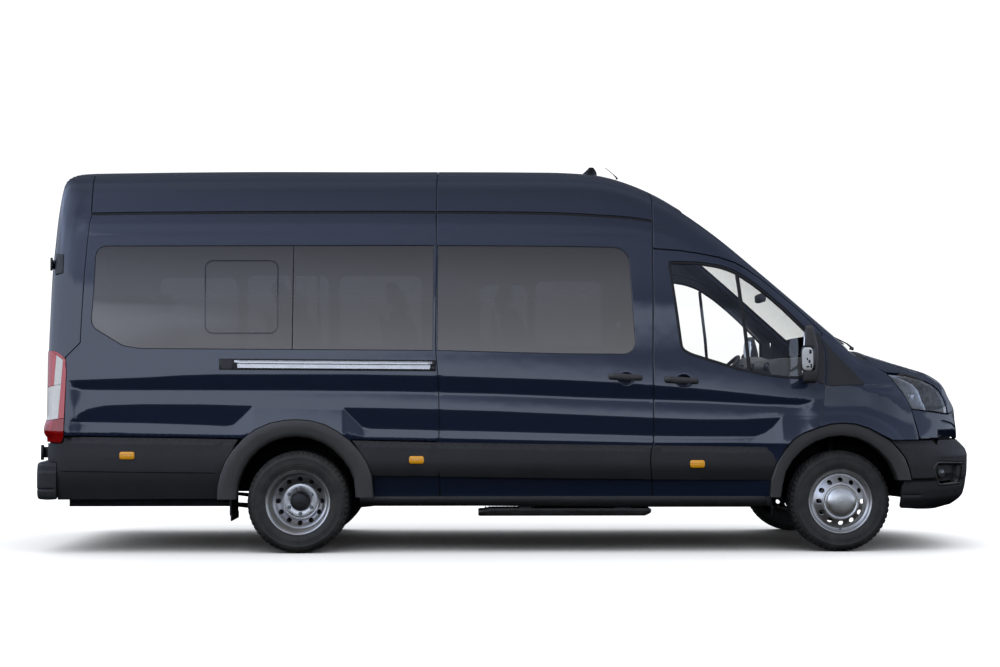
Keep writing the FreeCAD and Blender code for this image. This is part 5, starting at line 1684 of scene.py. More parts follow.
def flat_plate(name, place, mats, w=0.520, h=0.112, r=0.010, t=0.0015, rim=0.005):
    """A blank number plate with a raised rim; place maps (u, v, out) to a point."""
    out = rounded([(-w / 2, -h / 2, r), (w / 2, -h / 2, r), (w / 2, h / 2, r), (-w / 2, h / 2, r)], 0.0, 0.04)
    rings = [(out, -0.003), (out, t), (inset(out, 0.0015), t + 0.0008), (inset(out, rim), t + 0.0008), (inset(out, rim + 0.0012), t)]
    V_, F_ = [], []
    k = len(out)
    for ring, d in rings:
        for u, v in ring:
            V_.append(place(u, v, d))
    for i in range(len(rings) - 1):
        for j in range(k):
            n = (j + 1) % k
            F_.append((i * k + j, i * k + n, (i + 1) * k + n, (i + 1) * k + j))
    # the face in upright strips, so that it bends with the bumper
    o = (len(rings) - 1) * k
    lo = sorted([j for j in range(k) if rings[-1][0][j][1] < -1e-9], key=lambda j: rings[-1][0][j][0])
    us = [rings[-1][0][j][0] for j in lo]
    hi = [min((i for i in range(k) if rings[-1][0][i][1] > 1e-9),
              key=lambda i: abs(rings[-1][0][i][0] - rings[-1][0][j][0]) + abs(rings[-1][0][i][1] + rings[-1][0][j][1])) for j in lo]
    for a in range(len(lo) - 1):
        if us[a + 1] - us[a] > 1e-6:
            F_.append((o + lo[a], o + lo[a + 1], o + hi[a + 1], o + hi[a]))
    V_.append(place(0, 0, -0.003))
    for j in range(k):
        F_.append(((j + 1) % k, j, len(V_) - 1))
    return outward(new_object(name, V_, F_, None, mats), 30)


def front_plate_place(u, v, d):
    x = max(float(FB.end_at(np.array([[u, 0.615 + w]]))[0][0]) for w in (-0.056, -0.028, 0.0, 0.028, 0.056))
    return (x - 0.003 + d, u, 0.615 + v)


plate_f = flat_plate("front_number_plate", front_plate_place, [M["plate"]])
put(plate_f, "body", ["front_bumper"], "textured_plastic")

# a parking sensor on each corner
def stud(name, p, n, r, h, mats, seg=24):
    ax = Vector(n).normalized()
    a = ax.orthogonal().normalized()
    b = ax.cross(a)
    prof = [(0, h), (r * 0.72, h * 0.96), (r * 0.80, h * 0.55), (r * 0.92, h * 0.55), (r, h * 0.2), (r, -0.006), (0, -0.006)]
    V_, F_ = [], []
    for rr, hh in prof:
        for q_ in range(seg):
            an = 2 * math.pi * q_ / seg
            V_.append(Vector(p) + a * (rr * math.cos(an)) + b * (rr * math.sin(an)) + ax * hh)
    for i in range(len(prof) - 1):
        for q_ in range(seg):
            n_ = (q_ + 1) % seg
            F_.append((i * seg + q_, i * seg + n_, (i + 1) * seg + n_, (i + 1) * seg + q_))
    ob = new_object(name, V_, F_, None, mats)
    import bmesh

    bm = bmesh.new()
    bm.from_mesh(ob.data)
    bmesh.ops.remove_doubles(bm, verts=bm.verts, dist=1e-5)
    bm.to_mesh(ob.data)
    bm.free()
    return outward(ob, 40)


q = FB.side_at(np.array([[3.108, 0.420]]))
qn = normals(q, bump_field)[0]
sen = stud("parking_sensor_front_right", q[0] - qn * 0.001, qn, 0.0125, 0.003, [M["black"]])
put(sen, "body", ["front_bumper"], "black_plastic")
put(mirrored(sen, "parking_sensor_front_left"), "body", ["front_bumper"], "black_plastic")
tow_cover = stud("front_tow_cover", (FB.end_at(np.array([[-0.42, 0.56]]))[0][0] - 0.001, -0.42, 0.56), (1, -0.18, 0), 0.036, 0.002,
                 [M["clad"]], 40)
put(tow_cover, "body", ["front_bumper"], "textured_plastic")

# rear bumper: the profile runs round the plan
rb_x = curve([0.34, 0.366, 0.385, 0.427, 0.50, 0.565, 0.590, 0.612, 0.624], [3.284, 3.294, 3.300, 3.303, 3.3035, 3.303, 3.302, 3.299,
                                                                             3.293])
rb_w = lines([(0.34, 1.006), (0.366, 1.018), (0.39, 1.026), (0.44, 1.0305), (0.555, 1.033), (0.567, 1.031), (0.600, 1.031),
              (0.618, 1.029), (0.626, 1.020)], 0.004)
rb_field = shape_field(-2.9, -1, rb_x, rb_w, 12.0, 2.95)
RB = shape_domain(rb_field, -2.6, -1)
rb_half = np.concatenate([RB.end([(0.0, 0.6235), (-0.90, 0.6235)]), RB.side([(-3.20, 0.6235), (-3.137, 0.6235)]),
                          RB.side([(-3.137, 0.62), (-3.137, 0.372)]), RB.side([(-3.15, 0.370), (-3.20, 0.367)]),
                          RB.end([(-0.90, 0.364), (0.0, 0.364)])])
rb_outer = clean(np.concatenate([rb_half, flip_y(rb_half, RB)[1:-1]]), 0.003)
RPLATE = (0.0, 0.47)


def rb_depth(p):
    y, z = np.abs(p[:, 1]), p[:, 2]
    d = 0.010 * smooth_step(z, 0.578, 0.584) * (1 - smooth_step(z, 0.606, 0.612)) * (1 - smooth_step(y, 0.70, 0.72))
    return d + 0.004 * np.exp(-((z - 0.44) / 0.005) ** 2)


rb_grid = mesh_grid(np.concatenate([np.linspace(-1.45, -0.9, 30), np.linspace(-0.88, 0.88, 44), np.linspace(0.9, 1.45, 30)]),
                    np.array([0.38, 0.40, 0.42, 0.432, 0.437, 0.44, 0.443, 0.448, 0.46, 0.49, 0.52, 0.548, 0.556, 0.562, 0.568, 0.576,
                              0.581, 0.586, 0.595, 0.605, 0.609, 0.614]))
rear_bumper = panel("rear_bumper_cover", RB, rb_outer, (), rb_grid, thick=0.040, depth=rb_depth, mats=[M["clad"], M["black"]],
                    lip=0.003, gap=0.0012)
put(rear_bumper, "body", ["rear_bumper"], "textured_plastic")


def loft(name, rings, mats, closed_v=True, caps=True, mi=None, angle=38.0):
    """A skin through rings that have the same number of points."""
    k = len(rings[0])
    V_ = [tuple(p) for r in rings for p in r]
    F_ = []
    for i in range(len(rings) - 1):
        for j in range(k if closed_v else k - 1):
            n = (j + 1) % k
            F_.append((i * k + j, i * k + n, (i + 1) * k + n, (i + 1) * k + j))
    if caps:
        F_.append(tuple(range(k))[::-1])
        F_.append(tuple((len(rings) - 1) * k + j for j in range(k)))
    return outward(new_object(name, V_, F_, None, mats, mi), angle)


def plan_line(dom, z, n, lim):
    a = np.linspace(-lim, lim, n)
    return dom.at(np.stack([a, np.full(n, z)], 1))


# the ledge behind the front bumper's upper edge
edge_f = plan_line(FB, 0.768, 90, 1.12)
nf = normals(edge_f, bump_field)
nf[:, 2] = 0
nf /= np.linalg.norm(nf, axis=1, keepdims=True)
rings = []
for p, n in zip(edge_f, nf):
    rings.append([tuple(p - n * 0.006 + [0, 0, 0.002]), tuple(p - n * 0.085 + [0, 0, 0.006]), tuple(p - n * 0.085 + [0, 0, -0.004]),
                  tuple(p - n * 0.006 + [0, 0, -0.004])])
put(loft("front_bumper_ledge", rings, [M["black"]]), "body", (), "textured_plastic")

# the bumper's tread board
edge = plan_line(RB, 0.6235, 80, 1.40)
rings = []
for p in edge:
    inn = np.array([min(p[0] + 0.09, -3.145) if abs(p[1]) < 0.9 else p[0] * 0 - 3.145, p[1] * 0.93, 0])
    inn[0] = max(inn[0], p[0] + 0.03)
    inn[0] = -3.150
    o = np.array([p[0] + 0.004, p[1] * 0.998, 0])
    rings.append([(o[0], o[1], 0.6200), (o[0] + 0.003, o[1], 0.6245), (inn[0], inn[1], 0.6245), (inn[0], inn[1], 0.6150)])
board = loft("rear_bumper_tread", rings, [M["black"]])
put(board, "body", ["rear_bumper"], "textured_plastic")
ribs_v, ribs_f = [], []
for i in range(26):
    y = -0.72 + i * 1.44 / 25
    o = len(ribs_v)
    x0 = RB.end_at(np.array([[y, 0.60]]))[0][0] + 0.012
    for (dx, dz) in ((0, 0.0), (0.002, 0.0035), (0.088, 0.0035), (0.090, 0.0)):
        for dy in (-0.008, 0.008):
            ribs_v.append((x0 + dx, y + dy * (1 - dz * 60), 0.6243 + dz))
    ribs_f += [(o, o + 1, o + 3, o + 2), (o + 2, o + 3, o + 5, o + 4), (o + 4, o + 5, o + 7, o + 6), (o, o + 2, o + 4, o + 6),
               (o + 1, o + 7, o + 5, o + 3), (o, o + 6, o + 7, o + 1)]
put(outward(new_object("rear_bumper_grip_ribs", ribs_v, ribs_f, None, [M["black"]]), 30), "body", ["rear_bumper"], "textured_plastic")


# =====================================================================================
# 9. rear: doors, tail lamps, hinges
# =====================================================================================
EDGE_IN = [(-0.9005, 0.640), (-0.9005, 1.60), (-0.888, 1.90), (-0.863, 2.15), (-0.837, 2.33), (-0.811, 2.425), (-0.776, 2.472),
           (-0.727, 2.4935), (-0.0025, 2.4995)]
door_r = clean(dense(np.array([(-0.0025, 0.640)] + EDGE_IN[:1] + EDGE_IN[1:]), 0.025))
REAR_WIN = rounded([(-0.105, 1.415, 0.07), (-0.800, 1.415, 0.09), (-0.790, 1.85, 0.0), (-0.765, 2.16, 0.0), (-0.755, 2.238, 0.08),
                    (-0.105, 2.238, 0.07)], 0.0, 0.03)


def rear_door_depth(right):
    def f(p):
        y, z = p[:, 1], p[:, 2]
        a = -y if right else y
        # a step under the window that runs round to the lamps and a sunk panel below
        d = 0.010 * (1 - smooth_step(z, 1.270 - 0.012, 1.270 + 0.006))
        pan = smooth_step(a, 0.085, 0.105) * (1 - smooth_step(a, 0.80, 0.82)) * smooth_step(z, 0.735, 0.752) * (
            1 - smooth_step(z, 1.115, 1.135))
        d = d + 0.007 * pan
        return d

    return f


rd_rows = np.concatenate([np.arange(0.66, 2.49, 0.055), [0.735, 0.74, 0.745, 0.75, 1.113, 1.12, 1.127, 1.134, 1.256, 1.262, 1.268,
                                                        1.274]])
rd_cols = np.concatenate([np.linspace(-0.89, -0.02, 20), [-0.083, -0.09, -0.097, -0.104, -0.799, -0.806, -0.813, -0.82]])
rd_grid = mesh_grid(np.sort(rd_cols), np.sort(rd_rows))
rd = panel("rear_right_door_skin", Rear, door_r, [REAR_WIN], rd_grid, thick=0.050, depth=rear_door_depth(True), mats=P, lip=0.003,
           gap=0.0018)
put(rd, "rear_right_door", ["rear_right_door"], "body_paint")
put(mirrored(rd, "rear_left_door_skin"), "rear_left_door", ["rear_left_door"], "body_paint")

# tail lamps
LAMP_SIDE = [(-3.200, 1.389), (-3.170, 1.389), (-3.127, 1.369), (-3.091, 1.334), (-3.083, 1.245), (-3.087, 0.806),
             (-3.104, 0.760), (-3.200, 0.764)]
tl = np.concatenate([
    Corner.back(Rear.at(line_pts([(-0.909, 0.766), (-0.909, 1.389), (-0.93, 1.3895)], 0.03))),
    from_side(LAMP_SIDE, Corner, 0.02)])
tl = clean(tl, 0.004)


def lamp_depth(p):
    x, z = p[:, 0], p[:, 2]
    rear = smooth_step(-x, 3.14, 3.21)
    return -0.002 - 0.020 * rear * smooth_step(z, 0.79, 0.835) * (1 - smooth_step(z, 0.855, 0.94)) - 0.004 * rear


tl_rows = np.concatenate([np.arange(0.775, 0.96, 0.014), np.arange(0.97, 1.38, 0.028)])
tl_grid = mesh_grid(np.linspace(0.0, 1.9, 60), tl_rows)
# the lens is cut in bands: pink rim and strip, clear middle, dark red foot
inner_tl = inset(tl, 0.011)


def in_clear(uv):
    p = Corner.at(uv)
    y, z = p[:, 1], p[:, 2]
    return p, y, z


def lamp_band(name, keep, mats, depth_add, thick=0.012):
    pass


def clip_poly(poly, f):
    """The part of a closed outline where f(point) > 0."""
    out = []
    k = len(poly)
    for i in range(k):
        a, b = poly[i], poly[(i + 1) % k]
        fa, fb_ = f(a), f(b)
        if fa > 0:
            out.append(a)
        if (fa > 0) != (fb_ > 0):
            t = fa / (fa - fb_)
            out.append(a + (b - a) * t)
    return np.array(out)


# in Corner coordinates: u grows from the side (0) to the rear (pi/2)
def u_at_x(x, z=1.1):
    return float(Corner.back(Side.at(np.array([[x, z]])))[0, 0])


u_strip = u_at_x(-3.118)
u_white = u_at_x(-3.168)
foot_line = lambda q: q[1] - (0.928 - 0.045 * max(0.0, q[0] - u_strip))
foot = clip_poly(tl, lambda q: -foot_line(q))
upper = clip_poly(tl, foot_line)
strip = clip_poly(upper, lambda q: u_strip - q[0])
rest = clip_poly(upper, lambda q: q[0] - u_strip)
slant = lambda q: (1.362 - 0.16 * (u_white - q[0])) - q[1]
head = clip_poly(rest, lambda q: -slant(q))
rest = clip_poly(rest, slant)
low = clip_poly(rest, lambda q: 1.150 - 0.05 * (q[0] - u_white) - q[1])
high = clip_poly(rest, lambda q: q[1] - (1.150 - 0.05 * (q[0] - u_white)))
clear_hi = clip_poly(high, lambda q: u_white - q[0])
stop = clip_poly(high, lambda q: q[0] - u_white)
tl_parts = []
for nm, poly, mat in (("strip", strip, "pink"), ("foot", foot, "red"), ("head", head, "pink"), ("clear", low, "white_lens"),
                      ("clear_top", clear_hi, "white_lens"), ("stop", stop, "pink")):
    poly = clean(dense(poly, 0.02), 0.002)
    ob = panel(f"tail_lamp_{nm}_right", Corner, poly, (), tl_grid, thick=0.010, depth=lamp_depth, mats=[M[mat]], lip=0.0025,
               gap=0.0008)
    tl_parts.append(ob)
back_ob = panel("tail_lamp_housing_right", Corner, tl, (), tl_grid, thick=0.004, depth=lambda p: lamp_depth(p) + 0.026, mats=[M["housing"]],
                lip=0.0, gap=0.003)
shine = panel("tail_lamp_reflector_right", Corner, clean(inset(low, 0.008), 0.002), (), tl_grid, thick=0.002,
              depth=lambda p: lamp_depth(p) + 0.020, mats=[M["reflector"]], lip=0.0, gap=0.0)
for ob in tl_parts + [back_ob, shine]:
    put(ob, "body", ["tail_lamps"], "red_lamp")
    put(mirrored(ob, ob.name.replace("right", "left")), "body", ["tail_lamps"], "red_lamp")


# =====================================================================================
# 10. cladding, arch flares, sills, step, rail, handles and small outside parts
# =====================================================================================
clad_x = curve([0.30, 0.62, 0.76, 0.82], [-3.245, -3.252, -3.250, -3.248])


def clad_width(x, z):
    t = line_f(x) - 0.001 - z
    rear = smooth_step(-x, 1.95, 2.05)
    w = 1.0190 + 0.0105 * smooth_step(t, 0.0, 0.011) + 0.0035 * smooth_step(t, 0.010, 0.16)
    zc = 0.564 + (x + 3.03) * (-0.0127)
    w = w - rear * (0.0040 * smooth_step(zc - z, -0.002, 0.003) + 0.20 * soft_step(0.535 - z, 0.035))
    w = w - (1 - rear) * 0.26 * soft_step(0.585 - z, 0.025)
    return w


def clad_field(p):
    x, y, z = p[..., 0], np.abs(p[..., 1]), p[..., 2]
    w = clad_width(x, z)
    b = REAR_X0 - clad_x(z)
    v = (y / w) ** 8 + (np.maximum(REAR_X0 - x, 0) / b) ** 8
    return (v ** 0.125 - 1) * w


class Clad:
    @staticmethod
    def at(uv):
        o = np.stack([uv[:, 0], np.zeros(len(uv)), uv[:, 1]], 1)
        return hit(o, np.tile([0.0, -1.0, 0.0], (len(uv), 1)), 0.3, 1.2, f=clad_field)

    @staticmethod
    def back(p):
        return p[:, [0, 2]]

    @staticmethod
    def normal(uv, p):
        return normals(p, clad_field)


def clad_grid(x0, x1):
    xs = np.arange(x0, x1, 0.06)
    rows = [np.stack([xs, line_f(xs) - o], 1) for o in (0.004, 0.006, 0.009, 0.013, 0.020, 0.05, 0.09, 0.13, 0.17)]
    rows += [np.stack([xs, np.full(len(xs), z)], 1) for z in (0.39, 0.42, 0.45, 0.48, 0.51, 0.53, 0.55, 0.57, 0.59, 0.61, 0.64)]
    rows += [np.stack([xs, 0.564 + (xs + 3.03) * (-0.0127) + o], 1) for o in (-0.008, -0.004, -0.001, 0.002, 0.005)]
    if x0 < -3.0:
        rows.append(mesh_grid(np.array([-3.21, -3.205, -3.195, -3.18, -3.165, -3.15]), np.arange(0.63, 0.80, 0.02)))
    return np.concatenate(rows)


def top_edge(x0, x1, d=-0.0015):
    return [(float(x), float(line_f(x)) + d) for x in np.linspace(x0, x1, max(2, int(abs(x1 - x0) / 0.1)))]


def offset_line(pts, d):
    p = np.array(pts, float)
    t = np.gradient(p, axis=0)
    t /= np.maximum(np.linalg.norm(t, axis=1, keepdims=True), 1e-9)
    return p + np.stack([-t[:, 1], t[:, 0]], 1) * d


RF = np.array(FLARE_R_OUT)
FF = np.array(FLARE_F_OUT)
clads = {}
CL = {
    "rear": [(-3.214, 0.7565), (-3.106, 0.7565), (-3.092, 0.770), (-3.088, 0.802)] + top_edge(-3.08, -1.900) +
            [tuple(p) for p in RF if p[0] < -1.87][::-1] + [(-2.043, 0.372), (-3.1385, 0.367), (-3.1385, 0.6275), (-3.214, 0.6285)],
    "mid": top_edge(-1.122, -0.5245) + [(-0.5245, 0.527), (-0.981, 0.529)] + [tuple(p) for p in RF if -1.11 < p[0] < -0.982][::-1],
    "slide": top_edge(-0.5225, 0.9545) + [(0.938, 0.708), (0.9315, 0.640), (0.9345, 0.571), (0.9415, 0.516), (0.944, 0.503),
                                         (0.310, 0.510), (-0.103, 0.516), (-0.518, 0.5225), (-0.5275, 0.573), (-0.5375, 0.662),
                                         (-0.5385, 0.730), (-0.529, 0.757)],
    "door": top_edge(0.959, 1.868) + [tuple(p) for p in FF if p[0] < 1.87][::-1][:4] + [(1.7635, 0.497), (0.950, 0.501),
                                                                                  (0.9465, 0.516), (0.9395, 0.571),
                                                                                  (0.9365, 0.640), (0.9425, 0.708)],
    "long": top_edge(-1.122, 0.9545) + [(0.938, 0.708), (0.9315, 0.640), (0.9345, 0.571), (0.9415, 0.516), (0.944, 0.503),
                                       (-0.5245, 0.522), (-0.981, 0.529)] + [tuple(p) for p in RF if -1.11 < p[0] < -0.982][::-1],
}
for nm, pts in CL.items():
    o = clean(dense(np.array(pts, float), 0.03), 0.003)
    clads[nm] = panel("cladding_" + nm, Clad, o, (), clad_grid(o[:, 0].min() + 0.01, o[:, 0].max()), thick=0.012,
                      mats=[M["clad"]], lip=0.003, gap=0.0012, edge=0.0022)
clads["rear"].name, clads["mid"].name = "cladding_rear_right", "cladding_middle_right"
clads["slide"].name, clads["door"].name = "cladding_sliding_door", "cladding_front_right_door"
put(clads["rear"], "body", ["side_cladding"], "textured_plastic")
put(mirrored(clads["rear"], "cladding_rear_left"), "body", ["side_cladding"], "textured_plastic")
put(clads["mid"], "body", ["side_cladding"], "textured_plastic")
put(clads["slide"], "body", ["side_cladding"], "textured_plastic")
put(clads["door"], "front_right_door", ["front_right_door"], "textured_plastic")
put(mirrored(clads["door"], "cladding_front_left_door"), "front_left_door", ["front_left_door"], "textured_plastic")
put(mirrored(clads["long"], "cladding_long_left"), "body", ["side_cladding"], "textured_plastic")
bpy.data.objects.remove(clads["long"])


def arch_flare(name, outer, inner_, crest, base_out, lip_in, mats, n=90):
    """A swept arch moulding: a quick step off the body, a flat face and a rolled edge into the wheelhouse."""
    o = dense(np.array(outer, float), 0.004, False)
    i = dense(np.array(inner_, float), 0.004, False)

    def resample(p, k):
        s = np.concatenate([[0], np.cumsum(np.linalg.norm(np.diff(p, axis=0), axis=1))])
        t = np.linspace(0, s[-1], k)
        return np.stack([np.interp(t, s, p[:, 0]), np.interp(t, s, p[:, 1])], 1)

    o, i = resample(o, n), resample(i, n)
    prof = [(0.0, base_out - 0.020), (0.0, base_out + 0.006), (0.006, base_out + 0.014), (0.030, crest - 0.006), (0.10, crest - 0.001),
            (0.40, crest), (0.75, crest - 0.002), (0.92, crest - 0.006), (0.975, crest - 0.012), (1.0, crest - 0.022),
            (1.0, lip_in), (0.94, lip_in), (0.94, crest - 0.028), (0.10, base_out - 0.010)]
    rings = []
    for a, b in zip(o, i):
        ring = []
        for s, w in prof:
            q = a + (b - a) * s
            ring.append((q[0], -w, q[1]))
        rings.append(ring)
    return loft(name, rings, mats, True, True, angle=32)


fr = arch_flare("rear_arch_flare_right", [(-2.041, 0.373)] + FLARE_R_OUT[:-1] + [(-0.970, 0.386)],
                [(-1.908, 0.373)] + FLARE_R_IN[:-1] + [(-1.094, 0.386)], 1.058, 1.014, 0.960, [M["flare"]])
ff = arch_flare("front_arch_flare_right", FLARE_F_OUT[2:] if False else [p for p in FLARE_F_OUT if p[0] > 2.08],
                [p for p in FLARE_F_IN if p[0] > 2.12][:-1] + [(2.640, 0.500)], 1.043, 1.005, 0.950, [M["flare"]])
put(fr, "body", ["arch_flares"], "textured_plastic")
put(mirrored(fr, "rear_arch_flare_left"), "body", ["arch_flares"], "textured_plastic")
put(ff, "body", ["arch_flares"], "textured_plastic")
put(mirrored(ff, "front_arch_flare_left"), "body", ["arch_flares"], "textured_plastic")
# the part of the front flare behind the wheel's top stays on the body, below the door
fd = arch_flare("front_arch_flare_foot_right", [p for p in FLARE_F_OUT if p[0] < 2.10], [p for p in FLARE_F_IN if p[0] < 2.17], 1.043,
                1.010, 0.950, [M["flare"]])
put(fd, "body", ["arch_flares"], "textured_plastic")
put(mirrored(fd, "front_arch_flare_foot_left"), "body", ["arch_flares"], "textured_plastic")

# painted sill strips below the cladding, and the black sills under them
for nm, x1, sd in (("right", -0.5215, 1), ("left", 0.9485, -1)):
    pts = [(-0.972, 0.389), (-0.972, 0.470), (-0.984, 0.5325), (-0.5215, 0.530)]
    pts += [(x1, 0.5135)] if x1 > 0 else []
    pts += [(x1, 0.387)]
    g = mesh_grid(np.arange(-0.96, x1, 0.07), np.array([0.40, 0.43, 0.46, 0.485, 0.495, 0.505, 0.52]))
    ob = panel("sill_strip_" + nm, Side, clean(dense(np.array(pts), 0.03)), (), g, thick=0.03, mats=P, lip=0.003, gap=0.0012)
    if sd < 0:
        o2 = mirrored(ob, "sill_strip_left")
        bpy.data.objects.remove(ob)
        ob = o2
    put(ob, "body", ["left_side_panel"] if sd < 0 else ["right_rear_side_panel"], "body_paint")

rings = []
for x in np.linspace(-1.068, 1.764, 60):
    e = min(abs(x + 1.068), abs(1.764 - x))
    k = 0.012 * max(0, 1 - e / 0.03)
    z0 = 0.3255 - 0.0135 * smooth_step(x, -1.0, 1.0)
    rings.append([(x, -0.988 + k, 0.3875), (x, -0.990 + k, 0.372), (x, -0.986 + k, z0 + 0.016), (x, -0.978 + k, z0 + 0.004),
                  (x, -0.962 + k, z0), (x, -0.905, z0), (x, -0.895, z0 + 0.012), (x, -0.893, 0.3875)])
sill = loft("rocker_sill_right", rings, [M["black"]])
put(sill, "body", (), "textured_plastic")
put(mirrored(sill, "rocker_sill_left"), "body", (), "textured_plastic")


def bevel_box(bm, lo, hi, r=0.004, seg=2, turn=None):
    """Adds one rounded block to a bmesh."""
    import bmesh

    g = bmesh.ops.create_cube(bm, size=1.0)
    vs = g["verts"]
    for v in vs:
        v.co = Vector(((v.co.x + 0.5) * (hi[0] - lo[0]) + lo[0], (v.co.y + 0.5) * (hi[1] - lo[1]) + lo[1],
                       (v.co.z + 0.5) * (hi[2] - lo[2]) + lo[2]))
    es = list({e for v in vs for e in v.link_edges})
    if r > 0:
        out = bmesh.ops.bevel(bm, geom=es, offset=min(r, 0.45 * min(hi[i] - lo[i] for i in range(3))), segments=seg, profile=0.5,
                              affect="EDGES")
        vs = list({v for f in out["faces"] for v in f.verts} | {v for v in vs if v.is_valid})
    if turn is not None:
        for v in vs:
            v.co = turn @ v.co
    return vs


def blocks(name, items, mats, r=0.004, seg=2, angle=25):
    import bmesh

    bm = bmesh.new()
    for it in items:
        bevel_box(bm, it[0], it[1], it[2] if len(it) > 2 else r, seg, it[3] if len(it) > 3 else None)
    me = bpy.data.meshes.new(name)
    bm.to_mesh(me)
    bm.free()
    for m in mats:
        me.materials.append(m)
    ob = bpy.data.objects.new(name, me)
    scene.collection.objects.link(ob)
    return outward(ob, angle)


# side step
rings = []
for x, e in [(-0.252, 0.012), (-0.250, 0.006), (-0.240, 0.0)] + [(x, 0.0) for x in np.linspace(-0.22, 0.90, 20)] + [
        (0.930, 0.0), (0.9425, 0.006), (0.9445, 0.012)]:
    drop = 0.0 if x > -0.215 else 0.010
    z0, z1 = 0.252 + e * 0.5, 0.3025 - e * 0.5 - drop
    if x > 0.90:
        z0 += (x - 0.90) * 0.42
    y0 = -0.985 + e
    rings.append([(x, y0 + 0.006, z1), (x, y0, z1 - 0.007), (x, y0, z1 - 0.016), (x, y0 + 0.014, z0 + 0.003), (x, y0 + 0.022, z0),
                  (x, -0.752 - e, z0), (x, -0.748 - e, z0 + 0.004), (x, -0.748 - e, z1)])
step = loft("side_step_board", rings, [M["step_dark"]])
put(step, "body", ["side_step"], "textured_plastic")
grip = []
for i in range(44):
    x = -0.20 + i * 1.10 / 43
    grip.append(((x - 0.005, -0.968, 0.3015), (x + 0.005, -0.770, 0.3055), 0.0015))
put(blocks("side_step_grip", grip, [M["step"]], 0.0015, 1), "body", ["side_step"], "textured_plastic")
put(blocks("side_step_brackets", [((0.030, -0.958, 0.296), (0.118, -0.78, 0.3165)), ((0.700, -0.958, 0.296), (0.800, -0.78, 0.3165)),
                                  ((0.050, -0.93, 0.300), (0.098, -0.86, 0.335)), ((0.726, -0.93, 0.300), (0.774, -0.86, 0.335))],
           [M["dark_metal"]], 0.003), "body", ["side_step"], "chassis_paint")

# the sliding door's rail
rail_c = lambda x: 1.2985 - 0.0067 * (x + 2.037)


def on_side(x, z, d=0.0, f=None):
    """Points d outside the painted side."""
    x, z = np.broadcast_arrays(np.asarray(x, float), np.asarray(z, float))
    p = Side.at(np.stack([x.ravel(), z.ravel()], 1))
    return p + np.array([0, -1.0, 0]) * np.asarray(d).reshape(-1, 1) if np.ndim(d) else p + np.array([0, -d, 0])


def side_bar(name, x0, x1, zc, prof, mats, n=40, ends=0.003, angle=35):
    """A moulding along the side: prof lists (dz, out)."""
    rings = []
    xs_ = np.concatenate([[x0, x0 + ends], np.linspace(x0 + ends * 2, x1 - ends * 2, n), [x1 - ends, x1]])
    for i, x in enumerate(xs_):
        z = float(zc(x))
        e = 0.35 if i in (0, len(xs_) - 1) else (0.8 if i in (1, len(xs_) - 2) else 1.0)
        q = on_side(np.full(len(prof), x), np.array([z + dz * (0.9 + 0.1 * e) for dz, _ in prof]))
        rings.append([(x, q[j][1] - prof[j][1] * (e if prof[j][1] > 0 else 1.0), z + prof[j][0] * (0.9 + 0.1 * e)) for j in
                      range(len(prof))])
    return loft(name, rings, mats, True, True, angle=angle)


frame_prof = [(-0.0385, -0.004), (-0.0385, 0.0035), (-0.035, 0.005), (-0.031, 0.0045), (-0.029, 0.0005), (0.029, 0.0005), (0.031, 0.0045),
              (0.035, 0.005), (0.0385, 0.0035), (0.0385, -0.004)]
put(side_bar("door_rail_frame", -2.037, -0.5445, rail_c, frame_prof, [M["seal"]]), "body", ["right_rear_side_panel"], "black_plastic")
put(side_bar("door_rail_bar_upper", -1.934, -0.566, lambda x: rail_c(x) + 0.0175,
             [(-0.0110, 0.0), (-0.0110, 0.0075), (-0.0090, 0.0090), (0.0, 0.0091), (0.0090, 0.0090), (0.0110, 0.0075), (0.0110, 0.0)],
             [M["rail"]]), "body", ["right_rear_side_panel"], "wheel_steel")
put(side_bar("door_rail_bar_lower", -1.914, -0.580, lambda x: rail_c(x) - 0.0115,
             [(-0.0155, 0.0), (-0.0155, 0.0095), (-0.0130, 0.0115), (0.0, 0.0116), (0.0130, 0.0115), (0.0155, 0.0095), (0.0155, 0.0)],
             [M["rail"]]), "body", ["right_rear_side_panel"], "wheel_steel")
put(side_bar("door_rail_end", -2.033, -1.936, rail_c,
             [(-0.0345, 0.0), (-0.0345, 0.004), (-0.031, 0.0065), (0.031, 0.0065), (0.0345, 0.004), (0.0345, 0.0)],
             [M["clad"]], n=6), "body", ["right_rear_side_panel"], "black_plastic")
put(side_bar("door_rail_stop", -0.577, -0.5475, rail_c,
             [(-0.032, 0.0), (-0.032, 0.006), (-0.028, 0.009), (-0.006, 0.009), (0.0, 0.004), (0.006, 0.009), (0.028, 0.009),
              (0.032, 0.006), (0.032, 0.0)], [M["black"]], n=4), "body", ["right_rear_side_panel"], "black_plastic")


def handle(name, x0, x1, z0, z1, cup_x, cup_z):
    """A pull handle on two feet, over a dished cup."""
    rings = []
    n = 30
    for i in range(n + 1):
        t = i / n
        x = x0 + (x1 - x0) * t
        z = z0 + (z1 - z0) * t
        e = min(t, 1 - t) * (x1 - x0)
        hh = (0.0235 - 0.004 * t) * (0.62 + 0.38 * min(1, e / 0.010))
        y = float(on_side(x, z)[0][1])
        rise = 0.014 + 0.016 * min(1, e / 0.030)
        foot = 0.0 if e < 0.040 else 0.012 * min(1, (e - 0.040) / 0.02)
        ring = []
        for a in range(12):
            an = 2 * math.pi * a / 12
            cy, cz = math.cos(an), math.sin(an)
            ring.append((x, y - foot - (rise - foot) * (0.5 + 0.5 * math.copysign(abs(cy) ** 0.55, cy)), z + hh * math.copysign(
                abs(cz) ** 0.7, cz)))
        rings.append(ring)
    return loft(name, rings, [M["mirror_back"]], True, True, angle=50)


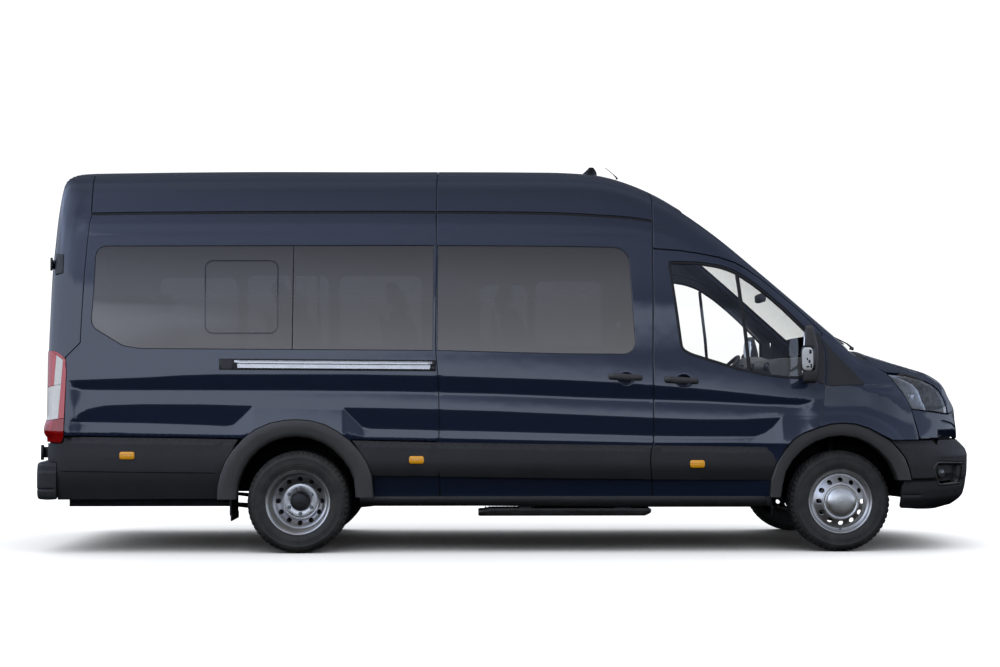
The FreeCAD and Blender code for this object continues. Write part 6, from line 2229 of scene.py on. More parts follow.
h1 = handle("sliding_door_handle", 0.646, 0.881, 1.2175, 1.2055, 0.770, 1.1975)
put(h1, "body", ["sliding_door"], "textured_plastic")
h2 = handle("front_right_door_handle", 1.034, 1.269, 1.1955, 1.1820, 1.169, 1.1835)
put(h2, "front_right_door", ["front_right_door"], "textured_plastic")
put(mirrored(h2, "front_left_door_handle"), "front_left_door", ["front_left_door"], "textured_plastic")


# amber side markers, the strip behind the gutter gap and the dark strips behind the other gaps
def marker(name, x, z, f_dom, w=0.102, h=0.053):
    rr = rounded([(-w / 2, -h / 2, 0.016), (w / 2, -h / 2, 0.016), (w / 2, h / 2, 0.016), (-w / 2, h / 2, 0.016)], 0.0, 0.02)
    base = f_dom.at(np.array([[x, z]]))[0]
    V_, F_ = [], []
    k = len(rr)
    prof = [(0.0, -0.006), (0.0, 0.004), (0.0015, 0.0065), (0.005, 0.008), (0.014, 0.009)]
    for d, o in prof:
        for u, v in inset(rr, d):
            V_.append((x + u, base[1] - o, z + v))
    for i in range(len(prof) - 1):
        for j in range(k):
            n = (j + 1) % k
            F_.append((i * k + j, i * k + n, (i + 1) * k + n, (i + 1) * k + j))
    o = (len(prof) - 1) * k
    F_.append(tuple(o + j for j in range(k)))
    F_.append(tuple(range(k))[::-1])
    return outward(new_object(name, V_, F_, None, [M["amber"]]), 40)


for i, (x, z, bd, nd) in enumerate(((-2.657, 0.671, "body", "side_cladding"), (-0.677, 0.640, "body", "side_cladding"),
                                    (1.257, 0.611, "front_right_door", "front_right_door"))):
    ob = marker(f"side_marker_{i + 1}_right", x, z, Clad)
    put(ob, bd, [nd], "red_lamp")
    put(mirrored(ob, f"side_marker_{i + 1}_left"), bd.replace("right", "left"), [nd.replace("right", "left")], "red_lamp")

strips = []
for x0, x1, nm in ((-2.952, 0.968, "side"),):
    rings = []
    for x in np.linspace(x0, x1, 110):
        g = float(gutter(x))
        p = Side.at(np.array([[x, g - 0.020], [x, g], [x, g + 0.022]]))
        rings.append([(x, p[0][1] + 0.012, g - 0.020), (x, p[1][1] + 0.0075, g - 0.006), (x, p[1][1] + 0.0075, g + 0.004),
                      (x, p[2][1] + 0.012, g + 0.022), (x, p[2][1] + 0.034, g + 0.022), (x, p[0][1] + 0.034, g - 0.020)])
    gs = loft("gutter_seal_right", rings, [M["seal"]])
    put(gs, "body", ["roof"], "black_plastic")
    put(mirrored(gs, "gutter_seal_left"), "body", ["roof"], "black_plastic")


def seam_liner(name, dom, line, width=0.03, deep=0.016, thick=0.012, mats=None):
    """A dark strip behind a gap between two panels."""
    c = dense(np.array(line, float), 0.03, False)
    t = np.gradient(c, axis=0)
    t /= np.maximum(np.linalg.norm(t, axis=1, keepdims=True), 1e-9)
    nn = np.stack([-t[:, 1], t[:, 0]], 1)
    rings = []
    a, b = dom.at(c - nn * width / 2), dom.at(c + nn * width / 2)
    na, nb = normals(a), normals(b)
    for i in range(len(c)):
        rings.append([a[i] - na[i] * deep, b[i] - nb[i] * deep, b[i] - nb[i] * (deep + thick), a[i] - na[i] * (deep + thick)])
    return loft(name, rings, mats or [M["seal"]])


LINERS = [("shut_seal_slide_rear", Side, [(-0.542, 2.345)] + SHUT_REAR), ("shut_seal_slide_front", Side, [(0.9665, 2.29)] + SHUT_FRONT),
          ("seam_strip_corner", Side, CORNER + [(-3.090, 1.30)]), ("seam_strip_door_top", Side, DOOR_TOP),
          ("shut_seal_door_front", Side, DOOR_FRONT)]
for nm, dom, ln in LINERS:
    ob = seam_liner(nm + "_right", dom, ln)
    put(ob, "body", (), "black_plastic")
    put(mirrored(ob, nm + "_left"), "body", (), "black_plastic")
for nm, x in (("roof_seam_strip_rear", -0.544), ("roof_seam_strip_front", 0.967), ("roof_seam_strip_corner", -2.9455)):
    ph = np.linspace(0.74, math.pi - 0.74, 70)
    ln = np.stack([lean(x, np.minimum(ph, math.pi - ph)) if x < -1.5 else np.full(len(ph), x), ph], 1)
    put(seam_liner(nm, Girth, ln), "body", ["roof"], "black_plastic")


# =====================================================================================
# 11. wheels: tyres with a cut tread, rims with twelve round holes, caps, nuts, discs
# =====================================================================================
def lathe(name, prof, cx, cy, n=96, mats=(), side=-1.0, cz=0.350, closed=True, angle=32.0, shift=None):
    """Turns (radius, outward offset) about the wheel's axis. side is -1 for the right-hand wheels."""
    V_, F_ = [], []
    k = len(prof)
    for i in range(n):
        th = 2 * math.pi * i / n
        c, s_ = math.cos(th), math.sin(th)
        for j, (r, o) in enumerate(prof):
            if shift is not None:
                r = r - shift(i, j, r, o)
            V_.append((cx + r * s_, cy + side * o, cz + r * c))
    for i in range(n):
        a, b = i * k, ((i + 1) % n) * k
        for j in range(k if closed else k - 1):
            q = (j + 1) % k
            F_.append((a + j, a + q, b + q, b + j))
    return outward(new_object(name, V_, F_, None, mats), angle)


def tyre(name, cx, cy, side=-1.0, n=220):
    top = [(0.3395, 0.0745), (0.3445, 0.0715), (0.3478, 0.066), (0.3490, 0.058), (0.3494, 0.0475), (0.3495, 0.0455), (0.3497, 0.0395),
           (0.3497, 0.0375), (0.3500, 0.0265), (0.3500, 0.0195), (0.3500, 0.0175), (0.3500, 0.0115), (0.3500, 0.0095)]
    up_ = [(0.2135, 0.0855), (0.2190, 0.0885), (0.2255, 0.0900), (0.2300, 0.0925), (0.2345, 0.0925), (0.2380, 0.0945),
           (0.2560, 0.0968), (0.2630, 0.0975), (0.2645, 0.0988), (0.2670, 0.0988), (0.2685, 0.0978), (0.2860, 0.0980),
           (0.2980, 0.0972), (0.3010, 0.0980), (0.3035, 0.0980), (0.3055, 0.0960), (0.3150, 0.0930), (0.3205, 0.0905),
           (0.3225, 0.0895), (0.3300, 0.0842), (0.3350, 0.0795)]
    half_ = up_ + top
    prof = half_ + [(r, -o) for r, o in half_[::-1]]
    prof += [(0.2095, -0.082), (0.2095, -0.070), (0.235, -0.074), (0.300, -0.076), (0.328, -0.060), (0.328, 0.060), (0.300, 0.076),
             (0.235, 0.074), (0.2095, 0.070), (0.2095, 0.082)]
    k0 = len(up_)

    def cut(i, j, r, o):
        if j >= 2 * len(half_):
            return 0.0
        a = abs(o)
        ring_cut = 0.0
        if 0.0115 <= a <= 0.0175 or 0.0395 <= a <= 0.0455:
            ring_cut = 0.0080
        sg = 1 if o > 0 else -1
        ph = (i + (0 if sg > 0 else 2)) % 4
        block = 0.0
        if a > 0.046 and r > 0.3215:
            block = 0.0068 * (1.0 if ph == 0 else 0.0) * min(1.0, (r - 0.3215) / 0.012)
        elif 0.0185 <= a <= 0.0386:
            block = 0.0055 * (1.0 if (i + int(a / 0.012)) % 4 == 1 else 0.0)
        elif a < 0.0105:
            block = 0.0045 * (1.0 if i % 4 == 3 else 0.0)
        return max(ring_cut, block)

    ob = lathe(name, prof, cx, cy, n, [M["tyre"]], side, angle=24.0, shift=cut)
    return ob


FLANGE = [(0.2070, 0.0800), (0.2088, 0.0835), (0.2130, 0.0868), (0.2170, 0.0890), (0.2205, 0.0893), (0.2222, 0.0875), (0.2222, 0.0850),
          (0.2195, 0.0832), (0.2150, 0.0810), (0.2105, 0.0790), (0.2085, 0.0760)]


def barrel(name, cx, cy, side=-1.0, deep=None):
    """The rim's well: both flanges and the hollow between them."""
    face = [(0.2042, 0.0775), (0.2020, 0.0700), (0.1995, 0.0600), (0.1965, 0.0400), (0.1925, 0.0100), (0.1905, -0.0200),
            (0.1905, -0.0500), (0.1960, -0.0640), (0.2000, -0.0740)]
    inner_ = [(0.2070, -0.0800), (0.2130, -0.0862), (0.2205, -0.0885), (0.2222, -0.0868), (0.2195, -0.0832), (0.2090, -0.0770),
              (0.2060, -0.0640), (0.1985, -0.0520), (0.1970, -0.0200), (0.1985, 0.0200), (0.2030, 0.0450), (0.2062, 0.0640)]
    prof = [FLANGE[0]] + FLANGE[1:] + inner_[::-1] + face[::-1]
    return lathe(name, prof, cx, cy, 120, [M["rim"]], side, angle=30)


class Turned:
    """A dished disc seen along the axle: u, v are x and z from the wheel's middle."""

    def __init__(self, cx, cy, prof, side=-1.0, cz=0.350):
        self.c = (cx, cy, cz)
        self.side = side
        p = np.array(prof, float)
        q = np.argsort(p[:, 0])
        self.r, self.o = p[q, 0], p[q, 1]

    def off(self, r):
        rr = np.linspace(-0.0025, 0.0025, 5)
        return np.mean([np.interp(r + d, self.r, self.o) for d in rr], axis=0)

    def at(self, uv):
        r = np.hypot(uv[:, 0], uv[:, 1])
        return np.stack([self.c[0] + uv[:, 0], self.c[1] + self.side * self.off(r), self.c[2] + uv[:, 1]], 1)

    def back(self, p):
        return np.stack([p[:, 0] - self.c[0], p[:, 2] - self.c[2]], 1)

    def normal(self, uv, p):
        r = np.maximum(np.hypot(uv[:, 0], uv[:, 1]), 1e-6)
        s = (self.off(r + 5e-4) - self.off(r - 5e-4)) / 1e-3
        n = np.stack([-s * uv[:, 0] / r, np.full(len(r), self.side), -s * uv[:, 1] / r], 1)
        return n / np.linalg.norm(n, axis=1, keepdims=True)


def circle(r, n=48, cx=0.0, cz=0.0):
    a = np.linspace(0, 2 * math.pi, n, endpoint=False)
    return np.stack([cx + r * np.cos(a), cz + r * np.sin(a)], 1)


def disc(name, cx, cy, prof, r_out, r_in=None, mats=()):
    dom = Turned(cx, cy, prof)
    holes = [circle(0.0172, 20, 0.151 * math.sin(math.radians(30 * k)), 0.151 * math.cos(math.radians(30 * k))) for k in range(12)]
    if r_in:
        holes.append(circle(r_in, 64))
    grid = []
    for r in list(np.arange(0.128, 0.133, 0.0025)) + list(np.arange(0.136, 0.172, 0.004)) + list(np.arange(0.174, r_out - 0.002, 0.004)):
        grid.append(circle(r, 120))
    for r in (0.03, 0.06, 0.075, 0.09, 0.105, 0.118, 0.124):
        if not r_in or r > r_in + 0.004:
            grid.append(circle(r, 60))
    return panel(name, dom, circle(r_out, 120), holes, np.concatenate(grid), thick=0.0055, mats=mats, lip=0.0018, gap=0.0, edge=0.0012)


def nuts(name, cx, cy, out, r=0.090, count=6, size=0.0105, tall=0.016, side=-1.0, mats=None):
    V_, F_ = [], []
    for q in range(count):
        a0 = math.radians(360 / count * q)
        ux, uz = r * math.sin(a0), r * math.cos(a0)
        o = len(V_)
        prof = [(1.35, -0.001), (1.35, 0.003), (1.0, 0.0032), (1.0, tall - 0.003), (0.86, tall), (0.55, tall), (0.50, tall + 0.004),
                (0.0, tall + 0.0045)]
        m = 12
        for s, h in prof:
            for j in range(m):
                an = 2 * math.pi * j / m + a0
                hexy = 1.0 if s > 1.2 or s < 0.6 else 1.0 / max(math.cos((an - a0) % (math.pi / 3) - math.pi / 6), 0.5) * 0.92
                V_.append((cx + ux + size * s * hexy * math.cos(an), cy + side * (out + h), 0.350 + uz + size * s * hexy * math.sin(an)))
        for i in range(len(prof) - 1):
            for j in range(m):
                n = (j + 1) % m
                F_.append((o + i * m + j, o + i * m + n, o + (i + 1) * m + n, o + (i + 1) * m + j))
    return outward(new_object(name, V_, F_, None, mats or [M["nut"]]), 30)


def both_sides(obs, bodies, nodes, slots):
    """Rides the right-hand pieces and their mirror images."""
    for ob, s in zip(obs, slots):
        nm = ob.name
        m = mirrored(ob, nm.replace("right", "left"))
        put(ob, bodies[0], [nodes[0]], s)
        put(m, bodies[1], [nodes[1]], s)


FX, RX = 2.260, -1.490
front_prof = [(0.0, 0.1040), (0.118, 0.1040), (0.124, 0.1062), (0.129, 0.1062), (0.133, 0.1040), (0.138, 0.1000), (0.150, 0.0925),
              (0.166, 0.0815), (0.176, 0.0730), (0.182, 0.0695), (0.190, 0.0690), (0.196, 0.0715), (0.2035, 0.0760)]
cap_prof = [(0.0, 0.1425), (0.030, 0.1420), (0.055, 0.1398), (0.076, 0.1355), (0.088, 0.1310), (0.0960, 0.1255), (0.1010, 0.1190),
            (0.1035, 0.1140), (0.1050, 0.1110), (0.1050, 0.1080), (0.1075, 0.1068), (0.1120, 0.1085), (0.1180, 0.1095),
            (0.1235, 0.1085), (0.1260, 0.1060), (0.1260, 0.1030), (0.0, 0.1030)]
ty = tyre("front_right_tyre_tread", FX, -0.868)
br = barrel("front_right_rim_well", FX, -0.868)
ds = disc("front_right_rim_disc", FX, -0.868, front_prof, 0.2030, None, [M["rim"]])
cp = lathe("front_right_wheel_cap", cap_prof, FX, -0.868, 96, [M["cap"]], angle=28, closed=False)
both_sides([ty], ["front_right_wheel", "front_left_wheel"], ["front_right_tyre", "front_left_tyre"], ["tyre"])
both_sides([br, ds, cp], ["front_right_wheel", "front_left_wheel"], ["front_right_rim", "front_left_rim"],
           ["wheel_steel", "wheel_steel", "wheel_steel"])
valve = lathe("front_right_valve", [(0.0, 0.0), (0.004, 0.0), (0.004, 0.014), (0.0028, 0.015), (0.0028, 0.024), (0.0, 0.0245)], FX, -0.945, 10,
              [M["seal"]], closed=False, cz=0.350 - 0.190)
both_sides([valve], ["front_right_wheel", "front_left_wheel"], ["front_right_rim", "front_left_rim"], ["black_plastic"])

rear_prof = [(0.0, -0.0935), (0.122, -0.0935), (0.126, -0.0925), (0.140, -0.0830), (0.150, -0.0770), (0.160, -0.0700), (0.170, -0.0610),
             (0.176, -0.0560), (0.182, -0.0520), (0.1905, -0.0500)]
hub_prof = [(0.0, -0.0910), (0.066, -0.0910), (0.0672, -0.0895), (0.070, -0.0882), (0.112, -0.0878), (0.1165, -0.0886), (0.1185, -0.0905),
            (0.1190, -0.0930), (0.1190, -0.0950), (0.0, -0.0950)]
rear_cap = [(0.0, -0.0262), (0.005, -0.0262), (0.006, -0.0285), (0.030, -0.0300), (0.046, -0.0312), (0.0520, -0.0330), (0.0575, -0.0375),
            (0.0590, -0.0430), (0.0600, -0.0560), (0.0635, -0.0585), (0.0660, -0.0620), (0.0665, -0.0900), (0.0, -0.0900)]
obs = [barrel("rear_right_rim_well_outer", RX, -0.931), disc("rear_right_rim_disc", RX, -0.931, rear_prof, 0.1895, None, [M["rim"]]),
       lathe("rear_right_hub_ring", hub_prof, RX, -0.931, 72, [M["cap"]], closed=False),
       lathe("rear_right_hub_cap", rear_cap, RX, -0.931, 72, [M["black"]], closed=False, angle=28),
       nuts("rear_right_wheel_nuts", RX, -0.931, -0.0878, mats=[M["nut"]]),
       barrel("rear_right_rim_well_inner", RX, -0.711)]
both_sides(obs, ["rear_right_wheels", "rear_left_wheels"], ["rear_right_rims", "rear_left_rims"],
           ["wheel_steel", "wheel_steel", "wheel_steel", "black_plastic", "wheel_steel", "wheel_steel"])
inner_disc = lathe("rear_right_inner_disc", [(0.0, 0.104), (0.125, 0.104), (0.146, 0.090), (0.176, 0.066), (0.192, 0.045), (0.192, 0.035),
                                             (0.176, 0.056), (0.146, 0.081), (0.125, 0.096), (0.0, 0.096)], RX, -0.711, 72, [M["rim"]],
                   closed=False)
both_sides([inner_disc], ["rear_right_wheels", "rear_left_wheels"], ["rear_right_rims", "rear_left_rims"], ["wheel_steel"])
both_sides([tyre("rear_right_tyre_outer", RX, -0.931), tyre("rear_right_tyre_inner", RX, -0.711)],
           ["rear_right_wheels", "rear_left_wheels"], ["rear_right_tyres", "rear_left_tyres"], ["tyre", "tyre"])

# the front hubs: a vented disc, a caliper and the upright
dp = [(0.052, -0.030), (0.052, 0.020), (0.060, 0.026), (0.078, 0.028), (0.078, 0.035), (0.1385, 0.035), (0.1395, 0.034), (0.1395, 0.0275),
      (0.128, 0.026), (0.128, 0.020), (0.1395, 0.0185), (0.1395, 0.0125), (0.1385, 0.0115), (0.078, 0.0115), (0.072, 0.004),
      (0.072, -0.030)]
hub_disc = lathe("front_right_brake_disc", dp, FX, -0.868, 72, [M["disc"]])
stub = lathe("front_right_hub", [(0.0, 0.078), (0.030, 0.078), (0.034, 0.074), (0.036, 0.040), (0.046, 0.038), (0.046, -0.120), (0.0, -0.120)],
             FX, -0.868, 40, [M["cast"]], closed=False)
cal = blocks("front_right_caliper", [((2.367, -0.924, 0.292), (2.404, -0.862, 0.408)), ((2.300, -0.876, 0.322), (2.372, -0.857, 0.378)),
                                     ((2.352, -0.906, 0.305), (2.380, -0.864, 0.395))], [M["cast"]], 0.008, 3)
upr = blocks("front_right_upright", [((2.228, -0.750, 0.252), (2.292, -0.704, 0.468)), ((2.232, -0.876, 0.254), (2.288, -0.738, 0.296)),
                                     ((2.238, -0.80, 0.33), (2.282, -0.73, 0.372))], [M["cast"]], 0.010, 3)
both_sides([hub_disc, stub, cal, upr], ["front_right_knuckle", "front_left_knuckle"], ["front_right_knuckle", "front_left_knuckle"],
           ["cast_iron"] * 4)

# the spare wheel under the tail
sp = tyre("spare_tyre", 0.0, 0.0, 1.0, 220)
sr = lathe("spare_rim", [(0.0, 0.030), (0.120, 0.030), (0.150, 0.010), (0.185, -0.020), (0.196, -0.030), (0.200, 0.060), (0.2090, 0.078),
                         (0.2200, 0.0885), (0.2215, 0.0850), (0.2085, 0.074), (0.2060, 0.0), (0.2085, -0.074), (0.2215, -0.085),
                         (0.2200, -0.0885), (0.2090, -0.078), (0.196, -0.045), (0.180, -0.028), (0.148, 0.002), (0.118, 0.022),
                         (0.0, 0.022)], 0.0, 0.0, 72, [M["rim"]], 1.0, closed=False)
for ob in (sp, sr):
    co = np.empty(len(ob.data.vertices) * 3)
    ob.data.vertices.foreach_get("co", co)
    co = co.reshape(-1, 3) - [0, 0, 0.350]
    co = np.stack([co[:, 0], -co[:, 2], co[:, 1]], 1)
    a = math.radians(-3)
    co = np.stack([co[:, 0] * math.cos(a) + co[:, 2] * math.sin(a), co[:, 1], -co[:, 0] * math.sin(a) + co[:, 2] * math.cos(a)], 1)
    co += [-2.535, 0, 0.398]
    ob.data.vertices.foreach_set("co", co.ravel())
    ob.data.update()
    put(ob, "body", ["spare_wheel"], "tyre" if ob is sp else "wheel_steel")


# =====================================================================================
# 12. glass, seals, mirrors, windscreen, cowl, wipers, aerial, rear door fittings
# =====================================================================================
def fine(p, step=0.03):
    return clean(dense(np.array(p, float), step), 0.002)


def ring_of(name, dom, outline, w_out, w_in, thick, depth, mats, lip=0.002, grid=None):
    """A band along an outline, from w_out outside it to w_in inside it."""
    o = inset(fine(outline, 0.02), -w_out)
    h = inset(fine(outline, 0.02), w_in)
    return panel(name, dom, o, [h], grid, thick=thick, depth=depth, mats=mats, lip=lip, gap=0.0, hole_gap=0.0, edge=0.0015)


def pane(name, dom, outline, mat, depth=0.003, step=0.10, gap=0.0022, thick=0.0045):
    o = fine(outline, 0.02)
    g = mesh_grid(np.arange(o[:, 0].min(), o[:, 0].max(), step), np.arange(o[:, 1].min(), o[:, 1].max(), step))
    return panel(name, dom, o, (), g, thick=thick, depth=depth, mats=[mat], lip=0.0025, gap=gap, edge=0.0008,
                 tilt=(0, 0, 0.024) if mat is M["privacy"] and dom is Side else None)


side_by_x = lambda pts, x, keep_low: clip_poly(pts, (lambda q: x - q[0]) if keep_low else (lambda q: q[0] - x))
q_rear = side_by_x(QUARTER_WIN, -1.5375, True)
q_front = side_by_x(QUARTER_WIN, -1.5335, False)
glass_ = []
for nm, ol in (("quarter_glass_rear_right", q_rear), ("quarter_glass_front_right", q_front)):
    ob = pane(nm, Side, ol, M["privacy"])
    put(ob, "body", ["side_glass"], "privacy_glass")
    put(mirrored(ob, nm.replace("right", "left")), "body", ["side_glass"], "privacy_glass")
put(pane("sliding_door_glass", Side, SLIDE_WIN, M["privacy"]), "body", ["side_glass"], "privacy_glass")
tmp = pane("tmp_glass", Side, LEFT_WIN, M["privacy"])
put(mirrored(tmp, "side_glass_left_front"), "body", ["side_glass"], "privacy_glass")
bpy.data.objects.remove(tmp)
VENT = rounded([(-2.146, 2.019, 0.055), (-1.643, 2.019, 0.055), (-1.640, 1.514, 0.055), (-2.137, 1.514, 0.055)], 0.0, 0.02)
ob = ring_of("vent_frame_right", Side, VENT, 0.004, 0.004, 0.004, 0.0012, [M["frit"]], 0.0008)
put(ob, "body", ["side_glass"], "black_plastic")
put(mirrored(ob, "vent_frame_left"), "body", ["side_glass"], "black_plastic")
for nm, ol, bodyname in (("quarter_glass_seal_right", QUARTER_WIN, 1), ("sliding_door_glass_seal", SLIDE_WIN, 0)):
    ob = ring_of(nm, Side, ol, 0.020, 0.010, 0.022, 0.0085, [M["frit"]], 0.0)
    put(ob, "body", ["side_glass"], "black_plastic")
    if bodyname:
        put(mirrored(ob, nm.replace("right", "left")), "body", ["side_glass"], "black_plastic")
tmp = ring_of("tmp_seal", Side, LEFT_WIN, 0.020, 0.010, 0.022, 0.0085, [M["frit"]], 0.0)
put(mirrored(tmp, "side_glass_seal_left_front"), "body", ["side_glass"], "black_plastic")
bpy.data.objects.remove(tmp)
split = panel("quarter_glass_joint_right", Side, fine([(-1.550, 2.124), (-1.521, 2.124), (-1.521, 1.402), (-1.550, 1.402)]), (), None,
              thick=0.006, depth=0.009, mats=[M["seal"]], lip=0.001, gap=0.0)
put(split, "body", ["side_glass"], "black_plastic")
put(mirrored(split, "quarter_glass_joint_left"), "body", ["side_glass"], "black_plastic")

# front doors: pane, seal, quarter-light bar and the trim triangle with the mirror
FD = (("front_right_door", "front_right_door_glass"), ("front_left_door", "front_left_door_glass"))


def on_doors(ob, node, slot, swap=("right", "left")):
    nm = ob.name
    m = mirrored(ob, nm.replace("right", "left"))
    put(ob, "front_right_door", [node], slot)
    put(m, "front_left_door", [node.replace("right", "left")], slot)


on_doors(pane("front_right_door_pane", Side, inset(fine(DOOR_WIN), 0.004), M["clear"], depth=0.013, step=0.08), "front_right_door_glass",
         "clear_glass")
on_doors(ring_of("front_right_door_glass_seal", Side, DOOR_WIN, -0.0008, 0.019, 0.030, 0.0035, [M["seal"]], 0.0035), "front_right_door_glass",
         "black_plastic")
bar = np.array([(1.554, 1.925), (1.575, 1.748), (1.602, 1.538), (1.629, 1.240)])
tb = np.gradient(bar, axis=0)
tb /= np.linalg.norm(tb, axis=1, keepdims=True)
nb_ = np.stack([-tb[:, 1], tb[:, 0]], 1) * 0.011
on_doors(panel("front_right_quarter_light_bar", Side, fine(np.concatenate([bar + nb_, (bar - nb_)[::-1]])), (), None, thick=0.026,
               depth=0.005, mats=[M["seal"]], lip=0.003, gap=0.0), "front_right_door_glass", "black_plastic")
SAIL_D = [(2.074, 1.502), (2.104, 1.524), (2.122, 1.500), (2.149, 1.385), (2.149, 1.260), (2.138, 1.160), (2.112, 1.168),
          (2.076, 1.194)]
SAIL_F = [(2.141, 1.472), (2.221, 1.378), (2.322, 1.281), (2.417, 1.176), (2.420, 1.160), (2.400, 1.155), (2.285, 1.153),
          (2.195, 1.146), (2.155, 1.156), (2.168, 1.260), (2.168, 1.385)]
on_doors(panel("front_right_door_sail_trim", Side, fine(SAIL_D), (), None, thick=0.012, depth=-0.0045, mats=[M["black"]], lip=0.004,
               gap=0.0, edge=0.003), "front_right_door", "black_plastic")
ob = panel("fender_sail_trim_right", Side, fine(SAIL_F), (), mesh_grid(np.arange(2.18, 2.40, 0.03), np.arange(1.17, 1.45, 0.03)),
           thick=0.012, depth=-0.0045, mats=[M["black"]], lip=0.004, gap=0.0, edge=0.003)
put(ob, "body", ["front_fenders"], "black_plastic")
put(mirrored(ob, "fender_sail_trim_left"), "body", ["front_fenders"], "black_plastic")


def round_rect(cx, cy, hx, hy, n=36, p=4.0):
    a = np.linspace(0, 2 * math.pi, n, endpoint=False)
    c, s_ = np.cos(a), np.sin(a)
    return np.stack([cx + hx * np.sign(c) * np.abs(c) ** (2 / p), cy + hy * np.sign(s_) * np.abs(s_) ** (2 / p)], 1)


def mirror_ring(z, x0, x1, y0, y1, cut=1.0):
    """A D-shaped section: flat towards the rear, rounded towards the front."""
    a = np.linspace(0, 2 * math.pi, 40, endpoint=False)
    c, s_ = np.cos(a), np.sin(a)
    cx, cy = (x0 + x1) / 2, (y0 + y1) / 2
    hx, hy = (x1 - x0) / 2, (y1 - y0) / 2
    px = np.where(c > 0, 2 / 2.3, 2 / 9.0)
    out = []
    for ci, si, pi_ in zip(c, s_, px):
        y = cy + hy * np.sign(si) * abs(si) ** (2 / 4.5)
        out.append((cx + hx * np.sign(ci) * abs(ci) ** pi_ + (0.23 * (y - cy) if ci < 0 else 0.0), y, z))
    return out


heads = []
for z, k in ((1.1680, 0.55), (1.1690, 0.80), (1.1740, 0.93), (1.190, 1.0), (1.25, 1.0), (1.33, 1.0), (1.42, 0.99), (1.48, 0.97), (1.52, 0.94),
             (1.543, 0.88), (1.554, 0.78), (1.5595, 0.62), (1.5605, 0.40)):
    x0 = 1.966 + 0.017 * smooth_step(z, 1.22, 1.56)
    x1 = 2.052 + 0.012 * smooth_step(z, 1.17, 1.30) - 0.032 * smooth_step(z, 1.40, 1.56)
    cx, hx = (x0 + x1) / 2, (x1 - x0) / 2 * (0.35 + 0.65 * k)
    heads.append(mirror_ring(z, cx - hx, cx + hx, -1.1495 - 0.0865 * k, -1.1495 + 0.0865 * k))
head_ = loft("right_mirror_shell", heads, [M["mirror_back"]], angle=60)
on_doors(head_, "right_mirror", "textured_plastic")
frame_ = []
for nm, z0, z1 in (("right_mirror_glass", 1.305, 1.530), ("right_mirror_wide_glass", 1.198, 1.290)):
    ring0 = round_rect(-1.1495, (z0 + z1) / 2, 0.074, (z1 - z0) / 2, 40, 5.0)
    xr = lambda z: 1.9642 + 0.017 * float(smooth_step(z, 1.22, 1.56))
    rings = []
    for k, off in ((1.0, 0.004), (1.0, -0.0010), (0.97, -0.0028), (0.94, -0.0030)):
        q = (ring0 - ring0.mean(0)) * k + ring0.mean(0)
        rings.append([(xr(b) + off + 0.23 * (a + 1.1495), a, b) for a, b in q])
    ob = loft(nm, rings, [M["mirror"]], angle=30)
    on_doors(ob, "right_mirror", "wheel_steel")
lens_r = round_rect(1.981, 1.331, 0.038, 0.078, 36, 4.0)
rings = []
for k, off in ((1.0, 0.010), (1.0, -0.0015), (0.95, -0.0045), (0.80, -0.0065), (0.4, -0.0075)):
    rings.append([(1.981 + (a - 1.981) * k, -1.2350 + off, 1.331 + (b - 1.331) * k) for a, b in lens_r])
on_doors(loft("right_mirror_side_lamp", rings, [M["lamp_white"]], angle=30), "right_mirror", "lamp_glass")
on_doors(blocks("right_mirror_lamp_shades", [((1.990, -1.2432, 1.366), (2.008, -1.236, 1.394)), ((1.972, -1.2432, 1.322), (1.984, -1.236, 1.340)),
                                             ((1.984, -1.2432, 1.302), (2.000, -1.236, 1.326)), ((1.970, -1.2432, 1.272), (1.992, -1.236, 1.284)),
                                             ((1.998, -1.2432, 1.270), (2.010, -1.236, 1.300))], [M["gloss"]], 0.003, 2), "right_mirror", "lamp_glass")
rings = []
for k, off in ((1.0, 0.012), (1.0, 0.0005), (0.93, -0.0012), (0.3, -0.0016)):
    q = round_rect(1.987, 1.333, 0.048, 0.094, 36, 4.0)
    rings.append([(1.987 + (a - 1.987) * k, -1.2345 + off, 1.333 + (b - 1.333) * k) for a, b in q])
on_doors(loft("right_mirror_lamp_bezel", rings, [M["gloss"]], angle=30), "right_mirror", "black_plastic")
rings = []
for y, cx, cz, hx, hz in ((-1.075, 2.043, 1.262, 0.040, 0.052), (-1.055, 2.043, 1.262, 0.044, 0.060), (-1.030, 2.047, 1.256, 0.046, 0.066),
                          (-1.012, 2.052, 1.250, 0.050, 0.072), (-1.005, 2.054, 1.248, 0.054, 0.076)):
    rings.append([(a, y, b) for a, b in round_rect(cx, cz, hx, hz, 32, 4.0)])
on_doors(loft("right_mirror_arm", rings, [M["black"]], angle=40), "right_mirror", "black_plastic")

# windscreen
foot_y = np.linspace(-0.86, 0.86, 41)
foot_line_ = np.stack([screen_foot(foot_y), foot_y], 1)
sx = np.linspace(2.395, header(0.735) + 0.02, 30)
right_edge = np.stack([sx, -screen_side(sx) + 0.004], 1)
hy = np.linspace(-0.725, 0.725, 33)
head_ = np.stack([header(hy) + 0.006, hy], 1)
scr = np.concatenate([right_edge, head_, (right_edge * [1, -1])[::-1], foot_line_[::-1][(np.abs(foot_y[::-1]) < 0.84)]])
scr = clean(dense(scr, 0.04), 0.004)
g = mesh_grid(np.arange(1.25, 2.45, 0.07), np.arange(-0.85, 0.86, 0.08))
ws = panel("windscreen_pane", Top, scr, (), g, thick=0.0055, depth=0.006, mats=[M["screen"]], lip=0.003, gap=0.003, edge=0.001)
put(ws, "body", ["windscreen"], "clear_glass")
fr_in = inset(scr, 0.045)
fr_in = fr_in * [1, 0.985]
fr_in[:, 0] = np.minimum(fr_in[:, 0], screen_foot(fr_in[:, 1]) - 0.12)
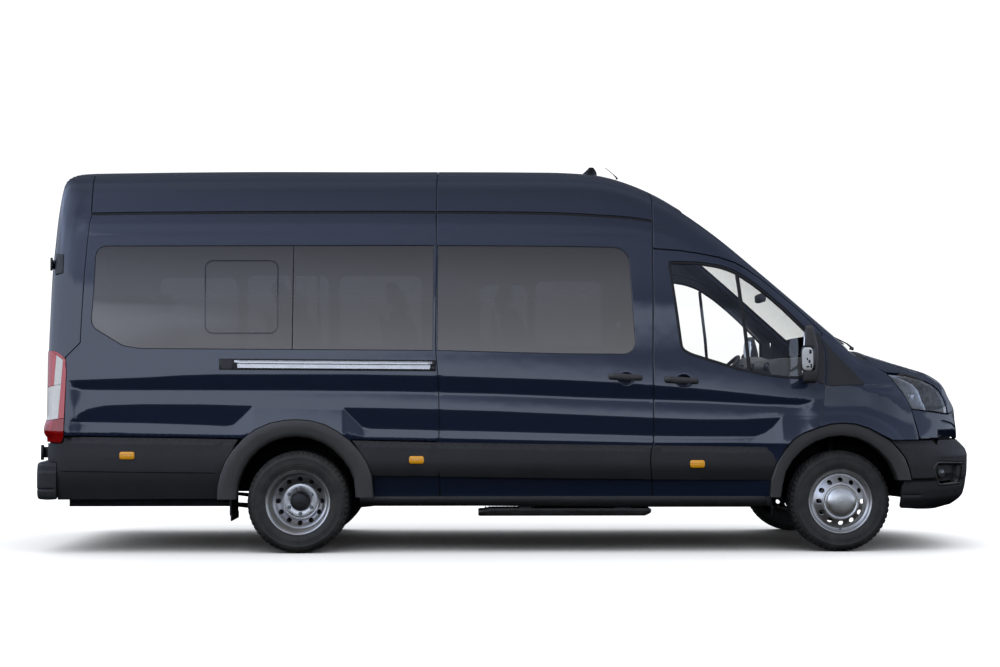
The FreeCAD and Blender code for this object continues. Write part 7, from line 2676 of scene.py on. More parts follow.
ws_frit = panel("windscreen_frit", Top, inset(scr, 0.002), [fr_in], None, thick=0.004, depth=0.0125, mats=[M["frit"]], lip=0.0, gap=0.0,
                hole_gap=0.0)
put(ws_frit, "body", ["windscreen"], "black_plastic")

# cowl below the windscreen
ry = np.linspace(-0.86, 0.86, 45)
rear_pts = np.stack([screen_foot(ry) + 0.001, ry], 1)
bon_edge = np.interp(np.abs(ry), [0.0, 0.40, 0.76, 0.86], [2.536, 2.531, 2.508, 2.498])
front_pts = np.stack([bon_edge, ry], 1)
cow = clean(dense(np.concatenate([rear_pts, front_pts[::-1]]), 0.03), 0.003)
gx = mesh_grid(np.arange(2.33, 2.54, 0.012), np.arange(-0.84, 0.85, 0.04))


def cowl_depth(p):
    x, y = p[:, 0], p[:, 1]
    f = screen_foot(y)
    return 0.006 + 0.020 * smooth_step(x, f + 0.004, f + 0.03) - 0.006 * smooth_step(x, 2.48, 2.52) + 0.0025 * np.cos(
        y * 2 * math.pi / 0.034) * smooth_step(x, f + 0.03, f + 0.04) * (1 - smooth_step(x, 2.475, 2.49))


cow_ob = panel("cowl_grille", Top, cow, (), gx, thick=0.006, depth=cowl_depth, mats=[M["black"]], lip=0.0025, gap=0.002)
put(cow_ob, "body", ["cowl"], "black_plastic")


def rod(name, pts, r, mats, flat=1.0, m=12, upv=(0, 0, 1)):
    """A round or flattened rod along a line of points; r may change along it."""
    p = np.array(pts, float)
    rr_ = np.full(len(p), r) if np.ndim(r) == 0 else np.array(r, float)
    t = np.gradient(p, axis=0)
    t /= np.linalg.norm(t, axis=1, keepdims=True)
    rings = []
    for i in range(len(p)):
        s1 = np.cross(t[i], upv)
        if np.linalg.norm(s1) < 1e-5:
            s1 = np.cross(t[i], (1, 0, 0))
        s1 /= np.linalg.norm(s1)
        s2 = np.cross(s1, t[i])
        ring = [p[i] + (s1 * math.cos(a) + s2 * math.sin(a) * flat) * rr_[i] for a in np.linspace(0, 2 * math.pi, m, endpoint=False)]
        rings.append([tuple(q) for q in ring])
    return loft(name, rings, mats, angle=45)


def on_top(x, y, h):
    p = Top.at(np.array([[x, y]]))
    return p[0] + normals(p)[0] * h


for sgn, nm in ((-1, "right"), (1, "left")):
    piv = (2.452, sgn * 0.36 - 0.14)
    tip = (2.300, piv[1] + 0.62 * (1 if sgn < 0 else 1))
    mid = [piv[0] + (tip[0] - piv[0]) * 0.5 - 0.012, (piv[1] + tip[1]) / 2]
    ps = [on_top(piv[0], piv[1], 0.012), on_top(piv[0] - 0.03, piv[1] + 0.06, 0.026), on_top(mid[0], mid[1], 0.026),
          on_top(tip[0] + 0.01, tip[1] - 0.24, 0.020)]
    put(rod(f"wiper_arm_{nm}", ps, [0.011, 0.008, 0.006, 0.005], [M["black"]], 0.6), "body", ["cowl"], "black_plastic")
    bl = [on_top(piv[0] - 0.055 - 0.10 * t, piv[1] + 0.02 + 0.64 * t, 0.004 + 0.006) for t in np.linspace(0, 1, 12)]
    put(rod(f"wiper_blade_{nm}", bl, [0.004] + [0.007] * 10 + [0.004], [M["seal"]], 0.9), "body", ["cowl"], "black_plastic")
    put(rod(f"wiper_pivot_{nm}", [on_top(piv[0], piv[1], -0.004), on_top(piv[0], piv[1], 0.010), on_top(piv[0], piv[1], 0.020)],
            [0.017, 0.016, 0.011], [M["black"]], 1.0, 20, (0, 1, 0)), "body", ["cowl"], "black_plastic")

# roof aerial: a shark-fin foot and a raked whip
rings = []
z0 = 2.742
for s in np.linspace(0, 1, 14):
    z = z0 + s * 0.062
    x0 = 0.520 + 0.070 * s ** 0.8
    x1 = 0.648 - 0.028 * s ** 2.2
    w = 0.024 * (1 - s ** 1.6) + 0.0035
    cx, hx = (x0 + x1) / 2, (x1 - x0) / 2
    rings.append([(cx + hx * math.copysign(abs(math.cos(a)) ** 0.9, math.cos(a)), w * math.sin(a), z) for a in
                  np.linspace(0, 2 * math.pi, 28, endpoint=False)])
put(loft("aerial_fin", rings, [M["gloss"]], angle=40), "body", ["roof_aerial"], "black_plastic")
put(rod("aerial_whip", [(0.800, 0.0, 2.715), (0.795, 0.0, 2.728), (0.772, 0.0, 2.752), (0.712, 0.0, 2.802)], [0.010, 0.006, 0.0028, 0.0022],
        [M["seal"]], 1.0, 12, (0, 1, 0)), "body", ["roof_aerial"], "black_plastic")
for i, y in enumerate((-0.055, 0.055)):
    put(rod(f"header_lamp_{i + 1}", [on_top(1.345, y, -0.002), on_top(1.345, y, 0.010), on_top(1.345, y, 0.016)], [0.030, 0.026, 0.014],
            [M["black"]], 1.0, 20, (0, 1, 0)), "body", ["roof"], "black_plastic")

# rear doors: panes, seals, handle, hinges, lamps over the plate, the plate itself
for nm, sgn in (("right", -1), ("left", 1)):
    node, bod = f"rear_{nm}_door_glass", f"rear_{nm}_door"
    g_ = pane("tmp", Rear, REAR_WIN, M["privacy"], depth=0.003)
    s_ = ring_of("tmp2", Rear, REAR_WIN, 0.018, 0.014, 0.020, 0.0085, [M["frit"]], 0.0)
    if sgn > 0:
        g2, s2 = mirrored(g_, "rear_left_door_pane"), mirrored(s_, "rear_left_door_glass_seal")
        bpy.data.objects.remove(g_)
        bpy.data.objects.remove(s_)
        g_, s_ = g2, s2
    else:
        g_.name, s_.name = "rear_right_door_pane", "rear_right_door_glass_seal"
    put(g_, bod, [node], "privacy_glass")
    put(s_, bod, [node], "black_plastic")


def rear_out(y, z, d):
    p = Rear.at(np.array([[y, z]]))
    return p[0] + normals(p)[0] * d


def put_both_rear(ob, slot):
    m = mirrored(ob, ob.name.replace("right", "left"))
    put(ob, "rear_right_door", ["rear_right_door"], slot)
    put(m, "rear_left_door", ["rear_left_door"], slot)


for k, (z, hh, r_, hx) in enumerate(((1.9935, 0.045, 0.0085, -3.213), (0.690, 0.052, 0.0115, -3.262))):
    brl = rod(f"rear_right_hinge_pin_{k + 1}", [(hx, -0.917, z - hh), (hx, -0.917, z - hh + 0.004), (hx, -0.917, z + hh - 0.004),
                                                (hx, -0.917, z + hh)], [r_ * 0.8, r_, r_, r_ * 0.8], [M["black"]], 1.0, 20, (1, 0, 0))
    if k == 0:
        put(mirrored(brl, "rear_left_hinge_pin_1"), "body", (), "black_plastic")
        put(brl, "body", (), "black_plastic")
    else:
        put_both_rear(brl, "black_plastic")
    pl = float(rear_out(-0.845, z, 0.0)[0])
    if k == 0:
        items = [((hx - 0.005, -0.915, z - hh * 0.72), (hx + 0.005, -0.870, z + hh * 0.72))]
    else:
        items = [((-3.268, -0.915, z - hh * 0.72), (-3.257, -0.868, z + hh * 0.72)),
                 ((-3.268, -0.880, z - hh * 0.72), (pl + 0.004, -0.862, z + hh * 0.72)),
                 ((pl - 0.005, -0.876, z - hh * 0.72), (pl + 0.004, -0.800, z + hh * 0.72))]
    leaf = blocks(f"rear_right_hinge_leaf_{k + 1}", items, [M["black"]], 0.003, 2)
    if k == 0:
        put(mirrored(leaf, "rear_left_hinge_leaf_1"), "body", (), "black_plastic")
        put(leaf, "body", (), "black_plastic")
    else:
        put_both_rear(leaf, "black_plastic")
# soft seals that close the slot between the two doors
zs = np.linspace(0.648, 2.492, 30)
put_both_rear(rod("rear_right_door_meeting_seal", [(float(rear_out(-0.0035, z, 0.0)[0]) + 0.030, -0.0035, float(z)) for z in zs], 0.0031,
                  [M["black"]], 1.0, 8, (1, 0, 0)), "black_plastic")
# the plate of the upper hinge on the body's corner
PLATE = clean(from_side([(-3.182, 1.917), (-3.182, 2.070), (-3.127, 2.060), (-3.127, 1.930), (-3.182, 1.917)], Corner, 0.02)[:-1], 0.003)
hinge_plate = panel("rear_hinge_plate_right", Corner, PLATE, (), None, thick=0.010, depth=-0.0065, mats=[M["black"]], lip=0.003, gap=0.0005)
put(hinge_plate, "body", (), "black_plastic")
put(mirrored(hinge_plate, "rear_hinge_plate_left"), "body", (), "black_plastic")

hp = [rear_out(0.085, 1.105, 0.0)]
x_d = float(hp[0][0])
put(blocks("rear_left_door_handle", [((x_d - 0.034, 0.030, 1.090), (x_d - 0.020, 0.245, 1.122)), ((x_d - 0.024, 0.040, 1.092), (x_d + 0.004,
                                                                                                              0.066, 1.120)),
                                     ((x_d - 0.024, 0.209, 1.092), (x_d + 0.004, 0.235, 1.120))], [M["black"]], 0.006, 3),
    "rear_left_door", ["rear_left_door"], "black_plastic")
put(blocks("rear_left_plate_lamp_bar", [((x_d - 0.026, 0.045, 1.004), (x_d + 0.004, 0.560, 1.048)), ((x_d - 0.020, 0.12, 0.998), (x_d - 0.004,
                                                                                                           0.19, 1.006)),
                                        ((x_d - 0.020, 0.41, 0.998), (x_d - 0.004, 0.48, 1.006))], [M["black"]], 0.008, 3),
    "rear_left_door", ["rear_left_door"], "black_plastic")
pm = rear_out(0.3025, 0.905, 0.0)
put(blocks("rear_number_plate", [((float(pm[0]) - 0.0085, 0.0425, 0.8495), (float(pm[0]) - 0.0045, 0.5625, 0.9605))], [M["plate"]], 0.0018, 2),
    "rear_left_door", ["rear_left_door"], "textured_plastic")
put(blocks("rear_number_plate_frame", [((float(pm[0]) - 0.0055, 0.036, 0.843), (float(pm[0]) + 0.006, 0.569, 0.967))], [M["black"]], 0.003, 2),
    "rear_left_door", ["rear_left_door"], "black_plastic")
# the point for a high stop lamp on the rear of the roof; no lamp is built from it
st = rear_out(0.0, 2.470, 0.0)

# mudflaps behind the rear wheels
flap = blocks("mudflap_right", [((-1.952, -1.045, 0.262), (-1.940, -0.700, 0.470)), ((-1.946, -1.045, 0.224), (-1.936, -0.700, 0.270))],
              [M["seal"]], 0.003, 2)
put(flap, "body", (), "black_plastic")
put(mirrored(flap, "mudflap_left"), "body", (), "black_plastic")
# the apron behind each front wheel
apron = blocks("front_apron_right", [((1.772, -0.985, 0.262), (1.784, -0.640, 0.470)), ((1.742, -0.985, 0.320), (1.784, -0.900, 0.400))],
               [M["seal"]], 0.003, 2)
put(apron, "body", (), "black_plastic")
put(mirrored(apron, "front_apron_left"), "body", (), "black_plastic")


# =====================================================================================
# 13. inside: padded seats, floor covering, headliner, side trims, dashboard, steering wheel
# =====================================================================================
def pad(name, size, centre, tilt, mats, crown_=0.012, bolster=0.0, channels_u=(), channels_v=(), p=7.0, panel_w=0.60):
    """A stuffed cover: crowned faces, sides that pull in between the corners, a welted seam and sewn channels.
    size: thickness, width, height. The face of the pad looks along +thickness."""
    a, b, c = size[0] / 2, size[1] / 2, size[2] / 2

    def line_of(chs, half, n):
        base = list(np.linspace(-1, 1, n))
        for s in chs:
            base += [s - 0.016 / half, s - 0.006 / half, s, s + 0.006 / half, s + 0.016 / half]
        base = np.array(sorted(base + [-1 + 0.012 / half, -1 + 0.030 / half, 1 - 0.012 / half, 1 - 0.030 / half]))
        base = base[(base >= -1) & (base <= 1)]
        keep = [base[0]]
        for q in base[1:]:
            if q - keep[-1] > 0.004 / half:
                keep.append(q)
        keep[-1] = 1.0
        return np.array(keep)

    T = np.array([-1, -0.86, -0.5, 0.0, 0.42, 0.52, 0.62, 0.86, 1.0])
    U, V2 = line_of(channels_u, b, 11), line_of(channels_v, c, 11)
    verts, index, faces, mi = [], {}, [], []

    def vid(t, u, v):
        key = (round(t, 5), round(u, 5), round(v, 5))
        if key not in index:
            q = np.array([t, u, v], float)
            m = np.max(np.abs(q))
            r = (np.abs(q) ** p).sum() ** (1 / p)
            q = q / r * m
            x, y, z = q[0] * a, q[1] * b, q[2] * c
            face = max(0.0, q[0]) ** 2
            dome = (1 - min(1, abs(u)) ** 2.4) * (1 - min(1, abs(v)) ** 2.4)
            x += (crown_ if t > 0 else -crown_ * 0.4) * dome * abs(q[0]) ** 3
            x += bolster * face * math.exp(-((abs(u) - 0.80) / 0.16) ** 2) * (1 - abs(v) ** 6)
            for s in channels_u:
                x -= 0.0085 * face * math.exp(-((u - s) * b / 0.0075) ** 2) * (1 - min(1, abs(v) * 1.03) ** 8)
            for s in channels_v:
                w_ = 1 - min(1, abs(u) / max(panel_w, 0.05)) ** 8
                x -= 0.0085 * face * math.exp(-((v - s) * c / 0.0075) ** 2) * w_
            side_u, side_v = abs(q[1]) ** 8, abs(q[2]) ** 8
            y -= math.copysign(0.010 * side_u * (1 - abs(v) ** 3), y)
            z -= math.copysign(0.010 * side_v * (1 - abs(u) ** 3), z)
            seam = math.exp(-((t - 0.52) / 0.055) ** 2)
            y -= math.copysign(0.0045 * seam * side_u, y)
            z -= math.copysign(0.0045 * seam * side_v, z)
            pk = 0.0015 * math.sin(9.0 * u * b / 0.1 + 5 * v) * math.sin(7.0 * v * c / 0.1 + 2.0) * face
            x += pk
            ct, st_ = math.cos(tilt), math.sin(tilt)
            index[key] = len(verts)
            verts.append((centre[0] + x * ct - z * st_, centre[1] + y, centre[2] + x * st_ + z * ct))
        return index[key]

    def sheet(A, B, f, kind):
        for i in range(len(A) - 1):
            for j in range(len(B) - 1):
                faces.append((vid(*f(A[i], B[j])), vid(*f(A[i + 1], B[j])), vid(*f(A[i + 1], B[j + 1])), vid(*f(A[i], B[j + 1]))))
                um = (A[i] + A[i + 1]) / 2
                mi.append(0 if (kind == "front" and abs(um) < panel_w) else 1)

    sheet(U, V2, lambda u, v: (1, u, v), "front")
    sheet(U, V2, lambda u, v: (-1, u, v), "back")
    sheet(T, V2, lambda t, v: (t, -1, v), "s")
    sheet(T, V2, lambda t, v: (t, 1, v), "s")
    sheet(T, U, lambda t, u: (t, u, -1), "s")
    sheet(T, U, lambda t, u: (t, u, 1), "s")
    return outward(new_object(name, verts, faces, None, mats, mi), 70)


SEAT_M = [M["seat"], M["seat_side"]]


def place_seat(tag, x, y0, y1, z, node):
    yc, w = (y0 + y1) / 2, (y1 - y0)
    t = math.radians(13.0)
    # the back leans to the rear: its face looks forward and up
    bk = pad(f"seat_back_{tag}", (0.112, w - 0.012, 0.655), (x - 0.019, yc, z + 0.338), t, SEAT_M, 0.010, 0.016, (-0.60, 0.60),
             (-0.45, -0.10, 0.25, 0.60))
    cu = pad(f"seat_cushion_{tag}", (0.112, w - 0.012, 0.475), (x + 0.372, yc, z + 0.070), math.radians(92.5), SEAT_M, 0.012, 0.012,
             (-0.60, 0.60), (-0.35, 0.10, 0.52))
    hd_ = pad(f"seat_headrest_{tag}", (0.086, min(0.262, w - 0.05), 0.168), (x - 0.119, yc, z + 0.766), math.radians(7), SEAT_M, 0.008,
              0.0, (), (0.0,), p=4.0, panel_w=0.75)
    for ob in (bk, cu, hd_):
        put(ob, "body", [node], "seat_fabric")
    for s in (-0.06, 0.06):
        V_ = rod(f"headrest_post_{tag}_{'a' if s < 0 else 'b'}", [(x - 0.098, yc + s, z + 0.630), (x - 0.108, yc + s, z + 0.680),
                                                                (x - 0.116, yc + s, z + 0.740)], 0.006, [M["chrome"]], 1.0, 10, (0, 1, 0))
        put(V_, "body", [node], "wheel_steel")


k = 0
for (x, y0, y1), n, z in (((0.900, 0.250, 0.720), 1, 0.940), ((0.900, -0.740, 0.090), 2, 0.940)):
    for q in range(n):
        w = (y1 - y0) / n
        k += 1
        place_seat(f"cab_{k}", x, y0 + w * q + 0.003, y0 + w * (q + 1) - 0.003, z, "cab_seats")
k = 0
for x, y0, y1 in ((0.060, 0.030, 0.900), (0.060, -0.900, -0.470), (-0.740, 0.030, 0.900), (-0.740, -0.900, -0.470),
                  (-1.540, 0.030, 0.900), (-1.540, -0.900, -0.470), (-2.600, -0.900, 0.900)):
    n = 1 if y1 - y0 < 0.5 else (2 if y1 - y0 < 1 else 4)
    for q in range(n):
        w = (y1 - y0) / n
        k += 1
        place_seat(f"row_{k}", x, y0 + w * q + 0.003, y0 + w * (q + 1) - 0.003, 1.040, "passenger_seats")


def shell_seat_backs():
    """Hard shells behind the passenger backs."""
    k = 0
    for x, y0, y1 in ((0.060, 0.030, 0.900), (0.060, -0.900, -0.470), (-0.740, 0.030, 0.900), (-0.740, -0.900, -0.470),
                      (-1.540, 0.030, 0.900), (-1.540, -0.900, -0.470)):
        k += 1
        rings = []
        for s in np.linspace(0, 1, 12):
            z = 1.06 + s * 0.60
            xc = x - 0.036 - (z - 1.04) * 0.2165 - 0.036
            e = 0.020 * (max(0, 0.12 - s) / 0.12) ** 2 + 0.03 * (max(0, s - 0.9) / 0.1) ** 2
            rings.append([(a, b, z) for a, b in round_rect(xc, (y0 + y1) / 2, 0.010, (y1 - y0) / 2 - 0.015 - e, 28, 8.0)])
        put(loft(f"seat_shell_{k}", rings, [M["trim_dark"]], angle=50), "body", (), "cabin_plastic")


shell_seat_backs()

# floor covering with a raised edge, narrower between x -1.99 and -0.99, beside the rear wheel arches
rings = []
for x, e in [(-3.040, 0.02)] + [(x, 0.0) for x in np.linspace(-3.02, 1.70, 26)] + [(1.715, 0.01)]:
    w = 0.905 - e
    if -1.99 < x < -0.99:
        w = 0.52
    rings.append([(x, -w, 0.7225), (x, -w, 0.7265), (x, -w + 0.006, 0.7285), (x, w - 0.006, 0.7285), (x, w, 0.7265), (x, w, 0.7225)])
put(loft("floor_covering", rings, [M["floor"]]), "body", (), "cabin_plastic")

# headliner and side trims
hl = fine([(-2.98, -0.70), (1.20, -0.66), (1.24, -0.3), (1.25, 0.0), (1.24, 0.3), (1.20, 0.66), (-2.98, 0.70)], 0.08)
put(panel("headliner_panel", Top, hl, (), mesh_grid(np.arange(-2.9, 1.2, 0.16), np.arange(-0.66, 0.67, 0.11)), thick=0.008, depth=0.055,
          mats=[M["headliner"]], lip=0.004, gap=0.0), "body", (), "seat_fabric")


def opening(x0, x1, z0, z1, r=0.06):
    return rounded([(x0, z0, r), (x1, z0, r), (x1, z1, r), (x0, z1, r)], 0.0, 0.03)


trim_out = fine([(-2.90, 0.80), (0.90, 0.80), (0.90, 2.235), (-2.90, 2.235)], 0.08)
trim_out_r1 = fine([(-2.90, 0.80), (-0.58, 0.80), (-0.58, 2.235), (-2.90, 2.235)], 0.08)
trim_out_r2 = fine([(-0.50, 0.80), (0.90, 0.80), (0.90, 2.235), (-0.50, 2.235)], 0.08)
far = [opening(-2.80, -2.18, 1.50, 2.03), opening(-2.10, -1.45, 1.48, 2.05), opening(-1.359, -0.700, 1.48, 2.05),
       opening(-0.229, 0.152, 1.514, 1.976), opening(0.217, 0.752, 1.49, 2.008)]
near_ = [opening(-2.86, -1.56, 1.43, 2.09, 0.08), opening(-1.52, -0.62, 1.43, 2.09, 0.08)]
gg = lambda x0, x1: mesh_grid(np.arange(x0, x1, 0.12), np.arange(0.85, 2.2, 0.11))
put(panel("side_trim_right_rear", Side, trim_out_r1, near_, gg(-2.85, -0.6), thick=0.006, depth=0.052, mats=[M["trim"]], lip=0.004, gap=0.0),
    "body", (), "cabin_plastic")
put(panel("sliding_door_trim", Side, trim_out_r2, [opening(-0.46, 0.82, 1.43, 2.09, 0.08)], gg(-0.45, 0.88), thick=0.006, depth=0.052,
          mats=[M["trim"]], lip=0.004, gap=0.0), "body", (), "cabin_plastic")
tmp = panel("tmp_trim", Side, trim_out, far, gg(-2.85, 0.88), thick=0.006, depth=0.052, mats=[M["trim"]], lip=0.004, gap=0.0)
put(mirrored(tmp, "side_trim_left"), "body", (), "cabin_plastic")
bpy.data.objects.remove(tmp)
dt = panel("front_right_door_trim", Side, fine([(1.03, 0.80), (1.80, 0.80), (1.98, 0.90), (2.05, 1.18), (1.88, 1.185), (1.70, 1.205),
                                               (1.50, 1.25), (1.22, 1.345), (1.13, 1.385), (1.04, 1.36)], 0.05), (), mesh_grid(
    np.arange(1.05, 2.0, 0.07), np.arange(0.84, 1.34, 0.06)), thick=0.010, depth=0.050, mats=[M["trim_dark"]], lip=0.004, gap=0.0)
on_doors(dt, "front_right_door", "cabin_plastic")
arm_ = blocks("front_right_door_armrest", [((1.18, -0.952, 1.005), (1.66, -0.885, 1.052)), ((1.50, -0.955, 1.04), (1.62, -0.905, 1.075))],
              [M["trim_dark"]], 0.016, 3)
on_doors(arm_, "front_right_door", "cabin_plastic")

# dashboard
dash_pts = [(2.145, 0.965, 0.01), (2.145, 1.325, 0.02), (2.010, 1.350, 0.05), (1.850, 1.343, 0.04), (1.776, 1.288, 0.035), (1.782, 1.135, 0.04),
            (1.862, 1.003, 0.04), (1.985, 0.965, 0.02)]
base_ring = rounded(dash_pts, 0.0, 0.03)
rings = []
for y in np.concatenate([[-0.900, -0.894], np.linspace(-0.87, 0.87, 60), [0.894, 0.900]]):
    e = min(abs(y + 0.900), abs(0.900 - y))
    kk = 1.0 - 0.03 * max(0.0, 1 - e / 0.02)
    hood = math.exp(-((y - 0.47) / 0.17) ** 4)
    cons = math.exp(-((y - 0.02) / 0.16) ** 4)
    c = base_ring.mean(0)
    ring = []
    for u, v in base_ring:
        u2, v2 = c[0] + (u - c[0]) * kk, c[1] + (v - c[1]) * kk
        top_ = smooth_step(v, 1.28, 1.34)
        v2 += hood * 0.036 * float(top_) * float(1 - smooth_step(u, 1.93, 2.05))
        u2 -= hood * 0.030 * float(smooth_step(v, 1.27, 1.31)) * float(1 - smooth_step(u, 1.80, 1.90))
        u2 -= cons * 0.022 * float(1 - smooth_step(u, 1.80, 1.92))
        u2 += 0.014 * float(1 - smooth_step(u, 1.80, 1.92)) * math.exp(-((v - 1.24) / 0.012) ** 2) * (1 - cons) * (1 - hood)
        ring.append((u2, y, v2))
    rings.append(ring)
put(loft("dashboard_shell", rings, [M["trim"]], angle=50), "body", ["dashboard"], "cabin_plastic")
items = [((1.746, -0.135, 1.165), (1.765, 0.165, 1.285), 0.006)]
for y in (-0.80, -0.20, 0.235, 0.78):
    items.append(((1.752 if abs(y) < 0.3 else 1.762, y - 0.055, 1.255), (1.790, y + 0.055, 1.315), 0.008))
put(blocks("dashboard_screen_and_vents", items, [M["gloss"]], 0.006, 3), "body", ["dashboard"], "cabin_plastic")
put(blocks("dashboard_centre_stack", [((1.748, -0.115, 1.035), (1.86, 0.145, 1.155)), ((1.70, 0.02, 0.985), (1.84, 0.10, 1.045))],
           [M["trim_dark"]], 0.014, 3), "body", ["dashboard"], "cabin_plastic")
put(rod("gear_lever", [(1.765, 0.06, 1.03), (1.735, 0.06, 1.085), (1.722, 0.06, 1.115), (1.715, 0.06, 1.135), (1.711, 0.06, 1.145)],
        [0.018, 0.009, 0.010, 0.022, 0.012], [M["trim_dark"]], 1.0, 20, (0, 1, 0)), "body", ["dashboard"], "cabin_plastic")
ax = np.array([-math.cos(math.radians(42)), 0.0, math.sin(math.radians(42))])
C0 = np.array([1.660, 0.470, 1.240])
put(rod("steering_column", [C0 - ax * 0.200, C0 - ax * 0.190, C0 - ax * 0.070, C0 - ax * 0.050], [0.046, 0.050, 0.042, 0.036],
        [M["trim_dark"]], 1.0, 28, (0, 1, 0)), "body", ["dashboard"], "cabin_plastic")
put(rod("column_stalk_left", [C0 - ax * 0.085 + [0, 0.03, 0], C0 - ax * 0.080 + [0, 0.10, 0.005], C0 - ax * 0.075 + [0, 0.165, 0.010]],
        [0.009, 0.007, 0.008], [M["trim_dark"]]), "body", ["dashboard"], "cabin_plastic")

# steering wheel
e1 = np.array([0.0, 1.0, 0.0])
e2 = np.cross(ax, e1)
N1, N2 = 84, 14
V_, F_ = [], []
for i in range(N1):
    th = 2 * math.pi * i / N1
    grip = 0.0160 + 0.0016 * math.exp(-((abs(math.remainder(th, 2 * math.pi)) - 1.1) / 0.25) ** 2) + 0.0004 * math.cos(2 * th)
    rad = e1 * math.sin(th) + e2 * math.cos(th)
    for j in range(N2):
        ph = 2 * math.pi * j / N2
        V_.append(C0 + rad * (0.190 + grip * math.cos(ph)) + ax * grip * 0.92 * math.sin(ph))
for i in range(N1):
    for j in range(N2):
        a, b = i * N2 + j, i * N2 + (j + 1) % N2
        c, d = ((i + 1) % N1) * N2 + (j + 1) % N2, ((i + 1) % N1) * N2 + j
        F_.append((a, b, c, d))
put(outward(new_object("steering_wheel_rim", V_, F_, None, [M["trim_dark"]]), 80), "steering_wheel", ["steering_wheel"], "cabin_plastic")
rings = []
for s, h in ((0.55, -0.040), (0.90, -0.036), (1.0, -0.022), (1.0, -0.004), (0.95, 0.004), (0.80, 0.010), (0.45, 0.013), (0.1, 0.014)):
    q = round_rect(0, 0, 0.066 * s, 0.056 * s, 36, 3.2)
    rings.append([tuple(C0 + e1 * a + e2 * b + ax * h) for a, b in q])
put(loft("steering_wheel_hub", rings, [M["trim_dark"]], angle=50), "steering_wheel", ["steering_wheel"], "cabin_plastic")
for k, th in enumerate((math.pi / 2, -math.pi / 2, math.pi)):
    rad = e1 * math.sin(th) + e2 * math.cos(th)
    ps = [C0 + rad * r - ax * h for r, h in ((0.045, 0.014), (0.08, 0.016), (0.13, 0.012), (0.182, 0.002))]
    put(rod(f"steering_wheel_spoke_{k + 1}", ps, [0.024, 0.020, 0.015, 0.013], [M["trim_dark"]], 0.42, 16, tuple(ax)), "steering_wheel",
        ["steering_wheel"], "cabin_plastic")

# inside mirror; an outline for a cab roof lining is worked out but not built
cl = fine([(1.27, -0.70), (1.34, -0.68), (1.345, 0.0), (1.34, 0.68), (1.27, 0.70)], 0.06)
rings = []
for y in np.concatenate([[-0.105, -0.103], np.linspace(-0.098, 0.098, 12), [0.103, 0.105]]):
    e = 0.55 if abs(y) > 0.104 else (0.9 if abs(y) > 0.10 else 1.0)
    rings.append([(a, y, b) for a, b in round_rect(1.882, 1.815, 0.026 * e, 0.033 * e, 24, 3.0)])
put(loft("inside_mirror", rings, [M["trim_dark"]], angle=50), "body", (), "cabin_plastic")
up_pt = on_top(1.945, 0.0, -0.022)
put(rod("inside_mirror_stalk", [(1.890, 0.0, 1.835), (1.915, 0.0, 1.850), tuple(up_pt)], [0.012, 0.010, 0.020], [M["trim_dark"]], 1.0, 16,
        (0, 1, 0)), "body", (), "cabin_plastic")


# =====================================================================================
# 14. coats for the parts that keep their plain shape underneath and inside
# =====================================================================================
M["well"] = plastic("wheelhouse_liner", (0.0030, 0.0030, 0.0032), (0.0065, 0.0065, 0.0068), 0.75, 300.0, 0.0008, spec=0.2)
M["under"] = plastic("underbody_coat", (0.0045, 0.0045, 0.0048), (0.011, 0.0108, 0.0105), 0.7, 260.0, 0.0009, spec=0.25)
COATS = {"floor": "under", "wheelhouses": "well", "b_pillars": "seal", "chassis_frame": "under", "front_subframe": "under",
         "engine": "cast", "radiator": "dark_metal", "rear_axle": "under", "exhaust": "exhaust", "fuel_tank": "under", "seat_frames": "dark_metal"}
for nm, key in COATS.items():
    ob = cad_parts[nm]
    ob.data.materials.clear()
    ob.data.materials.append(M[key])


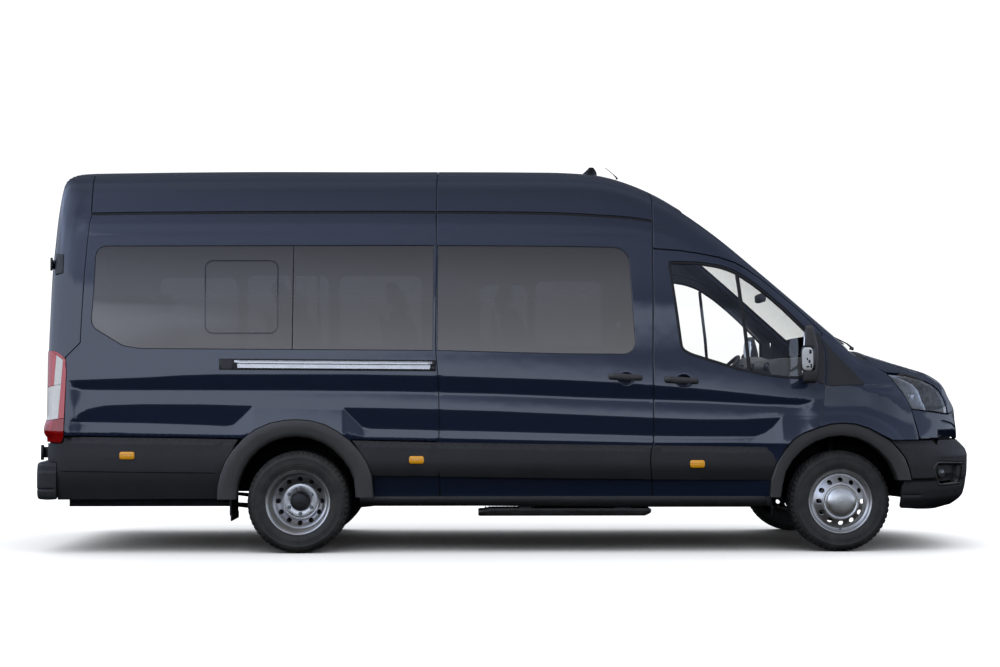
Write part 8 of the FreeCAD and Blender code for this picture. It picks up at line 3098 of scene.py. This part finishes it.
# =====================================================================================
# 20. floor, light and camera
# =====================================================================================
def world_light():
    """A white room: a long low light in front, bright light from the tail, dark behind and above, white for the camera."""
    w = bpy.data.worlds.new("studio")
    scene.world = w
    w.use_nodes = True
    t = w.node_tree
    t.nodes.clear()

    def node(kind, ins=(), out=0, **props):
        n = t.nodes.new(kind)
        for k, v in props.items():
            setattr(n, k, v)
        for i, v in enumerate(ins):
            if isinstance(v, bpy.types.NodeSocket):
                t.links.new(v, n.inputs[i])
            elif v is not None:
                n.inputs[i].default_value = v
        return n.outputs[out]

    def math_(op, a, b=0.0):
        return node("ShaderNodeMath", (a, b), operation=op)

    def table(v, pts, top):
        """A curve through (value, result) pairs."""
        lo, hi = pts[0][0], pts[-1][0]
        u = math_("DIVIDE", math_("SUBTRACT", v, lo), hi - lo)
        n = t.nodes.new("ShaderNodeValToRGB")
        t.links.new(u, n.inputs[0])
        cr = n.color_ramp
        cr.elements[0].position, cr.elements[1].position = 0.0, 1.0
        for e, q in ((cr.elements[0], pts[0][1]), (cr.elements[1], pts[-1][1])):
            e.color = (q / top, q / top, q / top, 1)
        for x, q in pts[1:-1]:
            e = cr.elements.new((x - lo) / (hi - lo))
            e.color = (q / top, q / top, q / top, 1)
        return math_("MULTIPLY", n.outputs[0], top)

    def step(v, a, b, lo=0.0, hi=1.0):
        n = t.nodes.new("ShaderNodeMapRange")
        n.interpolation_type = "SMOOTHSTEP"
        for i, q in enumerate((v, a, b, lo, hi)):
            if isinstance(q, bpy.types.NodeSocket):
                t.links.new(q, n.inputs[i])
            else:
                n.inputs[i].default_value = q
        return n.outputs[0]

    tc = t.nodes.new("ShaderNodeTexCoord")
    sep = t.nodes.new("ShaderNodeSeparateXYZ")
    t.links.new(tc.outputs["Generated"], sep.inputs[0])
    x, y, z = sep.outputs
    A = math_("MULTIPLY", math_("ARCTAN2", x, math_("MULTIPLY", y, -1.0)), 57.2958)
    E = math_("MULTIPLY", math_("ARCSINE", z), 57.2958)
    thr = table(A, [(-180, 13.0), (-60, 16.3), (-22, 16.3), (-11, 14.5), (0, 13.05), (3, 12.7), (8, 12.05), (40, 7.9), (90, 10.0), (180, 13.0)], 17.0)
    above = step(math_("SUBTRACT", E, thr), -0.6, 0.75)
    low = table(A, [(-180, 0.17), (-150, 0.30), (-120, 0.85), (-60, 1.70), (0, 1.70), (8, 1.70), (12, 0.95), (15, 0.62), (20, 0.70), (33, 1.35), (58, 1.5),
                    (110, 0.7), (150, 0.2), (180, 0.17)], 2.0)
    high = table(E, [(0, 0.32), (14, 0.33), (16.5, 0.50), (18.4, 0.51), (21.0, 0.36), (24, 0.31), (28, 0.32), (41, 0.24), (56, 0.12),
                     (90, 0.08)], 1.0)
    round_ = table(A, [(-180, 0.06), (-158, 0.08), (-135, 0.7), (-108, 3.6), (-60, 4.2), (-40, 3.1), (-25, 2.75), (-19, 2.3), (-13, 1.45),
                       (-10, 1.28), (-6, 1.15), (0, 1.0), (3, 0.92), (8, 0.67), (16, 0.66), (30, 1.1), (45, 1.2), (90, 1.2),
                       (135, 0.20), (160, 0.06), (180, 0.06)], 5.0)
    pole = step(E, 62.0, 84.0)
    round_ = math_("ADD", math_("MULTIPLY", round_, math_("SUBTRACT", 1.0, pole)), pole)
    high = math_("MULTIPLY", high, round_)
    lv = math_("ADD", math_("MULTIPLY", low, math_("SUBTRACT", 1.0, above)), math_("MULTIPLY", high, above))
    lv = math_("MULTIPLY", lv, step(E, -0.1, 1.3))
    tint = t.nodes.new("ShaderNodeMix")
    tint.data_type = "RGBA"
    t.links.new(above, tint.inputs[0])
    tint.inputs[6].default_value = (1.0, 1.13, 1.40, 1)
    tint.inputs[7].default_value = (1.0, 1.20, 1.72, 1)
    glossy = t.nodes.new("ShaderNodeBackground")
    t.links.new(tint.outputs[2], glossy.inputs["Color"])
    t.links.new(lv, glossy.inputs["Strength"])
    diff = t.nodes.new("ShaderNodeBackground")
    diff.inputs["Color"].default_value = (0.985, 1.0, 1.03, 1)
    t.links.new(table(E, [(-90, 0.02), (-1, 0.03), (1, 0.16), (15, 0.62), (30, 1.08), (60, 1.85), (90, 2.15)], 2.2), diff.inputs["Strength"])
    lp = t.nodes.new("ShaderNodeLightPath")
    cam = t.nodes.new("ShaderNodeBackground")
    cam.inputs["Color"].default_value = (1, 1, 1, 1)
    cam.inputs["Strength"].default_value = 1.14
    m1 = t.nodes.new("ShaderNodeMixShader")
    t.links.new(lp.outputs["Is Glossy Ray"], m1.inputs[0])
    t.links.new(diff.outputs[0], m1.inputs[1])
    t.links.new(glossy.outputs[0], m1.inputs[2])
    m2 = t.nodes.new("ShaderNodeMixShader")
    t.links.new(lp.outputs["Is Camera Ray"], m2.inputs[0])
    t.links.new(m1.outputs[0], m2.inputs[1])
    t.links.new(cam.outputs[0], m2.inputs[2])
    out = t.nodes.new("ShaderNodeOutputWorld")
    t.links.new(m2.outputs[0], out.inputs["Surface"])


world_light()


def stage_floor():
    m = Mat("studio_floor")
    c = m.mix(m.ramp(m.noise(0.4, 2), 0.3, 0.7), (0.985, 0.985, 0.985), (1.0, 1.0, 1.0))
    mat = m.done(m.principled(Base_Color=c, Roughness=0.9, Specular_IOR_Level=0.0))
    s = 60.0
    ob = new_object("stage_floor", [(-s, -s, 0), (s, -s, 0), (s, s, 0), (-s, s, 0)], [(0, 1, 2, 3)], None, [mat])
    ob.visible_glossy = False
    ob.visible_diffuse = False
    ob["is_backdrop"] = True


stage_floor()

cam_data = bpy.data.cameras.new("camera")
cam_data.sensor_width = 36.0
cam_data.lens = 1629.15 * 36.0 / 1000.0
cam_data.clip_end = 200.0
cam = bpy.data.objects.new("camera", cam_data)
scene.collection.objects.link(cam)
yaw, pitch = 0.0185, 0.0366
cam.location = (-0.311, -12.250, 1.099)
cam.rotation_euler = (math.pi / 2 + pitch, 0.0, -yaw)
scene.camera = cam
scene.view_settings.view_transform = "Standard"

{"cad": [[float(q) for q in row] for row in CAD_BOX], "visual": [[float(q) for q in row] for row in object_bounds()]}
